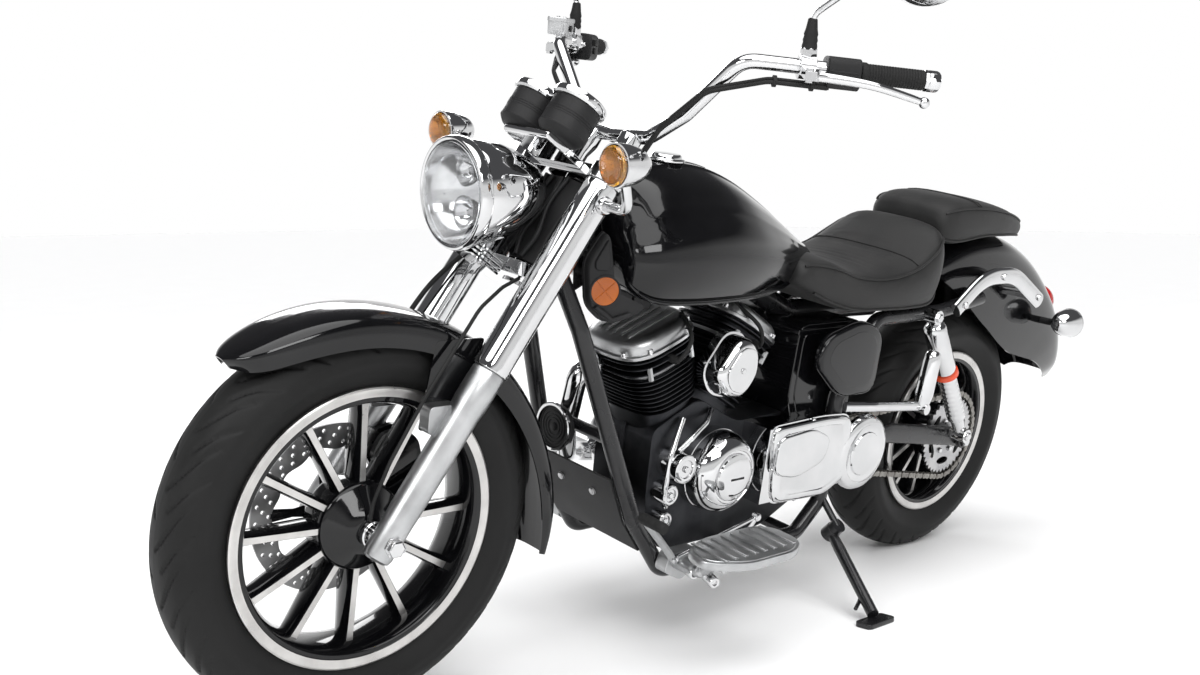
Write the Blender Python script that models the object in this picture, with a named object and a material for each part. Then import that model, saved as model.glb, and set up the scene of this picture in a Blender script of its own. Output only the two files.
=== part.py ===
"""Cruiser motorcycle parked on its side stand, built from named solids in metres.

The motorcycle's own axes: +X forward, +Y to the rider's left, +Z up, the rear axle
at x = 0 and the ground under the upright wheels at z = 0. The root empty then leans
the whole motorcycle to the left onto its stand, with the world's ground at z = 0.
Tables whose names end in SHARES hold shares of the named sizes beside them.
"""

import math
from collections import namedtuple

import bmesh
import bpy
from mathutils import Matrix, Vector

# How the motorcycle stands
LEAN = math.radians(10.7)
PITCH = math.radians(-0.056035)
ROOT_PLACE = Vector((-0.72775, -0.243, 0.0))
STEER_AT_REST = math.radians(-4.0)

# Driving dimensions
WHEELBASE = 1.650
RAKE = math.radians(33.0)
STEM_OFFSET = 0.045
FRONT_TYRE_RADIUS = 0.337
REAR_TYRE_RADIUS = 0.310
FORK_HALF_TRACK = 0.110
LOWER_YOKE_HEIGHT = 0.500
UPPER_YOKE_HEIGHT = 0.705
RAIL_TOP = 0.642
RAIL_Y = 0.125
PIVOT_X = 0.450
PIVOT_Z = 0.345
CRANK_HEIGHT = 0.340
CRANK_AHEAD = 0.475

# Clearances, roundness and the sizes that pieces share
GAP = 0.0003
OVERRUN = 0.2
MERGE_DISTANCE = 0.00002
SHARP_ANGLE = math.radians(38)
WHEEL_SEGMENTS = 32
FINE = 16
ROUND = 12
SLIM = 8
SMALL = 6
TUBE_RADIUS = 0.0165
BACKBONE_RADIUS = 0.024
STEM_RADIUS = 0.0125
AXLE_RADIUS = 0.010
PIVOT_RADIUS = 0.011

# Places worked out from the driving dimensions
ORIGIN = Vector((0, 0, 0))
AXLE_LINE = Vector((0, 1, 0))
UPWARDS = Vector((0, 0, 1))
FORWARDS = Vector((1, 0, 0))
FRONT_AXLE = Vector((WHEELBASE, 0, FRONT_TYRE_RADIUS))
REAR_AXLE = Vector((0, 0, REAR_TYRE_RADIUS))
UP_FORK = Vector((-math.sin(RAKE), 0, math.cos(RAKE)))
AHEAD_OF_FORK = Vector((math.cos(RAKE), 0, math.sin(RAKE)))
STEM_FOOT = FRONT_AXLE - AHEAD_OF_FORK * STEM_OFFSET
HEAD_MIDDLE = (LOWER_YOKE_HEIGHT + UPPER_YOKE_HEIGHT) / 2
HEAD_PIVOT = STEM_FOOT + UP_FORK * HEAD_MIDDLE
CRANK = Vector((PIVOT_X + CRANK_AHEAD, 0, CRANK_HEIGHT))
SIDES = ((1, "left"), (-1, "right"))

# Looks of the materials
Look = namedtuple("Look", "colour metallic roughness")
LOOKS = {
    "chrome": Look((0.83, 0.83, 0.84, 1), 1.0, 0.08),
    "satin_metal": Look((0.52, 0.53, 0.54, 1), 1.0, 0.35),
    "gloss_black": Look((0.006, 0.006, 0.008, 1), 0.0, 0.12),
    "matte_black": Look((0.018, 0.018, 0.019, 1), 0.0, 0.55),
    "frame_black": Look((0.010, 0.010, 0.011, 1), 0.0, 0.30),
    "dark_cast": Look((0.055, 0.057, 0.060, 1), 0.7, 0.50),
    "rubber": Look((0.015, 0.015, 0.015, 1), 0.0, 0.80),
    "leather": Look((0.013, 0.012, 0.012, 1), 0.0, 0.55),
    "clear_glass": Look((0.75, 0.77, 0.78, 1), 0.0, 0.05),
    "red_glass": Look((0.45, 0.01, 0.01, 1), 0.0, 0.15),
    "chain_steel": Look((0.30, 0.29, 0.27, 1), 1.0, 0.40),
}


def material_for(piece_name, look_name):
    """A Principled material of the piece's own, with the named look."""
    look = LOOKS[look_name]
    material = bpy.data.materials.new(piece_name)
    material.use_nodes = True
    shader = material.node_tree.nodes["Principled BSDF"]
    shader.inputs["Base Color"].default_value = look.colour
    shader.inputs["Metallic"].default_value = look.metallic
    shader.inputs["Roughness"].default_value = look.roughness
    return material


# Carriers of the pieces
class Carrier:
    """An empty that carries pieces, with its place in the motorcycle's own axes."""

    def __init__(self, name, place, parent=None):
        self.place = place
        self.empty = bpy.data.objects.new(name, None)
        bpy.context.scene.collection.objects.link(self.empty)
        if parent is None:
            self.empty.location = place
            self.place = ORIGIN
        else:
            self.empty.parent = parent.empty
            self.empty.location = place - parent.place

    def turn(self, axis, angle):
        """Turn everything that the carrier holds about an axis through its place."""
        self.empty.rotation_mode = "QUATERNION"
        self.empty.rotation_quaternion = Matrix.Rotation(angle, 3, axis).to_quaternion()


def finish(name, look_name, solid, carrier, place=None):
    """Make the solid into a named object whose origin is at the place, on its carrier."""
    origin = carrier.place if place is None else place
    bmesh.ops.translate(solid, verts=solid.verts, vec=-origin)
    bmesh.ops.recalc_face_normals(solid, faces=solid.faces)
    mesh = bpy.data.meshes.new(name)
    solid.to_mesh(mesh)
    solid.free()
    mesh.shade_smooth()
    mesh.set_sharp_from_angle(angle=SHARP_ANGLE)
    mesh.materials.append(material_for(name, look_name))
    piece = bpy.data.objects.new(name, mesh)
    bpy.context.scene.collection.objects.link(piece)
    piece.parent = carrier.empty
    piece.location = origin - carrier.place
    return piece


# Ways of making a solid
AXIS_SWITCH_SHARE = 0.8
CORNER_REACH_SHARE = 0.45
LEAST_TURN_SHARE = 0.5


def across(axis):
    """Two unit vectors at right angles to an axis and to each other."""
    axis = axis.normalized()
    start = FORWARDS if abs(axis.x) < AXIS_SWITCH_SHARE else UPWARDS
    first = (start - axis * start.dot(axis)).normalized()
    return first, axis.cross(first)


def loft(rings, closed=False):
    """A skin through rings of equal length, capped unless it closes on itself."""
    solid = bmesh.new()
    loops = [[solid.verts.new(point) for point in ring] for ring in rings]
    pairs = list(zip(loops, loops[1:]))
    if closed:
        pairs.append((loops[-1], loops[0]))
    for near, far in pairs:
        for index, vertex in enumerate(near):
            following = (index + 1) % len(near)
            solid.faces.new((vertex, near[following], far[following], far[index]))
    if not closed:
        solid.faces.new(loops[0][::-1])
        solid.faces.new(loops[-1])
    bmesh.ops.recalc_face_normals(solid, faces=solid.faces)
    return solid


def circle(centre, axis, radius, segments, flatten=1.0):
    """Points of a circle, or of an ellipse narrowed across the second direction."""
    first, second = across(axis)
    ring = []
    for step in range(segments):
        angle = math.tau * step / segments
        ring.append(centre + first * math.cos(angle) * radius
                    + second * math.sin(angle) * radius * flatten)
    return ring


def turned(profile, centre, axis, segments):
    """A solid of revolution from (distance along the axis, radius) pairs, capped flat."""
    axis = axis.normalized()
    return loft([circle(centre + axis * along, axis, radius, segments)
                 for along, radius in profile])


def ring_body(profile, centre, axis, segments):
    """A ring of revolution from a closed profile of (distance along the axis, radius)."""
    axis = axis.normalized()
    first, second = across(axis)
    rings = []
    for step in range(segments):
        angle = math.tau * step / segments
        outward = first * math.cos(angle) + second * math.sin(angle)
        rings.append([centre + axis * along + outward * radius for along, radius in profile])
    return loft(rings, closed=True)


def rod(start, end, radius, segments, end_radius=None):
    """A straight round bar, tapered if an end radius is given."""
    far_radius = radius if end_radius is None else end_radius
    return turned([(0, radius), ((end - start).length, far_radius)],
                  start, end - start, segments)


def bent_line(corners, bend_radius, steps):
    """The corners of a line with each inner corner rounded to the bend radius."""
    line = [corners[0]]
    for before, corner, after in zip(corners, corners[1:], corners[2:]):
        back = (before - corner)
        ahead = (after - corner)
        turn = math.pi - back.angle(ahead)
        reach = bend_radius * math.tan(turn / 2)
        reach = min(reach, back.length * CORNER_REACH_SHARE, ahead.length * CORNER_REACH_SHARE)
        start = corner + back.normalized() * reach
        end = corner + ahead.normalized() * reach
        for step in range(steps + 1):
            share = step / steps
            line.append(start.lerp(corner, share).lerp(corner.lerp(end, share), share))
    line.append(corners[-1])
    return line


def swept(line, radii, segments, flatten=1.0, side=None):
    """A round bar along a line; one radius for each point, or one for all of them."""
    if not isinstance(radii, (list, tuple)):
        radii = [radii] * len(line)
    tangents = []
    for index, point in enumerate(line):
        ahead = (line[index + 1] - point).normalized() if index + 1 < len(line) else Vector()
        behind = (point - line[index - 1]).normalized() if index else Vector()
        tangents.append((ahead + behind).normalized())
    first = across(tangents[0])[0] if side is None else side
    rings = []
    for point, tangent, radius in zip(line, tangents, radii):
        first = (first - tangent * first.dot(tangent)).normalized()
        second = tangent.cross(first)
        rings.append([point + first * math.cos(math.tau * step / segments) * radius
                      + second * math.sin(math.tau * step / segments) * radius * flatten
                      for step in range(segments)])
    return loft(rings)


def tube(corners, radius, bend_radius, steps, segments):
    """A round tube through corners that are rounded to the bend radius."""
    points = [Vector(corner) for corner in corners]
    return swept(bent_line(points, bend_radius, steps), radius, segments)


def rounded_outline(outline, radius, steps):
    """A closed flat outline of (x, z) pairs with rounded corners."""
    points = [Vector((x, z)) for x, z in outline]
    result = []
    for index, corner in enumerate(points):
        back = points[index - 1] - corner
        ahead = points[(index + 1) % len(points)] - corner
        reach = min(radius, back.length * CORNER_REACH_SHARE, ahead.length * CORNER_REACH_SHARE)
        start = corner + back.normalized() * reach
        end = corner + ahead.normalized() * reach
        for step in range(steps + 1):
            share = step / steps
            point = start.lerp(corner, share).lerp(corner.lerp(end, share), share)
            result.append((point.x, point.y))
    return result


def inset_outline(outline, distance):
    """The outline moved inwards by the distance, corner by corner."""
    points = [Vector((x, z)) for x, z in outline]
    area = sum(points[i - 1].x * p.y - p.x * points[i - 1].y for i, p in enumerate(points))
    inward = 1 if area > 0 else -1
    result = []
    for index, corner in enumerate(points):
        before = (corner - points[index - 1]).normalized()
        after = (points[(index + 1) % len(points)] - corner).normalized()
        along = (before + after).normalized()
        normal = Vector((-along.y, along.x)) * inward
        turn = abs(Vector((-before.y, before.x)).dot(normal))
        inner = corner + normal * (distance / max(LEAST_TURN_SHARE, turn))
        result.append((inner.x, inner.y))
    return result


def plate(outline, near, far, chamfer=0.0):
    """An (x, z) outline made solid from y = near to y = far, its far edge chamfered."""
    flat = [Vector((x, near, z)) for x, z in outline]
    rings = [flat]
    if chamfer:
        shoulder = far - math.copysign(chamfer, far - near)
        rings.append([Vector((x, shoulder, z)) for x, z in outline])
        rings.append([Vector((x, far, z)) for x, z in inset_outline(outline, chamfer)])
    else:
        rings.append([Vector((x, far, z)) for x, z in outline])
    return loft(rings)


def box(corner, opposite):
    """A block between two opposite corners."""
    low = Vector(corner)
    high = Vector(opposite)
    outline = [(low.x, low.z), (high.x, low.z), (high.x, high.z), (low.x, high.z)]
    return plate(outline, low.y, high.y)


def moved(solid, matrix):
    """The solid after a turn or move."""
    bmesh.ops.transform(solid, matrix=matrix, verts=solid.verts)
    return solid


def together(solids):
    """Separate closed solids held as one operand."""
    whole = bmesh.new()
    for solid in solids:
        mesh = bpy.data.meshes.new("operand")
        solid.to_mesh(mesh)
        solid.free()
        whole.from_mesh(mesh)
        bpy.data.meshes.remove(mesh)
    return whole


def operand(solid):
    """A hidden object that holds a solid for a Boolean."""
    mesh = bpy.data.meshes.new("operand")
    solid.to_mesh(mesh)
    solid.free()
    helper = bpy.data.objects.new("operand", mesh)
    helper.hide_render = True
    helper.display_type = "WIRE"
    bpy.context.scene.collection.objects.link(helper)
    return helper


def combine(body, tools, operation="UNION"):
    """The exact Boolean of a solid with each of the tools in turn."""
    target = operand(body)
    helpers = [operand(tool) for tool in tools]
    for helper in helpers:
        modifier = target.modifiers.new(operation, "BOOLEAN")
        modifier.operation = operation
        modifier.solver = "EXACT"
        modifier.object = helper
    graph = bpy.context.evaluated_depsgraph_get()
    evaluated = target.evaluated_get(graph)
    result = bmesh.new()
    result.from_mesh(evaluated.to_mesh())
    evaluated.to_mesh_clear()
    for helper in helpers + [target]:
        mesh = helper.data
        bpy.data.objects.remove(helper)
        bpy.data.meshes.remove(mesh)
    bmesh.ops.remove_doubles(result, verts=result.verts, dist=MERGE_DISTANCE)
    return result


def on_side(side, x, y, z):
    """A point on the left for side = 1, or its mirror image on the right for -1."""
    return Vector((x, y * side, z))


def mirrored(solid, side):
    """The solid as made for the left, or its mirror image on the right."""
    if side < 0:
        bmesh.ops.scale(solid, vec=(1, -1, 1), verts=solid.verts)
        bmesh.ops.recalc_face_normals(solid, faces=solid.faces)
    return solid


def profile_of(shares, length, radius):
    """A turned profile whose shares are of a length and of a radius."""
    return [(length * along, radius * out) for along, out in shares]


def outline_of(shares, corner, size):
    """A flat outline whose shares are of a (length, height), from its lower rear corner."""
    return [(corner[0] + size[0] * along, corner[1] + size[1] * up) for along, up in shares]


def line_of(shares, size, side=1):
    """Places whose shares are of a size along each axis, on one side of the middle."""
    return [Vector((size.x * x, size.y * y * side, size.z * z)) for x, y, z in shares]


def across_rod(centre, near, far, radius, segments):
    """A round bar along Y, at a place's x and z, from y = near to y = far."""
    return rod(Vector((centre.x, near, centre.z)), Vector((centre.x, far, centre.z)),
               radius, segments)


def centred(solid, place):
    """A solid that was made around the origin, moved to its place."""
    return moved(solid, Matrix.Translation(place))


def round_cutter(radius):
    """The radius of a slim cutter whose flats clear a bar of the radius by a gap."""
    return radius / math.cos(math.pi / SLIM) + GAP


# Wheels, discs and sprocket
Tyre = namedtuple("Tyre", "radius height half_width bead_half_width")
FRONT_TYRE_HEIGHT = 0.1035
FRONT_TYRE_HALF = 0.061
FRONT_BEAD_HALF = 0.044
REAR_TYRE_HEIGHT = 0.1155
REAR_TYRE_HALF = 0.075
REAR_BEAD_HALF = 0.056
FRONT_TYRE = Tyre(FRONT_TYRE_RADIUS, FRONT_TYRE_HEIGHT, FRONT_TYRE_HALF, FRONT_BEAD_HALF)
REAR_TYRE = Tyre(REAR_TYRE_RADIUS, REAR_TYRE_HEIGHT, REAR_TYRE_HALF, REAR_BEAD_HALF)
BEAD_RISE_SHARE = 0.10
TREAD_SHARES = [(1.00, 0.40), (0.93, 0.68), (0.56, 0.93), (0.00, 1.00)]
RIM_GAP = 0.0004
RIM_LIP = 0.010
RIM_LIP_RISE = 0.009
RIM_LIP_ROUND = 0.002
RIM_DEPTH = 0.018
SPOKES = 12
SPOKE_FACE = 0.013
SPOKE_ROOT = 0.024
SPOKE_SINK = 0.012
FRONT_SPOKE_ROOT_HALF = 0.030
FRONT_SPOKE_TIP_HALF = 0.020
REAR_SPOKE_ROOT_HALF = 0.034
REAR_SPOKE_TIP_HALF = 0.026
FRONT_HUB_HALF = 0.068
FRONT_HUB_RADIUS = 0.052
FRONT_HUB_SHARES = [(-0.951, 0.769), (-0.441, 1.0), (0.441, 1.0), (0.809, 0.808), (1.0, 0.577)]
REAR_HUB_HALF = 0.0847
REAR_HUB_RADIUS = 0.062
REAR_HUB_SHARES = [(-0.976, 0.742), (-0.401, 1.0), (0.401, 1.0), (0.708, 0.903), (1.0, 0.806)]
HUB_ROOT_SHARE = 0.52
HUB_BORE = 0.0155

DISC_THICKNESS = 0.005
DISC_ARMS = 6
DISC_ARM_HALF = 0.012
DISC_ARM_FLAT_SHARE = 0.20
DISC_ARM_OVERLAP = 0.004
DISC_ARM_ROOT_SHARE = 0.8
FRONT_DISC_OUTER = 0.149
FRONT_DISC_INNER = 0.104
FRONT_DISC_Y = -0.0650
FRONT_DISC_BOSS = 0.036
REAR_DISC_OUTER = 0.135
REAR_DISC_INNER = 0.095
REAR_DISC_Y = -0.0830
REAR_DISC_BOSS = 0.042

SPROCKET_TEETH = 38
SPROCKET_ROOT = 0.091
SPROCKET_TIP = 0.0975
SPROCKET_NEAR = 0.0850
SPROCKET_THICKNESS = 0.007
TOOTH_SHARES = (0.10, 0.55)
SPROCKET_WINDOWS = 6
WINDOW_RADIUS = 0.0125
WINDOW_PLACE_SHARE = 0.76


def tyre_profile(tyre):
    """Closed cross-section of a tyre, from bead to bead over the crown."""
    bead_radius = tyre.radius - tyre.height
    side = [(tyre.bead_half_width, bead_radius + tyre.height * rise)
            for rise in (0, BEAD_RISE_SHARE)]
    side += [(tyre.half_width * width, bead_radius + tyre.height * rise)
             for width, rise in TREAD_SHARES]
    other = [(-along, radius) for along, radius in side[-2::-1]]
    return side + other


def rim_ring(tyre):
    """The rim's barrel with a raised lip on each side of the tyre."""
    seat = tyre.radius - tyre.height - RIM_GAP
    lip = tyre.bead_half_width + RIM_GAP
    edge = lip + RIM_LIP
    half = [(lip, seat), (lip, seat + RIM_LIP_RISE),
            (edge - RIM_LIP_ROUND, seat + RIM_LIP_RISE), (edge, seat - RIM_DEPTH)]
    other = [(-along, radius) for along, radius in half[::-1]]
    return ring_body(half + other, ORIGIN, AXLE_LINE, WHEEL_SEGMENTS)


def spoke(angle, root_radius, tip_radius, root_half, tip_half):
    """One cast spoke, narrower at the rim, with flat faces on both sides."""
    outward = Vector((math.cos(angle), 0, math.sin(angle)))
    sideways = Vector((-math.sin(angle), 0, math.cos(angle)))
    rings = []
    for radius, half, width in ((root_radius, root_half, SPOKE_ROOT),
                                (tip_radius, tip_half, SPOKE_FACE)):
        middle = outward * radius
        face = width / 2
        rings.append([middle + sideways * offset + AXLE_LINE * along
                      for offset, along in ((face, half), (-face, half),
                                            (-face, -half), (face, -half))])
    return loft(rings)


def cast_wheel(tyre, hub_profile, hub_root, spoke_root_half, spoke_tip_half):
    """Rim, hub and spokes as one casting, bored for its axle."""
    tip = tyre.radius - tyre.height - SPOKE_SINK
    spokes = [spoke(math.tau * index / SPOKES, hub_root, tip,
                    spoke_root_half, spoke_tip_half) for index in range(SPOKES)]
    hub = turned(hub_profile, ORIGIN, AXLE_LINE, ROUND)
    body = combine(rim_ring(tyre), [together(spokes), hub])
    return combine(body, [axle_bore(HUB_BORE)], "DIFFERENCE")


def axle_bore(radius):
    """A cutter along the axle of a wheel that is made around the origin."""
    return rod(AXLE_LINE * -OVERRUN, AXLE_LINE * OVERRUN, radius, ROUND)


def brake_disc(outer, inner, boss_radius, inner_y):
    """A brake ring on arms round a bored boss, with windows between the arms."""
    outer_y = inner_y - DISC_THICKNESS
    middle = AXLE_LINE * ((inner_y + outer_y) / 2)
    ring = ring_body([(outer_y, outer), (inner_y, outer), (inner_y, inner), (outer_y, inner)],
                     ORIGIN, AXLE_LINE, FINE)
    arms = []
    for index in range(DISC_ARMS):
        angle = math.tau * index / DISC_ARMS
        outward = Vector((math.cos(angle), 0, math.sin(angle)))
        arms.append(swept([middle + outward * boss_radius * DISC_ARM_ROOT_SHARE,
                           middle + outward * (inner + DISC_ARM_OVERLAP)],
                          DISC_ARM_HALF, 4, DISC_ARM_FLAT_SHARE, AXLE_LINE.cross(outward)))
    boss = turned([(outer_y, boss_radius), (inner_y, boss_radius)], ORIGIN, AXLE_LINE, ROUND)
    disc = combine(ring, [together(arms), boss])
    return combine(disc, [axle_bore(HUB_BORE)], "DIFFERENCE")


def sprocket():
    """The driven sprocket, toothed and with a ring of round windows."""
    outline = []
    for index in range(SPROCKET_TEETH):
        for share, radius in zip(TOOTH_SHARES, (SPROCKET_ROOT, SPROCKET_TIP)):
            angle = math.tau * (index + share) / SPROCKET_TEETH
            outline.append((math.cos(angle) * radius, math.sin(angle) * radius))
    drills = [axle_bore(HUB_BORE)]
    for index in range(SPROCKET_WINDOWS):
        angle = math.tau * index / SPROCKET_WINDOWS
        place = Vector((math.cos(angle), 0, math.sin(angle))) * SPROCKET_ROOT
        drills.append(across_rod(place * WINDOW_PLACE_SHARE, 0, OVERRUN, WINDOW_RADIUS, SLIM))
    body = plate(outline, SPROCKET_NEAR, SPROCKET_NEAR + SPROCKET_THICKNESS)
    return combine(body, [together(drills)], "DIFFERENCE")


def build_front_wheel(carrier):
    hub = profile_of(FRONT_HUB_SHARES, FRONT_HUB_HALF, FRONT_HUB_RADIUS)
    solids = [
        ("front_tyre", "rubber",
         ring_body(tyre_profile(FRONT_TYRE), ORIGIN, AXLE_LINE, WHEEL_SEGMENTS)),
        ("front_rim", "gloss_black",
         cast_wheel(FRONT_TYRE, hub, FRONT_HUB_RADIUS * HUB_ROOT_SHARE,
                    FRONT_SPOKE_ROOT_HALF, FRONT_SPOKE_TIP_HALF)),
        ("front_brake_disc", "satin_metal",
         brake_disc(FRONT_DISC_OUTER, FRONT_DISC_INNER, FRONT_DISC_BOSS, FRONT_DISC_Y))]
    for name, look, solid in solids:
        finish(name, look, centred(solid, FRONT_AXLE), carrier, FRONT_AXLE)


def build_rear_wheel(carrier):
    hub = profile_of(REAR_HUB_SHARES, REAR_HUB_HALF, REAR_HUB_RADIUS)
    solids = [
        ("rear_tyre", "rubber",
         ring_body(tyre_profile(REAR_TYRE), ORIGIN, AXLE_LINE, WHEEL_SEGMENTS)),
        ("rear_rim", "gloss_black",
         cast_wheel(REAR_TYRE, hub, REAR_HUB_RADIUS * HUB_ROOT_SHARE,
                    REAR_SPOKE_ROOT_HALF, REAR_SPOKE_TIP_HALF)),
        ("rear_brake_disc", "satin_metal",
         brake_disc(REAR_DISC_OUTER, REAR_DISC_INNER, REAR_DISC_BOSS, REAR_DISC_Y)),
        ("rear_sprocket", "satin_metal", sprocket())]
    for name, look, solid in solids:
        finish(name, look, centred(solid, REAR_AXLE), carrier, REAR_AXLE)


# Front fork
FORK_COVER_RADIUS = 0.031
FORK_COVER_FLARE = 0.001
FORK_COVER_FOOT = 0.321
FORK_COVER_RING = 0.010
FORK_COVER_TOP = UPPER_YOKE_HEIGHT - 0.015
FORK_TUBE_TOP = UPPER_YOKE_HEIGHT + 0.030
FORK_TUBE_RADIUS = 0.026
FORK_LEG_TOP_RADIUS = 0.0295
FORK_LEG_FOOT = -0.030
FORK_LEG_SHARES = [(0.0, 0.847), (0.228, 0.881), (0.826, 0.932), (0.940, 1.0), (1.0, 1.0)]
AXLE_OVERHANG = 0.036
NUT_OVERHANG = 0.030
NUT_RADIUS = 0.016
HUB_SPACER_RADIUS = 0.024
DISC_SPACER_RADIUS = 0.020
LUG_INNER_Y = 0.0770
LUG_OUTER_Y = 0.1050
LUG_HALF_HEIGHT = 0.024
LUG_HALF_DEPTH = 0.031
LUG_AHEAD = 0.0215
LUG_UP = 0.2149

YOKE_HALF_DEPTH = 0.016
YOKE_PLATE_SHARE = 0.76
YOKE_LEG_BOSS = 0.033
YOKE_STEM_BOSS = 0.034
YOKE_REACH = 0.060
YOKE_SHARES = [(-1.0, 0.333), (-0.709, -1.0), (0.709, -1.0), (1.0, 0.333), (0.5, 0.367),
               (-0.5, 0.367)]
STEM_NUT_RADIUS = 0.018
STEM_NUT_TOP = UPPER_YOKE_HEIGHT + 0.026


def fork_point(side, height):
    """A point of a fork leg's centre line, at a height along the leg above the axle."""
    return FRONT_AXLE + UP_FORK * height + Vector((0, FORK_HALF_TRACK * side, 0))


def stem_point(height):
    """A point of the steering axis, at a height along it above the axle's level."""
    return STEM_FOOT + UP_FORK * height


def fork_plane(ahead, up, sideways=0.0):
    """A point by its distances ahead of and up the fork legs' line from the axle."""
    return FRONT_AXLE + AHEAD_OF_FORK * ahead + UP_FORK * up + Vector((0, sideways, 0))


def fork_block(outline, half_width):
    """A block across the fork with an outline of (ahead, up) pairs."""
    return loft([[fork_plane(ahead, up, sideways) for ahead, up in outline]
                 for sideways in (-half_width, half_width)])


def yoke(height):
    """A fork clamp: a waisted plate across both legs and the stem, with a boss at each."""
    low = UP_FORK * -YOKE_HALF_DEPTH
    high = UP_FORK * YOKE_HALF_DEPTH
    legs = [rod(fork_point(side, height) + low, fork_point(side, height) + high,
                YOKE_LEG_BOSS, ROUND) for side in (1, -1)]
    stem = rod(stem_point(height) + low, stem_point(height) + high, YOKE_STEM_BOSS, ROUND)
    rings = [[fork_plane(YOKE_REACH * ahead, height + lift * YOKE_PLATE_SHARE,
                         FORK_HALF_TRACK * sideways) for sideways, ahead in YOKE_SHARES]
             for lift in (-YOKE_HALF_DEPTH, YOKE_HALF_DEPTH)]
    return combine(loft(rings), legs + [stem])


def fork_leg(side):
    """A cast lower leg, from below the axle up to just under its cover."""
    length = FORK_COVER_FOOT - GAP - FORK_LEG_FOOT
    return turned(profile_of(FORK_LEG_SHARES, length, FORK_LEG_TOP_RADIUS),
                  fork_point(side, FORK_LEG_FOOT), UP_FORK, ROUND)


def build_fork_legs(carrier):
    legs = [fork_leg(side) for side in (1, -1)]
    reach = FORK_HALF_TRACK + AXLE_OVERHANG
    axle = across_rod(FRONT_AXLE, -reach, reach, AXLE_RADIUS, SLIM)
    spacer = across_rod(FRONT_AXLE, FRONT_HUB_HALF + GAP, FORK_HALF_TRACK,
                        HUB_SPACER_RADIUS, ROUND)
    disc_spacer = across_rod(FRONT_AXLE, -FORK_HALF_TRACK,
                             FRONT_DISC_Y - DISC_THICKNESS - GAP, DISC_SPACER_RADIUS, ROUND)
    nut = across_rod(FRONT_AXLE, FORK_HALF_TRACK, FORK_HALF_TRACK + NUT_OVERHANG,
                     NUT_RADIUS, SMALL)
    middle = fork_plane(LUG_AHEAD, LUG_UP)
    lugs = [box((middle.x - LUG_HALF_DEPTH, side * LUG_INNER_Y, middle.z - LUG_HALF_HEIGHT),
                (middle.x + LUG_HALF_DEPTH, side * LUG_OUTER_Y, middle.z + LUG_HALF_HEIGHT))
            for side in (1, -1)]
    whole = combine(legs[0], [legs[1], axle, spacer, disc_spacer, nut] + lugs)
    finish("fork_lower_legs", "satin_metal", whole, carrier)


def fork_cover(side):
    """The bright sleeve over a leg, with a flared ring at its foot."""
    flare = FORK_COVER_RADIUS + FORK_COVER_FLARE
    stations = [(FORK_COVER_FOOT, flare), (FORK_COVER_FOOT + FORK_COVER_RING, flare),
                (FORK_COVER_FOOT + FORK_COVER_RING * 2, FORK_COVER_RADIUS),
                (FORK_COVER_TOP, FORK_COVER_RADIUS)]
    return turned(stations, fork_point(side, 0), UP_FORK, FINE)


def build_yokes(carrier):
    stem = rod(stem_point(LOWER_YOKE_HEIGHT), stem_point(STEM_NUT_TOP), STEM_RADIUS, SLIM)
    tubes = [rod(fork_point(side, UPPER_YOKE_HEIGHT), fork_point(side, FORK_TUBE_TOP),
                 FORK_TUBE_RADIUS, ROUND) for side in (1, -1)]
    nut = rod(stem_point(UPPER_YOKE_HEIGHT), stem_point(STEM_NUT_TOP), STEM_NUT_RADIUS, SMALL)
    covers = [fork_cover(side) for side in (1, -1)]
    whole = combine(yoke(LOWER_YOKE_HEIGHT), covers + [stem, yoke(UPPER_YOKE_HEIGHT), nut]
                    + tubes)
    finish("fork_yokes", "chrome", whole, carrier)


# Fenders
FENDER_SHELL = 0.003
FRONT_FENDER_HALF = 0.0765
FRONT_LUG_INNER = 0.0738
FRONT_FENDER_DEGREES = (50, 53, 60, 74, 92, 110, 128, 146, 164, 182, 196)
FRONT_FENDER_SHARES = [  # crown radius and edge radius by the tyre's, width
    (1.145, 1.086, 0.21), (1.139, 1.039, 0.60), (1.128, 0.997, 0.863),
    (1.110, 0.953, 0.987), (1.089, 0.923, 1.0), (1.080, 0.914, 1.0), (1.080, 0.914, 1.0),
    (1.086, 0.932, 1.0), (1.110, 0.967, 0.993), (1.157, 1.033, 0.915), (1.217, 1.151, 0.575)]
REAR_FENDER_HALF = 0.105
REAR_FENDER_DEGREES = (66, 78, 92, 106, 120, 134, 146, 156, 164, 169)
REAR_FENDER_SHARES = [
    (1.523, 1.419, 0.933), (1.555, 1.161, 0.971), (1.587, 0.968, 0.990), (1.626, 0.877, 1.0),
    (1.665, 0.845, 1.0), (1.710, 0.887, 0.990), (1.761, 1.032, 0.971), (1.781, 1.242, 0.933),
    (1.768, 1.419, 0.819), (1.742, 1.581, 0.571)]
FENDER_SECTION_SHARES = [  # of the half width, and of the way from edge to crown
    (1.0, 0.0), (0.995, 0.40), (0.930, 0.70), (0.760, 0.88), (0.420, 0.975), (0.0, 1.0)]
LUG_PLATE_HEIGHT = 0.150
LUG_PLATE_DEPTH = 0.117
LUG_PLATE_BEHIND = 0.086
LUG_PLATE_SHARES = [(0.402, 0.0), (1.0, 0.0), (0.812, 1.0), (0.0, 1.0)]


def fender_ring(centre, degrees, crown, edge, half_width):
    """One closed cross-section of a fender's shell, outside then inside."""
    direction = math.radians(degrees)
    outward = Vector((math.cos(direction), 0, math.sin(direction)))
    arc = [(half_width * width, edge + (crown - edge) * rise)
           for width, rise in FENDER_SECTION_SHARES]
    arc += [(-sideways, radius) for sideways, radius in arc[-2::-1]]
    shrink = (half_width - FENDER_SHELL) / half_width
    depth = (crown - edge - FENDER_SHELL) / (crown - edge)
    inner = [(sideways * shrink, edge + (radius - edge) * depth)
             for sideways, radius in arc[::-1]]
    return [centre + outward * radius + AXLE_LINE * sideways
            for sideways, radius in arc + inner]


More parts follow.
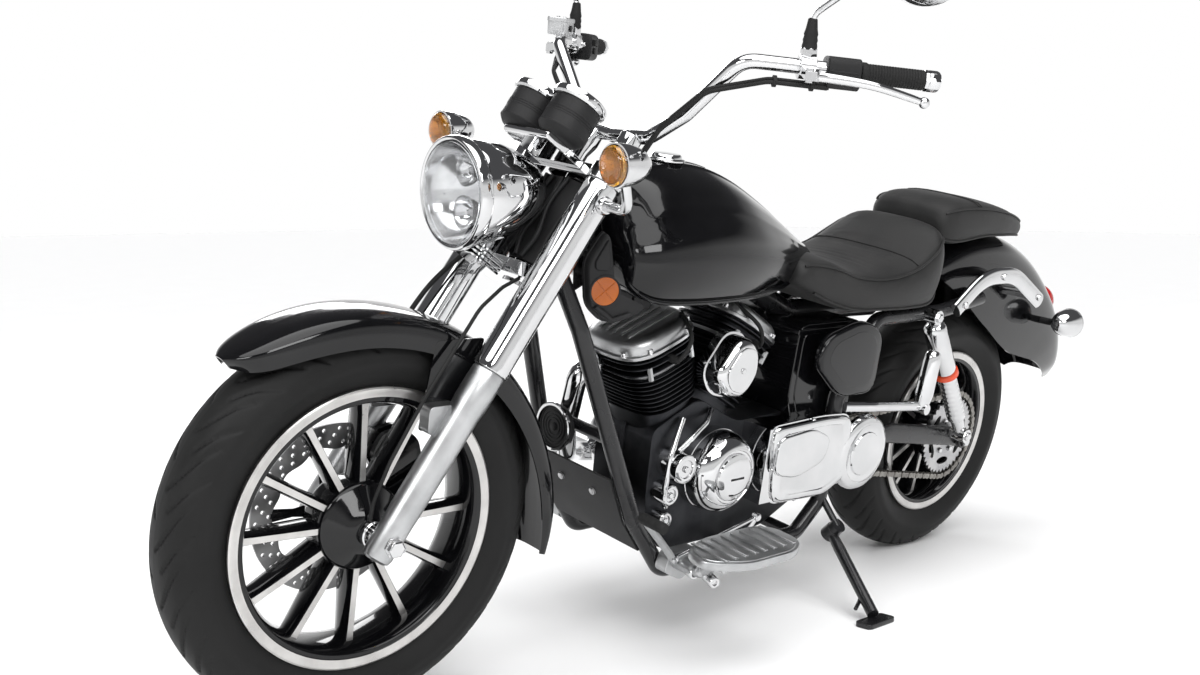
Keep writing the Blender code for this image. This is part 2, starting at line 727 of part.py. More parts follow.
def fender(centre, degrees, shares, tyre_radius, half_width):
    """A fender's thin shell over a tyre, through one section for each angle."""
    return loft([fender_ring(centre, turn, tyre_radius * crown, tyre_radius * edge,
                             half_width * width)
                 for turn, (crown, edge, width) in zip(degrees, shares)])


def build_front_fender(carrier):
    shell = fender(FRONT_AXLE, FRONT_FENDER_DEGREES, FRONT_FENDER_SHARES, FRONT_TYRE_RADIUS,
                   FRONT_FENDER_HALF)
    middle = fork_plane(LUG_AHEAD, LUG_UP)
    corner = (middle.x - LUG_PLATE_BEHIND, middle.z - LUG_HALF_HEIGHT)
    outline = outline_of(LUG_PLATE_SHARES, corner, (LUG_PLATE_DEPTH, LUG_PLATE_HEIGHT))
    lugs = [plate(outline, side * FRONT_LUG_INNER, side * (LUG_INNER_Y - GAP))
            for side in (1, -1)]
    finish("front_fender", "gloss_black", combine(shell, lugs), carrier)


# Handlebar, grips, levers and mirrors
BAR_RADIUS = 0.0127
BAR_BEND = 0.045
BAR_STEM_RISE = 0.105
BAR_MIDDLE = stem_point(UPPER_YOKE_HEIGHT + BAR_STEM_RISE)
BAR_PULL_BACK = 0.325
BAR_HALF_WIDTH = 0.445
BAR_RISE = 0.155
BAR_SIZE = Vector((-BAR_PULL_BACK, BAR_HALF_WIDTH, BAR_RISE))
BAR_SHARES = [(0.0, 0.0, 0.0), (0.04, 0.191, 0.039), (0.105, 0.337, 0.348),
              (0.163, 0.562, 1.0), (1.0, 1.0, 0.98)]
BAR_CORNERS = [BAR_MIDDLE + step for step in line_of(BAR_SHARES, BAR_SIZE)]
BAR_KNEE = BAR_CORNERS[-2]
GRIP_LINE = (BAR_CORNERS[-1] - BAR_KNEE).normalized()
GRIP_OUT = GRIP_LINE.cross(UPWARDS).normalized()
RISER_SIDE = 0.052
RISER_FOOT = UPPER_YOKE_HEIGHT + YOKE_HALF_DEPTH * YOKE_PLATE_SHARE + GAP
RISER_HEIGHT = 0.104
RISER_RADIUS = 0.0205
RISER_SHARES = [(0.0, 0.707), (0.48, 0.707), (0.67, 1.0), (0.94, 1.0), (1.0, 0.683)]

PERCH_PLACE = 0.108
PERCH_HALF = 0.014
PERCH_RADIUS = 0.0215
PERCH_ARM_RADIUS = 0.0125
PERCH_ARM_START = 0.008
PERCH_ARM_OUT = 0.040
PERCH_ARM_DROP = 0.014
LEVER_LENGTH = 0.194
LEVER_OUT = 0.054
LEVER_DROP = 0.036
LEVER_RADIUS = 0.0085
LEVER_BALL = 0.0095
LEVER_SHARES = [(-0.031, 0.741, 0.389), (0.180, 0.963, 0.389), (0.515, 1.0, 0.5),
                (0.851, 0.889, 0.833), (0.990, 0.852, 1.0)]
LEVER_THICKNESS_SHARES = [1.0, 0.94, 0.82, 0.73, 0.68]
BALL_STEPS = 5

SWITCH_START = 0.140
SWITCH_END = 0.186
SWITCH_HALF = 0.0225
SWITCH_SHIFT = 0.004
SWITCH_SHARES = [(0.0, 0.89), (0.06, 1.0), (0.94, 1.0), (1.0, 0.89)]
SWITCH_CORNER_SHARES = [(1.0, -0.6), (1.0, 0.6), (0.6, 1.0), (-0.6, 1.0), (-1.0, 0.6),
                        (-1.0, -0.6), (-0.6, -1.0), (0.6, -1.0)]
BUTTON_RADIUS = 0.007
BUTTON_RISE = 0.006
BUTTON_OUT = 0.032
GRIP_END = 0.316
GRIP_RADIUS = 0.0170
GRIP_FLANGE = 0.0185
GRIP_FLANGE_WIDTH = 0.009
GRIP_LAP = 0.005
END_CAP_RADIUS = 0.0165
END_CAP_LENGTH = 0.018
END_CAP_TIP = 0.0145
WIRES_RADIUS = 0.0062
WIRES_BELOW = 0.0287
WIRES_AHEAD = 0.008
WIRES_BEND = 0.05
WIRES_START = SWITCH_START + 0.006
WIRES_RUN_END = 0.045
WIRES_KNEE = Vector((0.036, -0.040, -0.056))
WIRES_FOOT = Vector((0.052, -0.125, -0.128))

RESERVOIR_LENGTH = 0.060
RESERVOIR_DEPTH = 0.040
RESERVOIR_HEIGHT = 0.034
RESERVOIR_ALONG = 0.050
RESERVOIR_OUT = 0.014
RESERVOIR_FOOT = 0.012
RESERVOIR_LINK = 0.011
RESERVOIR_LINK_LENGTH = 0.040

MIRROR_CENTRE = BAR_KNEE + Vector((-0.120, 0.250, 0.175))
MIRROR_KNEE = BAR_KNEE + Vector((-0.088, 0.135, 0.145))
MIRROR_AXIS = Vector((0.97, 0.10, -0.06)).normalized()
MIRROR_WIDTH = 0.068
MIRROR_HEIGHT = 0.044
MIRROR_DEPTH = 0.022
MIRROR_STEM_FOOT = Vector((0.018, -0.030, -0.014))
MIRROR_STEM_BEND = 0.03
MIRROR_STEM_RADIUS = 0.0052
MIRROR_BOOT_RADIUS = 0.0110
MIRROR_BOOT_HEIGHT = 0.085
MIRROR_SHARES = [(-0.45, 0.96), (-0.18, 1.0), (0.27, 0.96), (0.73, 0.78), (1.0, 0.42)]


def grip_point(along, out=0.0, up=0.0):
    """A point near the left grip, from its distance along the bar past the knee."""
    return BAR_KNEE + GRIP_LINE * along + GRIP_OUT * out + UPWARDS * up


def bar_clearance():
    """A cutter a gap wider than the bar, along the straight of the grip."""
    return rod(grip_point(0), grip_point(GRIP_END + OVERRUN),
               BAR_RADIUS / math.cos(math.pi / ROUND) + GAP, ROUND)


def bar_riser(side):
    """A riser from the upper yoke with a round clamp about the bar."""
    foot = stem_point(RISER_FOOT) + AXLE_LINE * (RISER_SIDE * side)
    return turned(profile_of(RISER_SHARES, RISER_HEIGHT, RISER_RADIUS), foot, UP_FORK, SLIM)


def build_handlebar(carrier):
    left = BAR_CORNERS
    right = [Vector((corner.x, -corner.y, corner.z)) for corner in BAR_CORNERS[:0:-1]]
    bar = swept(bent_line(right + left, BAR_BEND, 2), BAR_RADIUS, SLIM)
    caps = [mirrored(rod(grip_point(GRIP_END + GAP), grip_point(GRIP_END + END_CAP_LENGTH),
                         END_CAP_RADIUS, SMALL, END_CAP_TIP), side) for side in (1, -1)]
    finish("handlebar", "chrome",
           combine(bar, [bar_riser(side) for side in (1, -1)] + caps), carrier)


def ball_at(centre, radius):
    """A small ball of revolution."""
    stations = [math.pi * (step + 0.5) / BALL_STEPS for step in range(BALL_STEPS)]
    return turned([(-math.cos(turn) * radius, math.sin(turn) * radius) for turn in stations],
                  centre, UPWARDS, SMALL)


def lever_and_perch():
    """The left perch round the bar with its lever, before it is bored for the bar."""
    perch = rod(grip_point(PERCH_PLACE - PERCH_HALF), grip_point(PERCH_PLACE + PERCH_HALF),
                PERCH_RADIUS, ROUND)
    arm = rod(grip_point(PERCH_PLACE, PERCH_ARM_START),
              grip_point(PERCH_PLACE, PERCH_ARM_OUT, -PERCH_ARM_DROP), PERCH_ARM_RADIUS, SMALL)
    points = [grip_point(PERCH_PLACE + LEVER_LENGTH * along, LEVER_OUT * out,
                         -LEVER_DROP * down) for along, out, down in LEVER_SHARES]
    blade = swept(points, [LEVER_RADIUS * share for share in LEVER_THICKNESS_SHARES], SMALL)
    return combine(perch, [arm, blade, ball_at(points[-1], LEVER_BALL)])


def reservoir():
    """The brake fluid pot that stands on the right perch, made for the left side."""
    pot = box((-RESERVOIR_LENGTH / 2, -RESERVOIR_DEPTH / 2, 0),
              (RESERVOIR_LENGTH / 2, RESERVOIR_DEPTH / 2, RESERVOIR_HEIGHT))
    turn = Matrix.Rotation(math.atan2(GRIP_LINE.y, GRIP_LINE.x), 4, "Z")
    place = Matrix.Translation(grip_point(PERCH_PLACE - RESERVOIR_ALONG, RESERVOIR_OUT,
                                          RESERVOIR_FOOT))
    link = rod(grip_point(PERCH_PLACE - RESERVOIR_LINK_LENGTH, RESERVOIR_OUT, RESERVOIR_FOOT),
               grip_point(PERCH_PLACE, PERCH_ARM_START, RESERVOIR_FOOT / 2),
               RESERVOIR_LINK, SMALL)
    return combine(moved(pot, place @ turn), [link])


def mirror_on_stem():
    """The left mirror: a shallow oval shell on a stem that rises from the perch."""
    foot = grip_point(PERCH_PLACE)
    stem = bent_line([foot, foot + UPWARDS * MIRROR_BOOT_HEIGHT, MIRROR_KNEE,
                      MIRROR_CENTRE + MIRROR_STEM_FOOT], MIRROR_STEM_BEND, 2)
    radii = [MIRROR_BOOT_RADIUS] * 2 + [MIRROR_STEM_RADIUS] * (len(stem) - 2)
    up_line = MIRROR_AXIS.cross(AXLE_LINE)
    shell = []
    for depth, size in MIRROR_SHARES:
        middle = MIRROR_CENTRE + MIRROR_AXIS * (MIRROR_DEPTH * depth)
        shell.append([middle + AXLE_LINE * (MIRROR_WIDTH * size * math.cos(math.tau * step / FINE))
                      + up_line * (MIRROR_HEIGHT * size * math.sin(math.tau * step / FINE))
                      for step in range(FINE)])
    return combine(loft(shell), [swept(stem, radii, SMALL)])


def build_controls(name, side, with_reservoir, carrier):
    """Perch, lever and mirror on one side of the bar, with the brake pot on the right."""
    extras = [mirror_on_stem()] + ([reservoir()] if with_reservoir else [])
    whole = combine(combine(lever_and_perch(), extras), [bar_clearance()], "DIFFERENCE")
    finish(name, "chrome", mirrored(whole, side), carrier)


def switch_housing():
    """The left switch housing: a rounded block round the bar, with one button."""
    length = SWITCH_END - SWITCH_START
    rings = []
    for along, size in SWITCH_SHARES:
        middle = grip_point(SWITCH_START + length * along, -SWITCH_SHIFT, -SWITCH_SHIFT)
        rings.append([middle + GRIP_OUT * (SWITCH_HALF * size * out)
                      + UPWARDS * (SWITCH_HALF * size * up)
                      for out, up in SWITCH_CORNER_SHARES])
    place = SWITCH_START + length / 2
    button = rod(grip_point(place, -SWITCH_HALF, BUTTON_RISE),
                 grip_point(place, -BUTTON_OUT, BUTTON_RISE), BUTTON_RADIUS, SLIM)
    return combine(loft(rings), [button])


def wire_bundle():
    """The sheathed wires and cables under the left bar, from the switches to the yoke."""
    start = grip_point(WIRES_START, WIRES_AHEAD, -WIRES_BELOW)
    line = bent_line([start, grip_point(WIRES_RUN_END, WIRES_AHEAD, -WIRES_BELOW),
                      BAR_KNEE + WIRES_KNEE, BAR_KNEE + WIRES_FOOT], WIRES_BEND, 2)
    return swept(line, WIRES_RADIUS, SMALL)


def build_grip(name, side, carrier):
    sleeve = turned([(0, GRIP_FLANGE), (GRIP_FLANGE_WIDTH, GRIP_FLANGE),
                     (GRIP_FLANGE_WIDTH + (GRIP_FLANGE - GRIP_RADIUS), GRIP_RADIUS),
                     (GRIP_END - SWITCH_END + GRIP_LAP, GRIP_RADIUS)],
                    grip_point(SWITCH_END - GRIP_LAP), GRIP_LINE, ROUND)
    bored = combine(combine(switch_housing(), [sleeve]), [bar_clearance()], "DIFFERENCE")
    finish(name, "rubber", mirrored(combine(bored, [wire_bundle()]), side), carrier)


# Headlamp, gauges and signals
HEADLAMP_AHEAD = 0.1738
HEADLAMP_RISE = 0.0394
HEADLAMP_FRONT = fork_plane(HEADLAMP_AHEAD, LOWER_YOKE_HEIGHT + HEADLAMP_RISE)
HEADLAMP_DROP = math.radians(3)
HEADLAMP_AXIS = Vector((math.cos(HEADLAMP_DROP), 0, -math.sin(HEADLAMP_DROP)))
HEADLAMP_DEPTH = 0.180
HEADLAMP_RADIUS = 0.0955
HEADLAMP_BOWL_SHARES = [(-1.0, 0.126), (-0.933, 0.356), (-0.722, 0.670), (-0.472, 0.859),
                        (-0.111, 0.948), (-0.094, 0.990), (-0.017, 1.0), (0.006, 0.974),
                        (0.006, 0.916), (-0.033, 0.906), (-0.194, 0.733)]
LENS_RADIUS = 0.0865
LENS_DEPTH = 0.0132
LENS_SHARES = [(-0.417, 0.992), (-0.076, 1.0), (0.303, 0.971), (0.682, 0.786), (1.0, 0.30)]
YOKE_FRONT = YOKE_REACH * YOKE_SHARES[-1][1] + GAP
NECK_DEPTH = 0.0625
NECK_HEIGHT = 0.070
NECK_BELOW = 0.030
NECK_HALF = 0.022
NECK_SHARES = [(0.0, 0.143), (0.76, 0.0), (1.0, 0.429), (0.6, 1.0), (0.0, 0.657)]
BRACKET_FINS = 3
BRACKET_FIN_PITCH = 0.008
BRACKET_FIN_THICKNESS = 0.004
BRACKET_FIN_HALF = 0.030
BRACKET_FIN_START = 0.030
BRACKET_FIN_END = 0.101
BRACKET_FIN_BELOW = 0.027

GAUGE_SIDE = 0.055
GAUGE_AHEAD = 0.090
GAUGE_FOOT = UPPER_YOKE_HEIGHT + 0.009
GAUGE_DEPTH = 0.083
GAUGE_RADIUS = 0.0500
GAUGE_SHARES = [(0.0, 0.60), (0.12, 0.85), (0.795, 0.90), (0.843, 1.0), (0.964, 1.0),
                (1.0, 0.92), (0.94, 0.86)]
GAUGE_PLATE_THICKNESS = 0.016
GAUGE_PLATE_LAP = 0.002
GAUGE_PLATE_END = 0.118
GAUGE_PLATE_HALF = 0.062

SIGNAL_AHEAD = 0.0893
SIGNAL_BELOW = 0.013
SIGNAL_Y = 0.248
SIGNAL_CENTRE = fork_plane(SIGNAL_AHEAD, UPPER_YOKE_HEIGHT - SIGNAL_BELOW, SIGNAL_Y)
SIGNAL_ROOT_BELOW = 0.050
SIGNAL_ROOT_UP = UPPER_YOKE_HEIGHT - SIGNAL_ROOT_BELOW
SIGNAL_RADIUS = 0.0360
SIGNAL_DEPTH = 0.046
SIGNAL_SHARES = [(-1.0, 0.25), (-0.826, 0.55), (-0.478, 0.80), (0.0, 0.96), (0.435, 1.0),
                 (0.652, 0.80), (0.826, 0.33)]
SIGNAL_STALK = 0.020
SIGNAL_STALK_RADIUS = 0.011
SIGNAL_STALK_END = Vector((-0.010, -0.020, 0))


def build_headlamp(carrier):
    bowl = turned(profile_of(HEADLAMP_BOWL_SHARES, HEADLAMP_DEPTH, HEADLAMP_RADIUS),
                  HEADLAMP_FRONT, HEADLAMP_AXIS, FINE)
    neck = fork_block(outline_of(NECK_SHARES, (YOKE_FRONT, LOWER_YOKE_HEIGHT - NECK_BELOW),
                                 (NECK_DEPTH, NECK_HEIGHT)), NECK_HALF)
    fins = []
    for index in range(BRACKET_FINS):
        foot = LOWER_YOKE_HEIGHT - BRACKET_FIN_BELOW + BRACKET_FIN_PITCH * index
        top = foot + BRACKET_FIN_THICKNESS
        fins.append(fork_block([(BRACKET_FIN_START, foot), (BRACKET_FIN_END, foot),
                                (BRACKET_FIN_END, top), (BRACKET_FIN_START, top)],
                               BRACKET_FIN_HALF))
    finish("headlamp", "chrome", combine(bowl, [neck] + fins), carrier)
    lens = turned(profile_of(LENS_SHARES, LENS_DEPTH, LENS_RADIUS), HEADLAMP_FRONT,
                  HEADLAMP_AXIS, FINE)
    finish("headlamp_lens", "clear_glass", lens, carrier)


def build_gauges(carrier):
    foot = GAUGE_FOOT + GAUGE_PLATE_LAP - GAUGE_PLATE_THICKNESS
    top = GAUGE_FOOT + GAUGE_PLATE_LAP
    base = fork_block([(YOKE_FRONT, foot), (GAUGE_PLATE_END, foot), (GAUGE_PLATE_END, top),
                       (YOKE_FRONT, top)], GAUGE_PLATE_HALF)
    cups = [turned(profile_of(GAUGE_SHARES, GAUGE_DEPTH, GAUGE_RADIUS),
                   fork_plane(GAUGE_AHEAD, GAUGE_FOOT, GAUGE_SIDE * side), UP_FORK, ROUND)
            for side in (1, -1)]
    finish("gauges", "matte_black", combine(base, cups), carrier)


def signal_body(centre, axis):
    """A bullet-shaped signal with its lens, without its stalk."""
    return turned(profile_of(SIGNAL_SHARES, SIGNAL_DEPTH, SIGNAL_RADIUS), centre, axis, ROUND)


def build_front_signal(name, side, carrier):
    root = fork_plane(0, SIGNAL_ROOT_UP, FORK_HALF_TRACK + FORK_COVER_RADIUS + GAP)
    stalk = swept([root, root + AXLE_LINE * SIGNAL_STALK, SIGNAL_CENTRE + SIGNAL_STALK_END],
                  SIGNAL_STALK_RADIUS, SMALL)
    whole = combine(signal_body(SIGNAL_CENTRE, HEADLAMP_AXIS), [stalk])
    finish(name, "chrome", mirrored(whole, side), carrier)


# Front brake caliper and speedometer cable
CALIPER_TURN = math.radians(-60)
CALIPER_CORNER = (-0.020, 0.095)
CALIPER_SIZE = (0.092, 0.090)
CALIPER_SHARES = [(0.0, 0.0), (0.0, 0.889), (0.435, 1.0), (0.870, 0.833), (1.0, 0.389),
                  (0.761, 0.0)]
CALIPER_ROUND = 0.012
CALIPER_CHAMFER = 0.004
CALIPER_INNER_Y = -0.045
CALIPER_OUTER_Y = -0.0830
CALIPER_CLEARANCE = 0.0035
CABLE_RADIUS = 0.0032
CABLE_BEND = 0.06
CABLE_PLACES = [  # ahead of the fork line, up it, and to the left
    (0.010, 0.4858, 0.060), (0.034, 0.455, 0.066), (0.064, 0.400, 0.084),
    (0.073, 0.230, 0.096), (0.060, 0.110, 0.090), (0.037, 0.045, 0.0765),
    (0.0230, 0.0155, 0.0765)]


def build_brake_caliper(carrier):
    outline = rounded_outline(outline_of(CALIPER_SHARES, CALIPER_CORNER, CALIPER_SIZE),
                              CALIPER_ROUND, 2)
    body = plate(outline, CALIPER_INNER_Y, CALIPER_OUTER_Y, CALIPER_CHAMFER)
    near = FRONT_DISC_Y + CALIPER_CLEARANCE
    far = FRONT_DISC_Y - DISC_THICKNESS - CALIPER_CLEARANCE
    outer = FRONT_DISC_OUTER + CALIPER_CLEARANCE
    slot = ring_body([(far, outer), (near, outer), (near, FRONT_DISC_BOSS),
                      (far, FRONT_DISC_BOSS)], ORIGIN, AXLE_LINE, WHEEL_SEGMENTS)
    turn = Matrix.Rotation(CALIPER_TURN, 4, "Y")
    finish("front_brake_caliper", "matte_black",
           centred(moved(combine(body, [slot], "DIFFERENCE"), turn), FRONT_AXLE), carrier)


def build_speedometer_cable(carrier):
    points = [fork_plane(*place) for place in CABLE_PLACES]
    finish("speedometer_cable", "rubber",
           swept(bent_line(points, CABLE_BEND, 2), CABLE_RADIUS, SMALL), carrier)


# Frame and swingarm
HEAD_GAP = 0.0005
HEAD_RADIUS = 0.031
HEAD_BORE_GAP = 0.0045
HEAD_JOINT_BELOW = 0.0275
HEAD_JOINT = stem_point(HEAD_MIDDLE - HEAD_JOINT_BELOW)
DOWNTUBE_START_Y = 0.012
SHOULDER_AHEAD = -0.1556
SHOULDER_UP = LOWER_YOKE_HEIGHT - 0.020
SHOULDER_Y = 0.075
FRAME_SIZE = Vector((CRANK.x, RAIL_Y, RAIL_TOP))
CRADLE_SHARES = [(1.268, 0.80, 0.701), (1.195, 0.96, 0.449), (1.097, 1.0, 0.268),
                 (0.649, 1.0, 0.268), (0.573, 1.0, 0.374), (0.573, 1.0, 0.732),
                 (0.476, 1.0, 0.994), (0.205, 1.0, 1.0), (0.032, 1.0, 1.036)]
BACKBONE_SHARES = [(1.2757, 0.0, 1.241), (0.865, 0.0, 1.134), (0.649, 0.0, 0.991),
                   (0.3135, 0.0, 0.984)]
CROSS_TUBE_SHARES = [(0.3243, 1.0, 0.997), (0.865, 1.0, 0.268), (0.649, 1.0, 0.268),
                     (1.268, 0.80, 0.701)]
CRADLE_BEND = 0.04
BACKBONE_BEND = 0.08
CROSS_TUBE_RADIUS = 0.012
UPRIGHT_X = CRANK.x * CRADLE_SHARES[4][0]
RAIL_Z = RAIL_TOP * CRADLE_SHARES[2][2]
PIVOT_HALF = 0.136
EAR_INNER_Y = 0.1289
EAR_OUTER_Y = 0.1380
EAR_HALF_HEIGHT = 0.040
EAR_TAIL = 0.025
EAR_TIP_SHARE = 0.675

SWINGARM_Y = 0.1165
SWINGARM_RADIUS = 0.024
SWINGARM_FLAT_SHARE = 0.50
SWINGARM_BEND = 0.10
SWINGARM_HALF = 0.1285
SWINGARM_HUB_RADIUS = 0.026
SWINGARM_KNEE_SHARE = 0.667
SWINGARM_KNEE_RISE = 0.015
SWINGARM_TAIL = 0.030
SWINGARM_CROSS_SHARE = 0.831
SWINGARM_CROSS_RADIUS = 0.018
REAR_AXLE_OVERHANG = 0.024
REAR_SPACER_RADIUS = 0.021

SHOCK_TOP = Vector((0.262, 0.151, 0.641))
SHOCK_FOOT = Vector((0.042, 0.151, REAR_TYRE_RADIUS + 0.026))
SHOCK_RADIUS = 0.029
SHOCK_SHARES = [(0.0, 0.276), (0.08, 0.517), (0.10, 0.862), (0.44, 0.897), (0.445, 1.0),
                (0.475, 1.0), (0.48, 0.759), (0.84, 0.759), (0.86, 0.517), (1.0, 0.414)]
SHOCK_EYE_RADIUS = 0.017
SHOCK_EYE_OUTER = 0.172
SHOCK_TOP_INNER = RAIL_Y + TUBE_RADIUS - 0.0003
SHOCK_FOOT_INNER = SWINGARM_Y + SWINGARM_RADIUS * SWINGARM_FLAT_SHARE + 0.0004

STAND_PIVOT = Vector((UPRIGHT_X, RAIL_Y + 0.045, 0.180))
STAND_FOOT = STAND_PIVOT + Vector((0.080, 0.195, -0.09735))
STAND_AXIS = Vector((0, 0.61, 0.793)).normalized()
STAND_BOSS = 0.028
STAND_BOSS_RADIUS = 0.018
STAND_LUG = 0.028
STAND_LUG_RADIUS = 0.017
STAND_LUG_ARM = 0.0056
STAND_LUG_RISE = 0.080
STAND_LUG_START_SHARE = 0.6
STAND_LEG_RADIUS = 0.0125
STAND_LEG_SHARES = [(0.0, 0.8), (0.2, 1.0), (1.0, 1.0)]
STAND_SOLE_CORNER = (-0.045, -0.018)
STAND_SOLE_SIZE = (0.090, 0.040)
STAND_SOLE_ROUND = 0.012
STAND_SOLE_FOOT = -0.014
STAND_SOLE_TOP = -0.004
CORNER_SHARES = [(0.0, 0.0), (1.0, 0.0), (1.0, 1.0), (0.0, 1.0)]


def cradle_tube(side):
    """One side of the frame: downtube, lower rail, upright and seat rail in one tube."""
    start = HEAD_JOINT + AXLE_LINE * (DOWNTUBE_START_Y * side)
    shoulder = fork_plane(SHOULDER_AHEAD, SHOULDER_UP, SHOULDER_Y * side)
    return tube([start, shoulder] + line_of(CRADLE_SHARES, FRAME_SIZE, side),
                TUBE_RADIUS, CRADLE_BEND, 1, SLIM)


def cross_tubes():
    """The tubes across the cradle, between its two sides."""
    left = line_of(CROSS_TUBE_SHARES, FRAME_SIZE)
    return [across_rod(place, -place.y, place.y, CROSS_TUBE_RADIUS, SMALL) for place in left]


def pivot_ear(side):
    """The plate on an upright that carries the swingarm's pivot."""
    tip = EAR_HALF_HEIGHT * EAR_TIP_SHARE
    outline = [(UPRIGHT_X, PIVOT_Z - EAR_HALF_HEIGHT), (UPRIGHT_X, PIVOT_Z + EAR_HALF_HEIGHT),
               (PIVOT_X, PIVOT_Z + tip), (PIVOT_X - EAR_TAIL, PIVOT_Z),
               (PIVOT_X, PIVOT_Z - tip)]
    return plate(outline, side * EAR_INNER_Y, side * EAR_OUTER_Y)


def stand_lug():
    """The bracket on the left lower rail that the side stand is hinged to."""
    foot = STAND_PIVOT + STAND_AXIS * (STAND_BOSS / 2 + GAP)
    top = STAND_PIVOT + STAND_AXIS * STAND_LUG
    root = Vector((UPRIGHT_X, RAIL_Y, RAIL_Z + STAND_LUG_RISE))
    arm = rod(foot.lerp(top, STAND_LUG_START_SHARE), root, STAND_LUG_ARM, SMALL)
    return combine(rod(foot, top, STAND_LUG_RADIUS, SLIM), [arm])


def build_frame(carrier):
    backbone = tube([HEAD_JOINT] + line_of(BACKBONE_SHARES, FRAME_SIZE), BACKBONE_RADIUS,
                    BACKBONE_BEND, 1, ROUND)
    head = rod(stem_point(LOWER_YOKE_HEIGHT + YOKE_HALF_DEPTH + HEAD_GAP),
               stem_point(UPPER_YOKE_HEIGHT - YOKE_HALF_DEPTH - HEAD_GAP), HEAD_RADIUS, ROUND)
    pivot_place = Vector((PIVOT_X, 0, PIVOT_Z))
    pivot = across_rod(pivot_place, -PIVOT_HALF, PIVOT_HALF, PIVOT_RADIUS, SLIM)
    pieces = [cradle_tube(side) for side in (1, -1)] + [head] + cross_tubes()
    pieces += [pivot_ear(side) for side in (1, -1)] + [pivot, stand_lug()]
    whole = combine(backbone, pieces)
    bore = rod(stem_point(LOWER_YOKE_HEIGHT), stem_point(UPPER_YOKE_HEIGHT),
               STEM_RADIUS + HEAD_BORE_GAP, ROUND)
    finish("frame", "frame_black", combine(whole, [bore], "DIFFERENCE"), carrier)


def build_swingarm(carrier):
    pivot_place = Vector((PIVOT_X, 0, PIVOT_Z))
    knee = Vector((PIVOT_X * SWINGARM_KNEE_SHARE, 0, PIVOT_Z + SWINGARM_KNEE_RISE))
    tail = Vector((-SWINGARM_TAIL, 0, REAR_TYRE_RADIUS))
    arms = []
    for side in (1, -1):
        line = [place + AXLE_LINE * (SWINGARM_Y * side) for place in (pivot_place, knee, tail)]
        arms.append(swept(bent_line(line, SWINGARM_BEND, 1), SWINGARM_RADIUS, SLIM,
                          SWINGARM_FLAT_SHARE, UPWARDS))
    hub = across_rod(pivot_place, -SWINGARM_HALF, SWINGARM_HALF, SWINGARM_HUB_RADIUS, ROUND)
    middle = Vector((PIVOT_X * SWINGARM_CROSS_SHARE, 0,
                     PIVOT_Z + SWINGARM_KNEE_RISE / 2))
    cross = across_rod(middle, -SWINGARM_Y, SWINGARM_Y, SWINGARM_CROSS_RADIUS, SLIM)
    reach = SWINGARM_Y + REAR_AXLE_OVERHANG
    axle = across_rod(REAR_AXLE, -reach, reach, AXLE_RADIUS, SLIM)
    left = across_rod(REAR_AXLE, SPROCKET_NEAR + SPROCKET_THICKNESS + GAP, SWINGARM_Y,
                      REAR_SPACER_RADIUS, ROUND)
    right = across_rod(REAR_AXLE, REAR_DISC_Y - DISC_THICKNESS - GAP, -SWINGARM_Y,
                       REAR_SPACER_RADIUS, ROUND)
    nuts = [across_rod(REAR_AXLE, side * SWINGARM_Y, side * (SWINGARM_Y + NUT_OVERHANG),
                       NUT_RADIUS, SMALL) for side in (1, -1)]
    whole = combine(arms[0], [arms[1], hub, cross, axle, left, right] + nuts)
    bore = across_rod(pivot_place, -OVERRUN, OVERRUN, round_cutter(PIVOT_RADIUS), SLIM)
    finish("swingarm", "frame_black", combine(whole, [bore], "DIFFERENCE"), carrier)


def build_shock(name, side, carrier):
    top = on_side(side, *SHOCK_TOP)
    foot = on_side(side, *SHOCK_FOOT)
    body = turned(profile_of(SHOCK_SHARES, (foot - top).length, SHOCK_RADIUS), top,
                  foot - top, ROUND)
    eyes = [across_rod(place, side * near, side * SHOCK_EYE_OUTER, SHOCK_EYE_RADIUS, SLIM)
            for place, near in ((top, SHOCK_TOP_INNER), (foot, SHOCK_FOOT_INNER))]
    finish(name, "chrome", combine(body, eyes), carrier)


def build_side_stand(carrier):
    reach = STAND_AXIS * (STAND_BOSS / 2)
    boss = rod(STAND_PIVOT - reach, STAND_PIVOT + reach, STAND_BOSS_RADIUS, ROUND)
    run = STAND_FOOT - STAND_PIVOT
    leg = turned(profile_of(STAND_LEG_SHARES, run.length, STAND_LEG_RADIUS), STAND_PIVOT,
                 run, SLIM)
    outline = rounded_outline(outline_of(CORNER_SHARES, STAND_SOLE_CORNER, STAND_SOLE_SIZE),
                              STAND_SOLE_ROUND, 2)
    sole = loft([[Vector((x, y, height)) for x, y in outline]
                 for height in (STAND_SOLE_FOOT, STAND_SOLE_TOP)])
    level = Matrix.Rotation(LEAN, 4, "X")
    foot = centred(moved(sole, level), STAND_FOOT)
    finish("side_stand", "frame_black", combine(leg, [boss, foot]), carrier, STAND_PIVOT)


# Engine
FRONT_LEAN = math.radians(21)
REAR_LEAN = math.radians(-28)
FRONT_LENGTH = 0.290
REAR_LENGTH = 0.318
CASE_TOP = 0.158
BARREL_HALF = 0.070
HEAD_HALF = 0.092
CYLINDER_HALF_WIDTH = 0.088
FINS = 6
FIN_CORE_SHARE = 0.82
FIN_SHARES = [(0.0, 0.82), (0.46, 0.82), (0.54, 1.0), (0.82, 1.0)]
SQUARE_POWER_SHARE = 0.625
HEAD_COVER_HALF = Vector((0.094, 0.090, 0.036))
HEAD_COVER_SHARES = [(0.008, 1.0), (0.50, 1.0), (0.833, 0.915), (1.0, 0.745)]

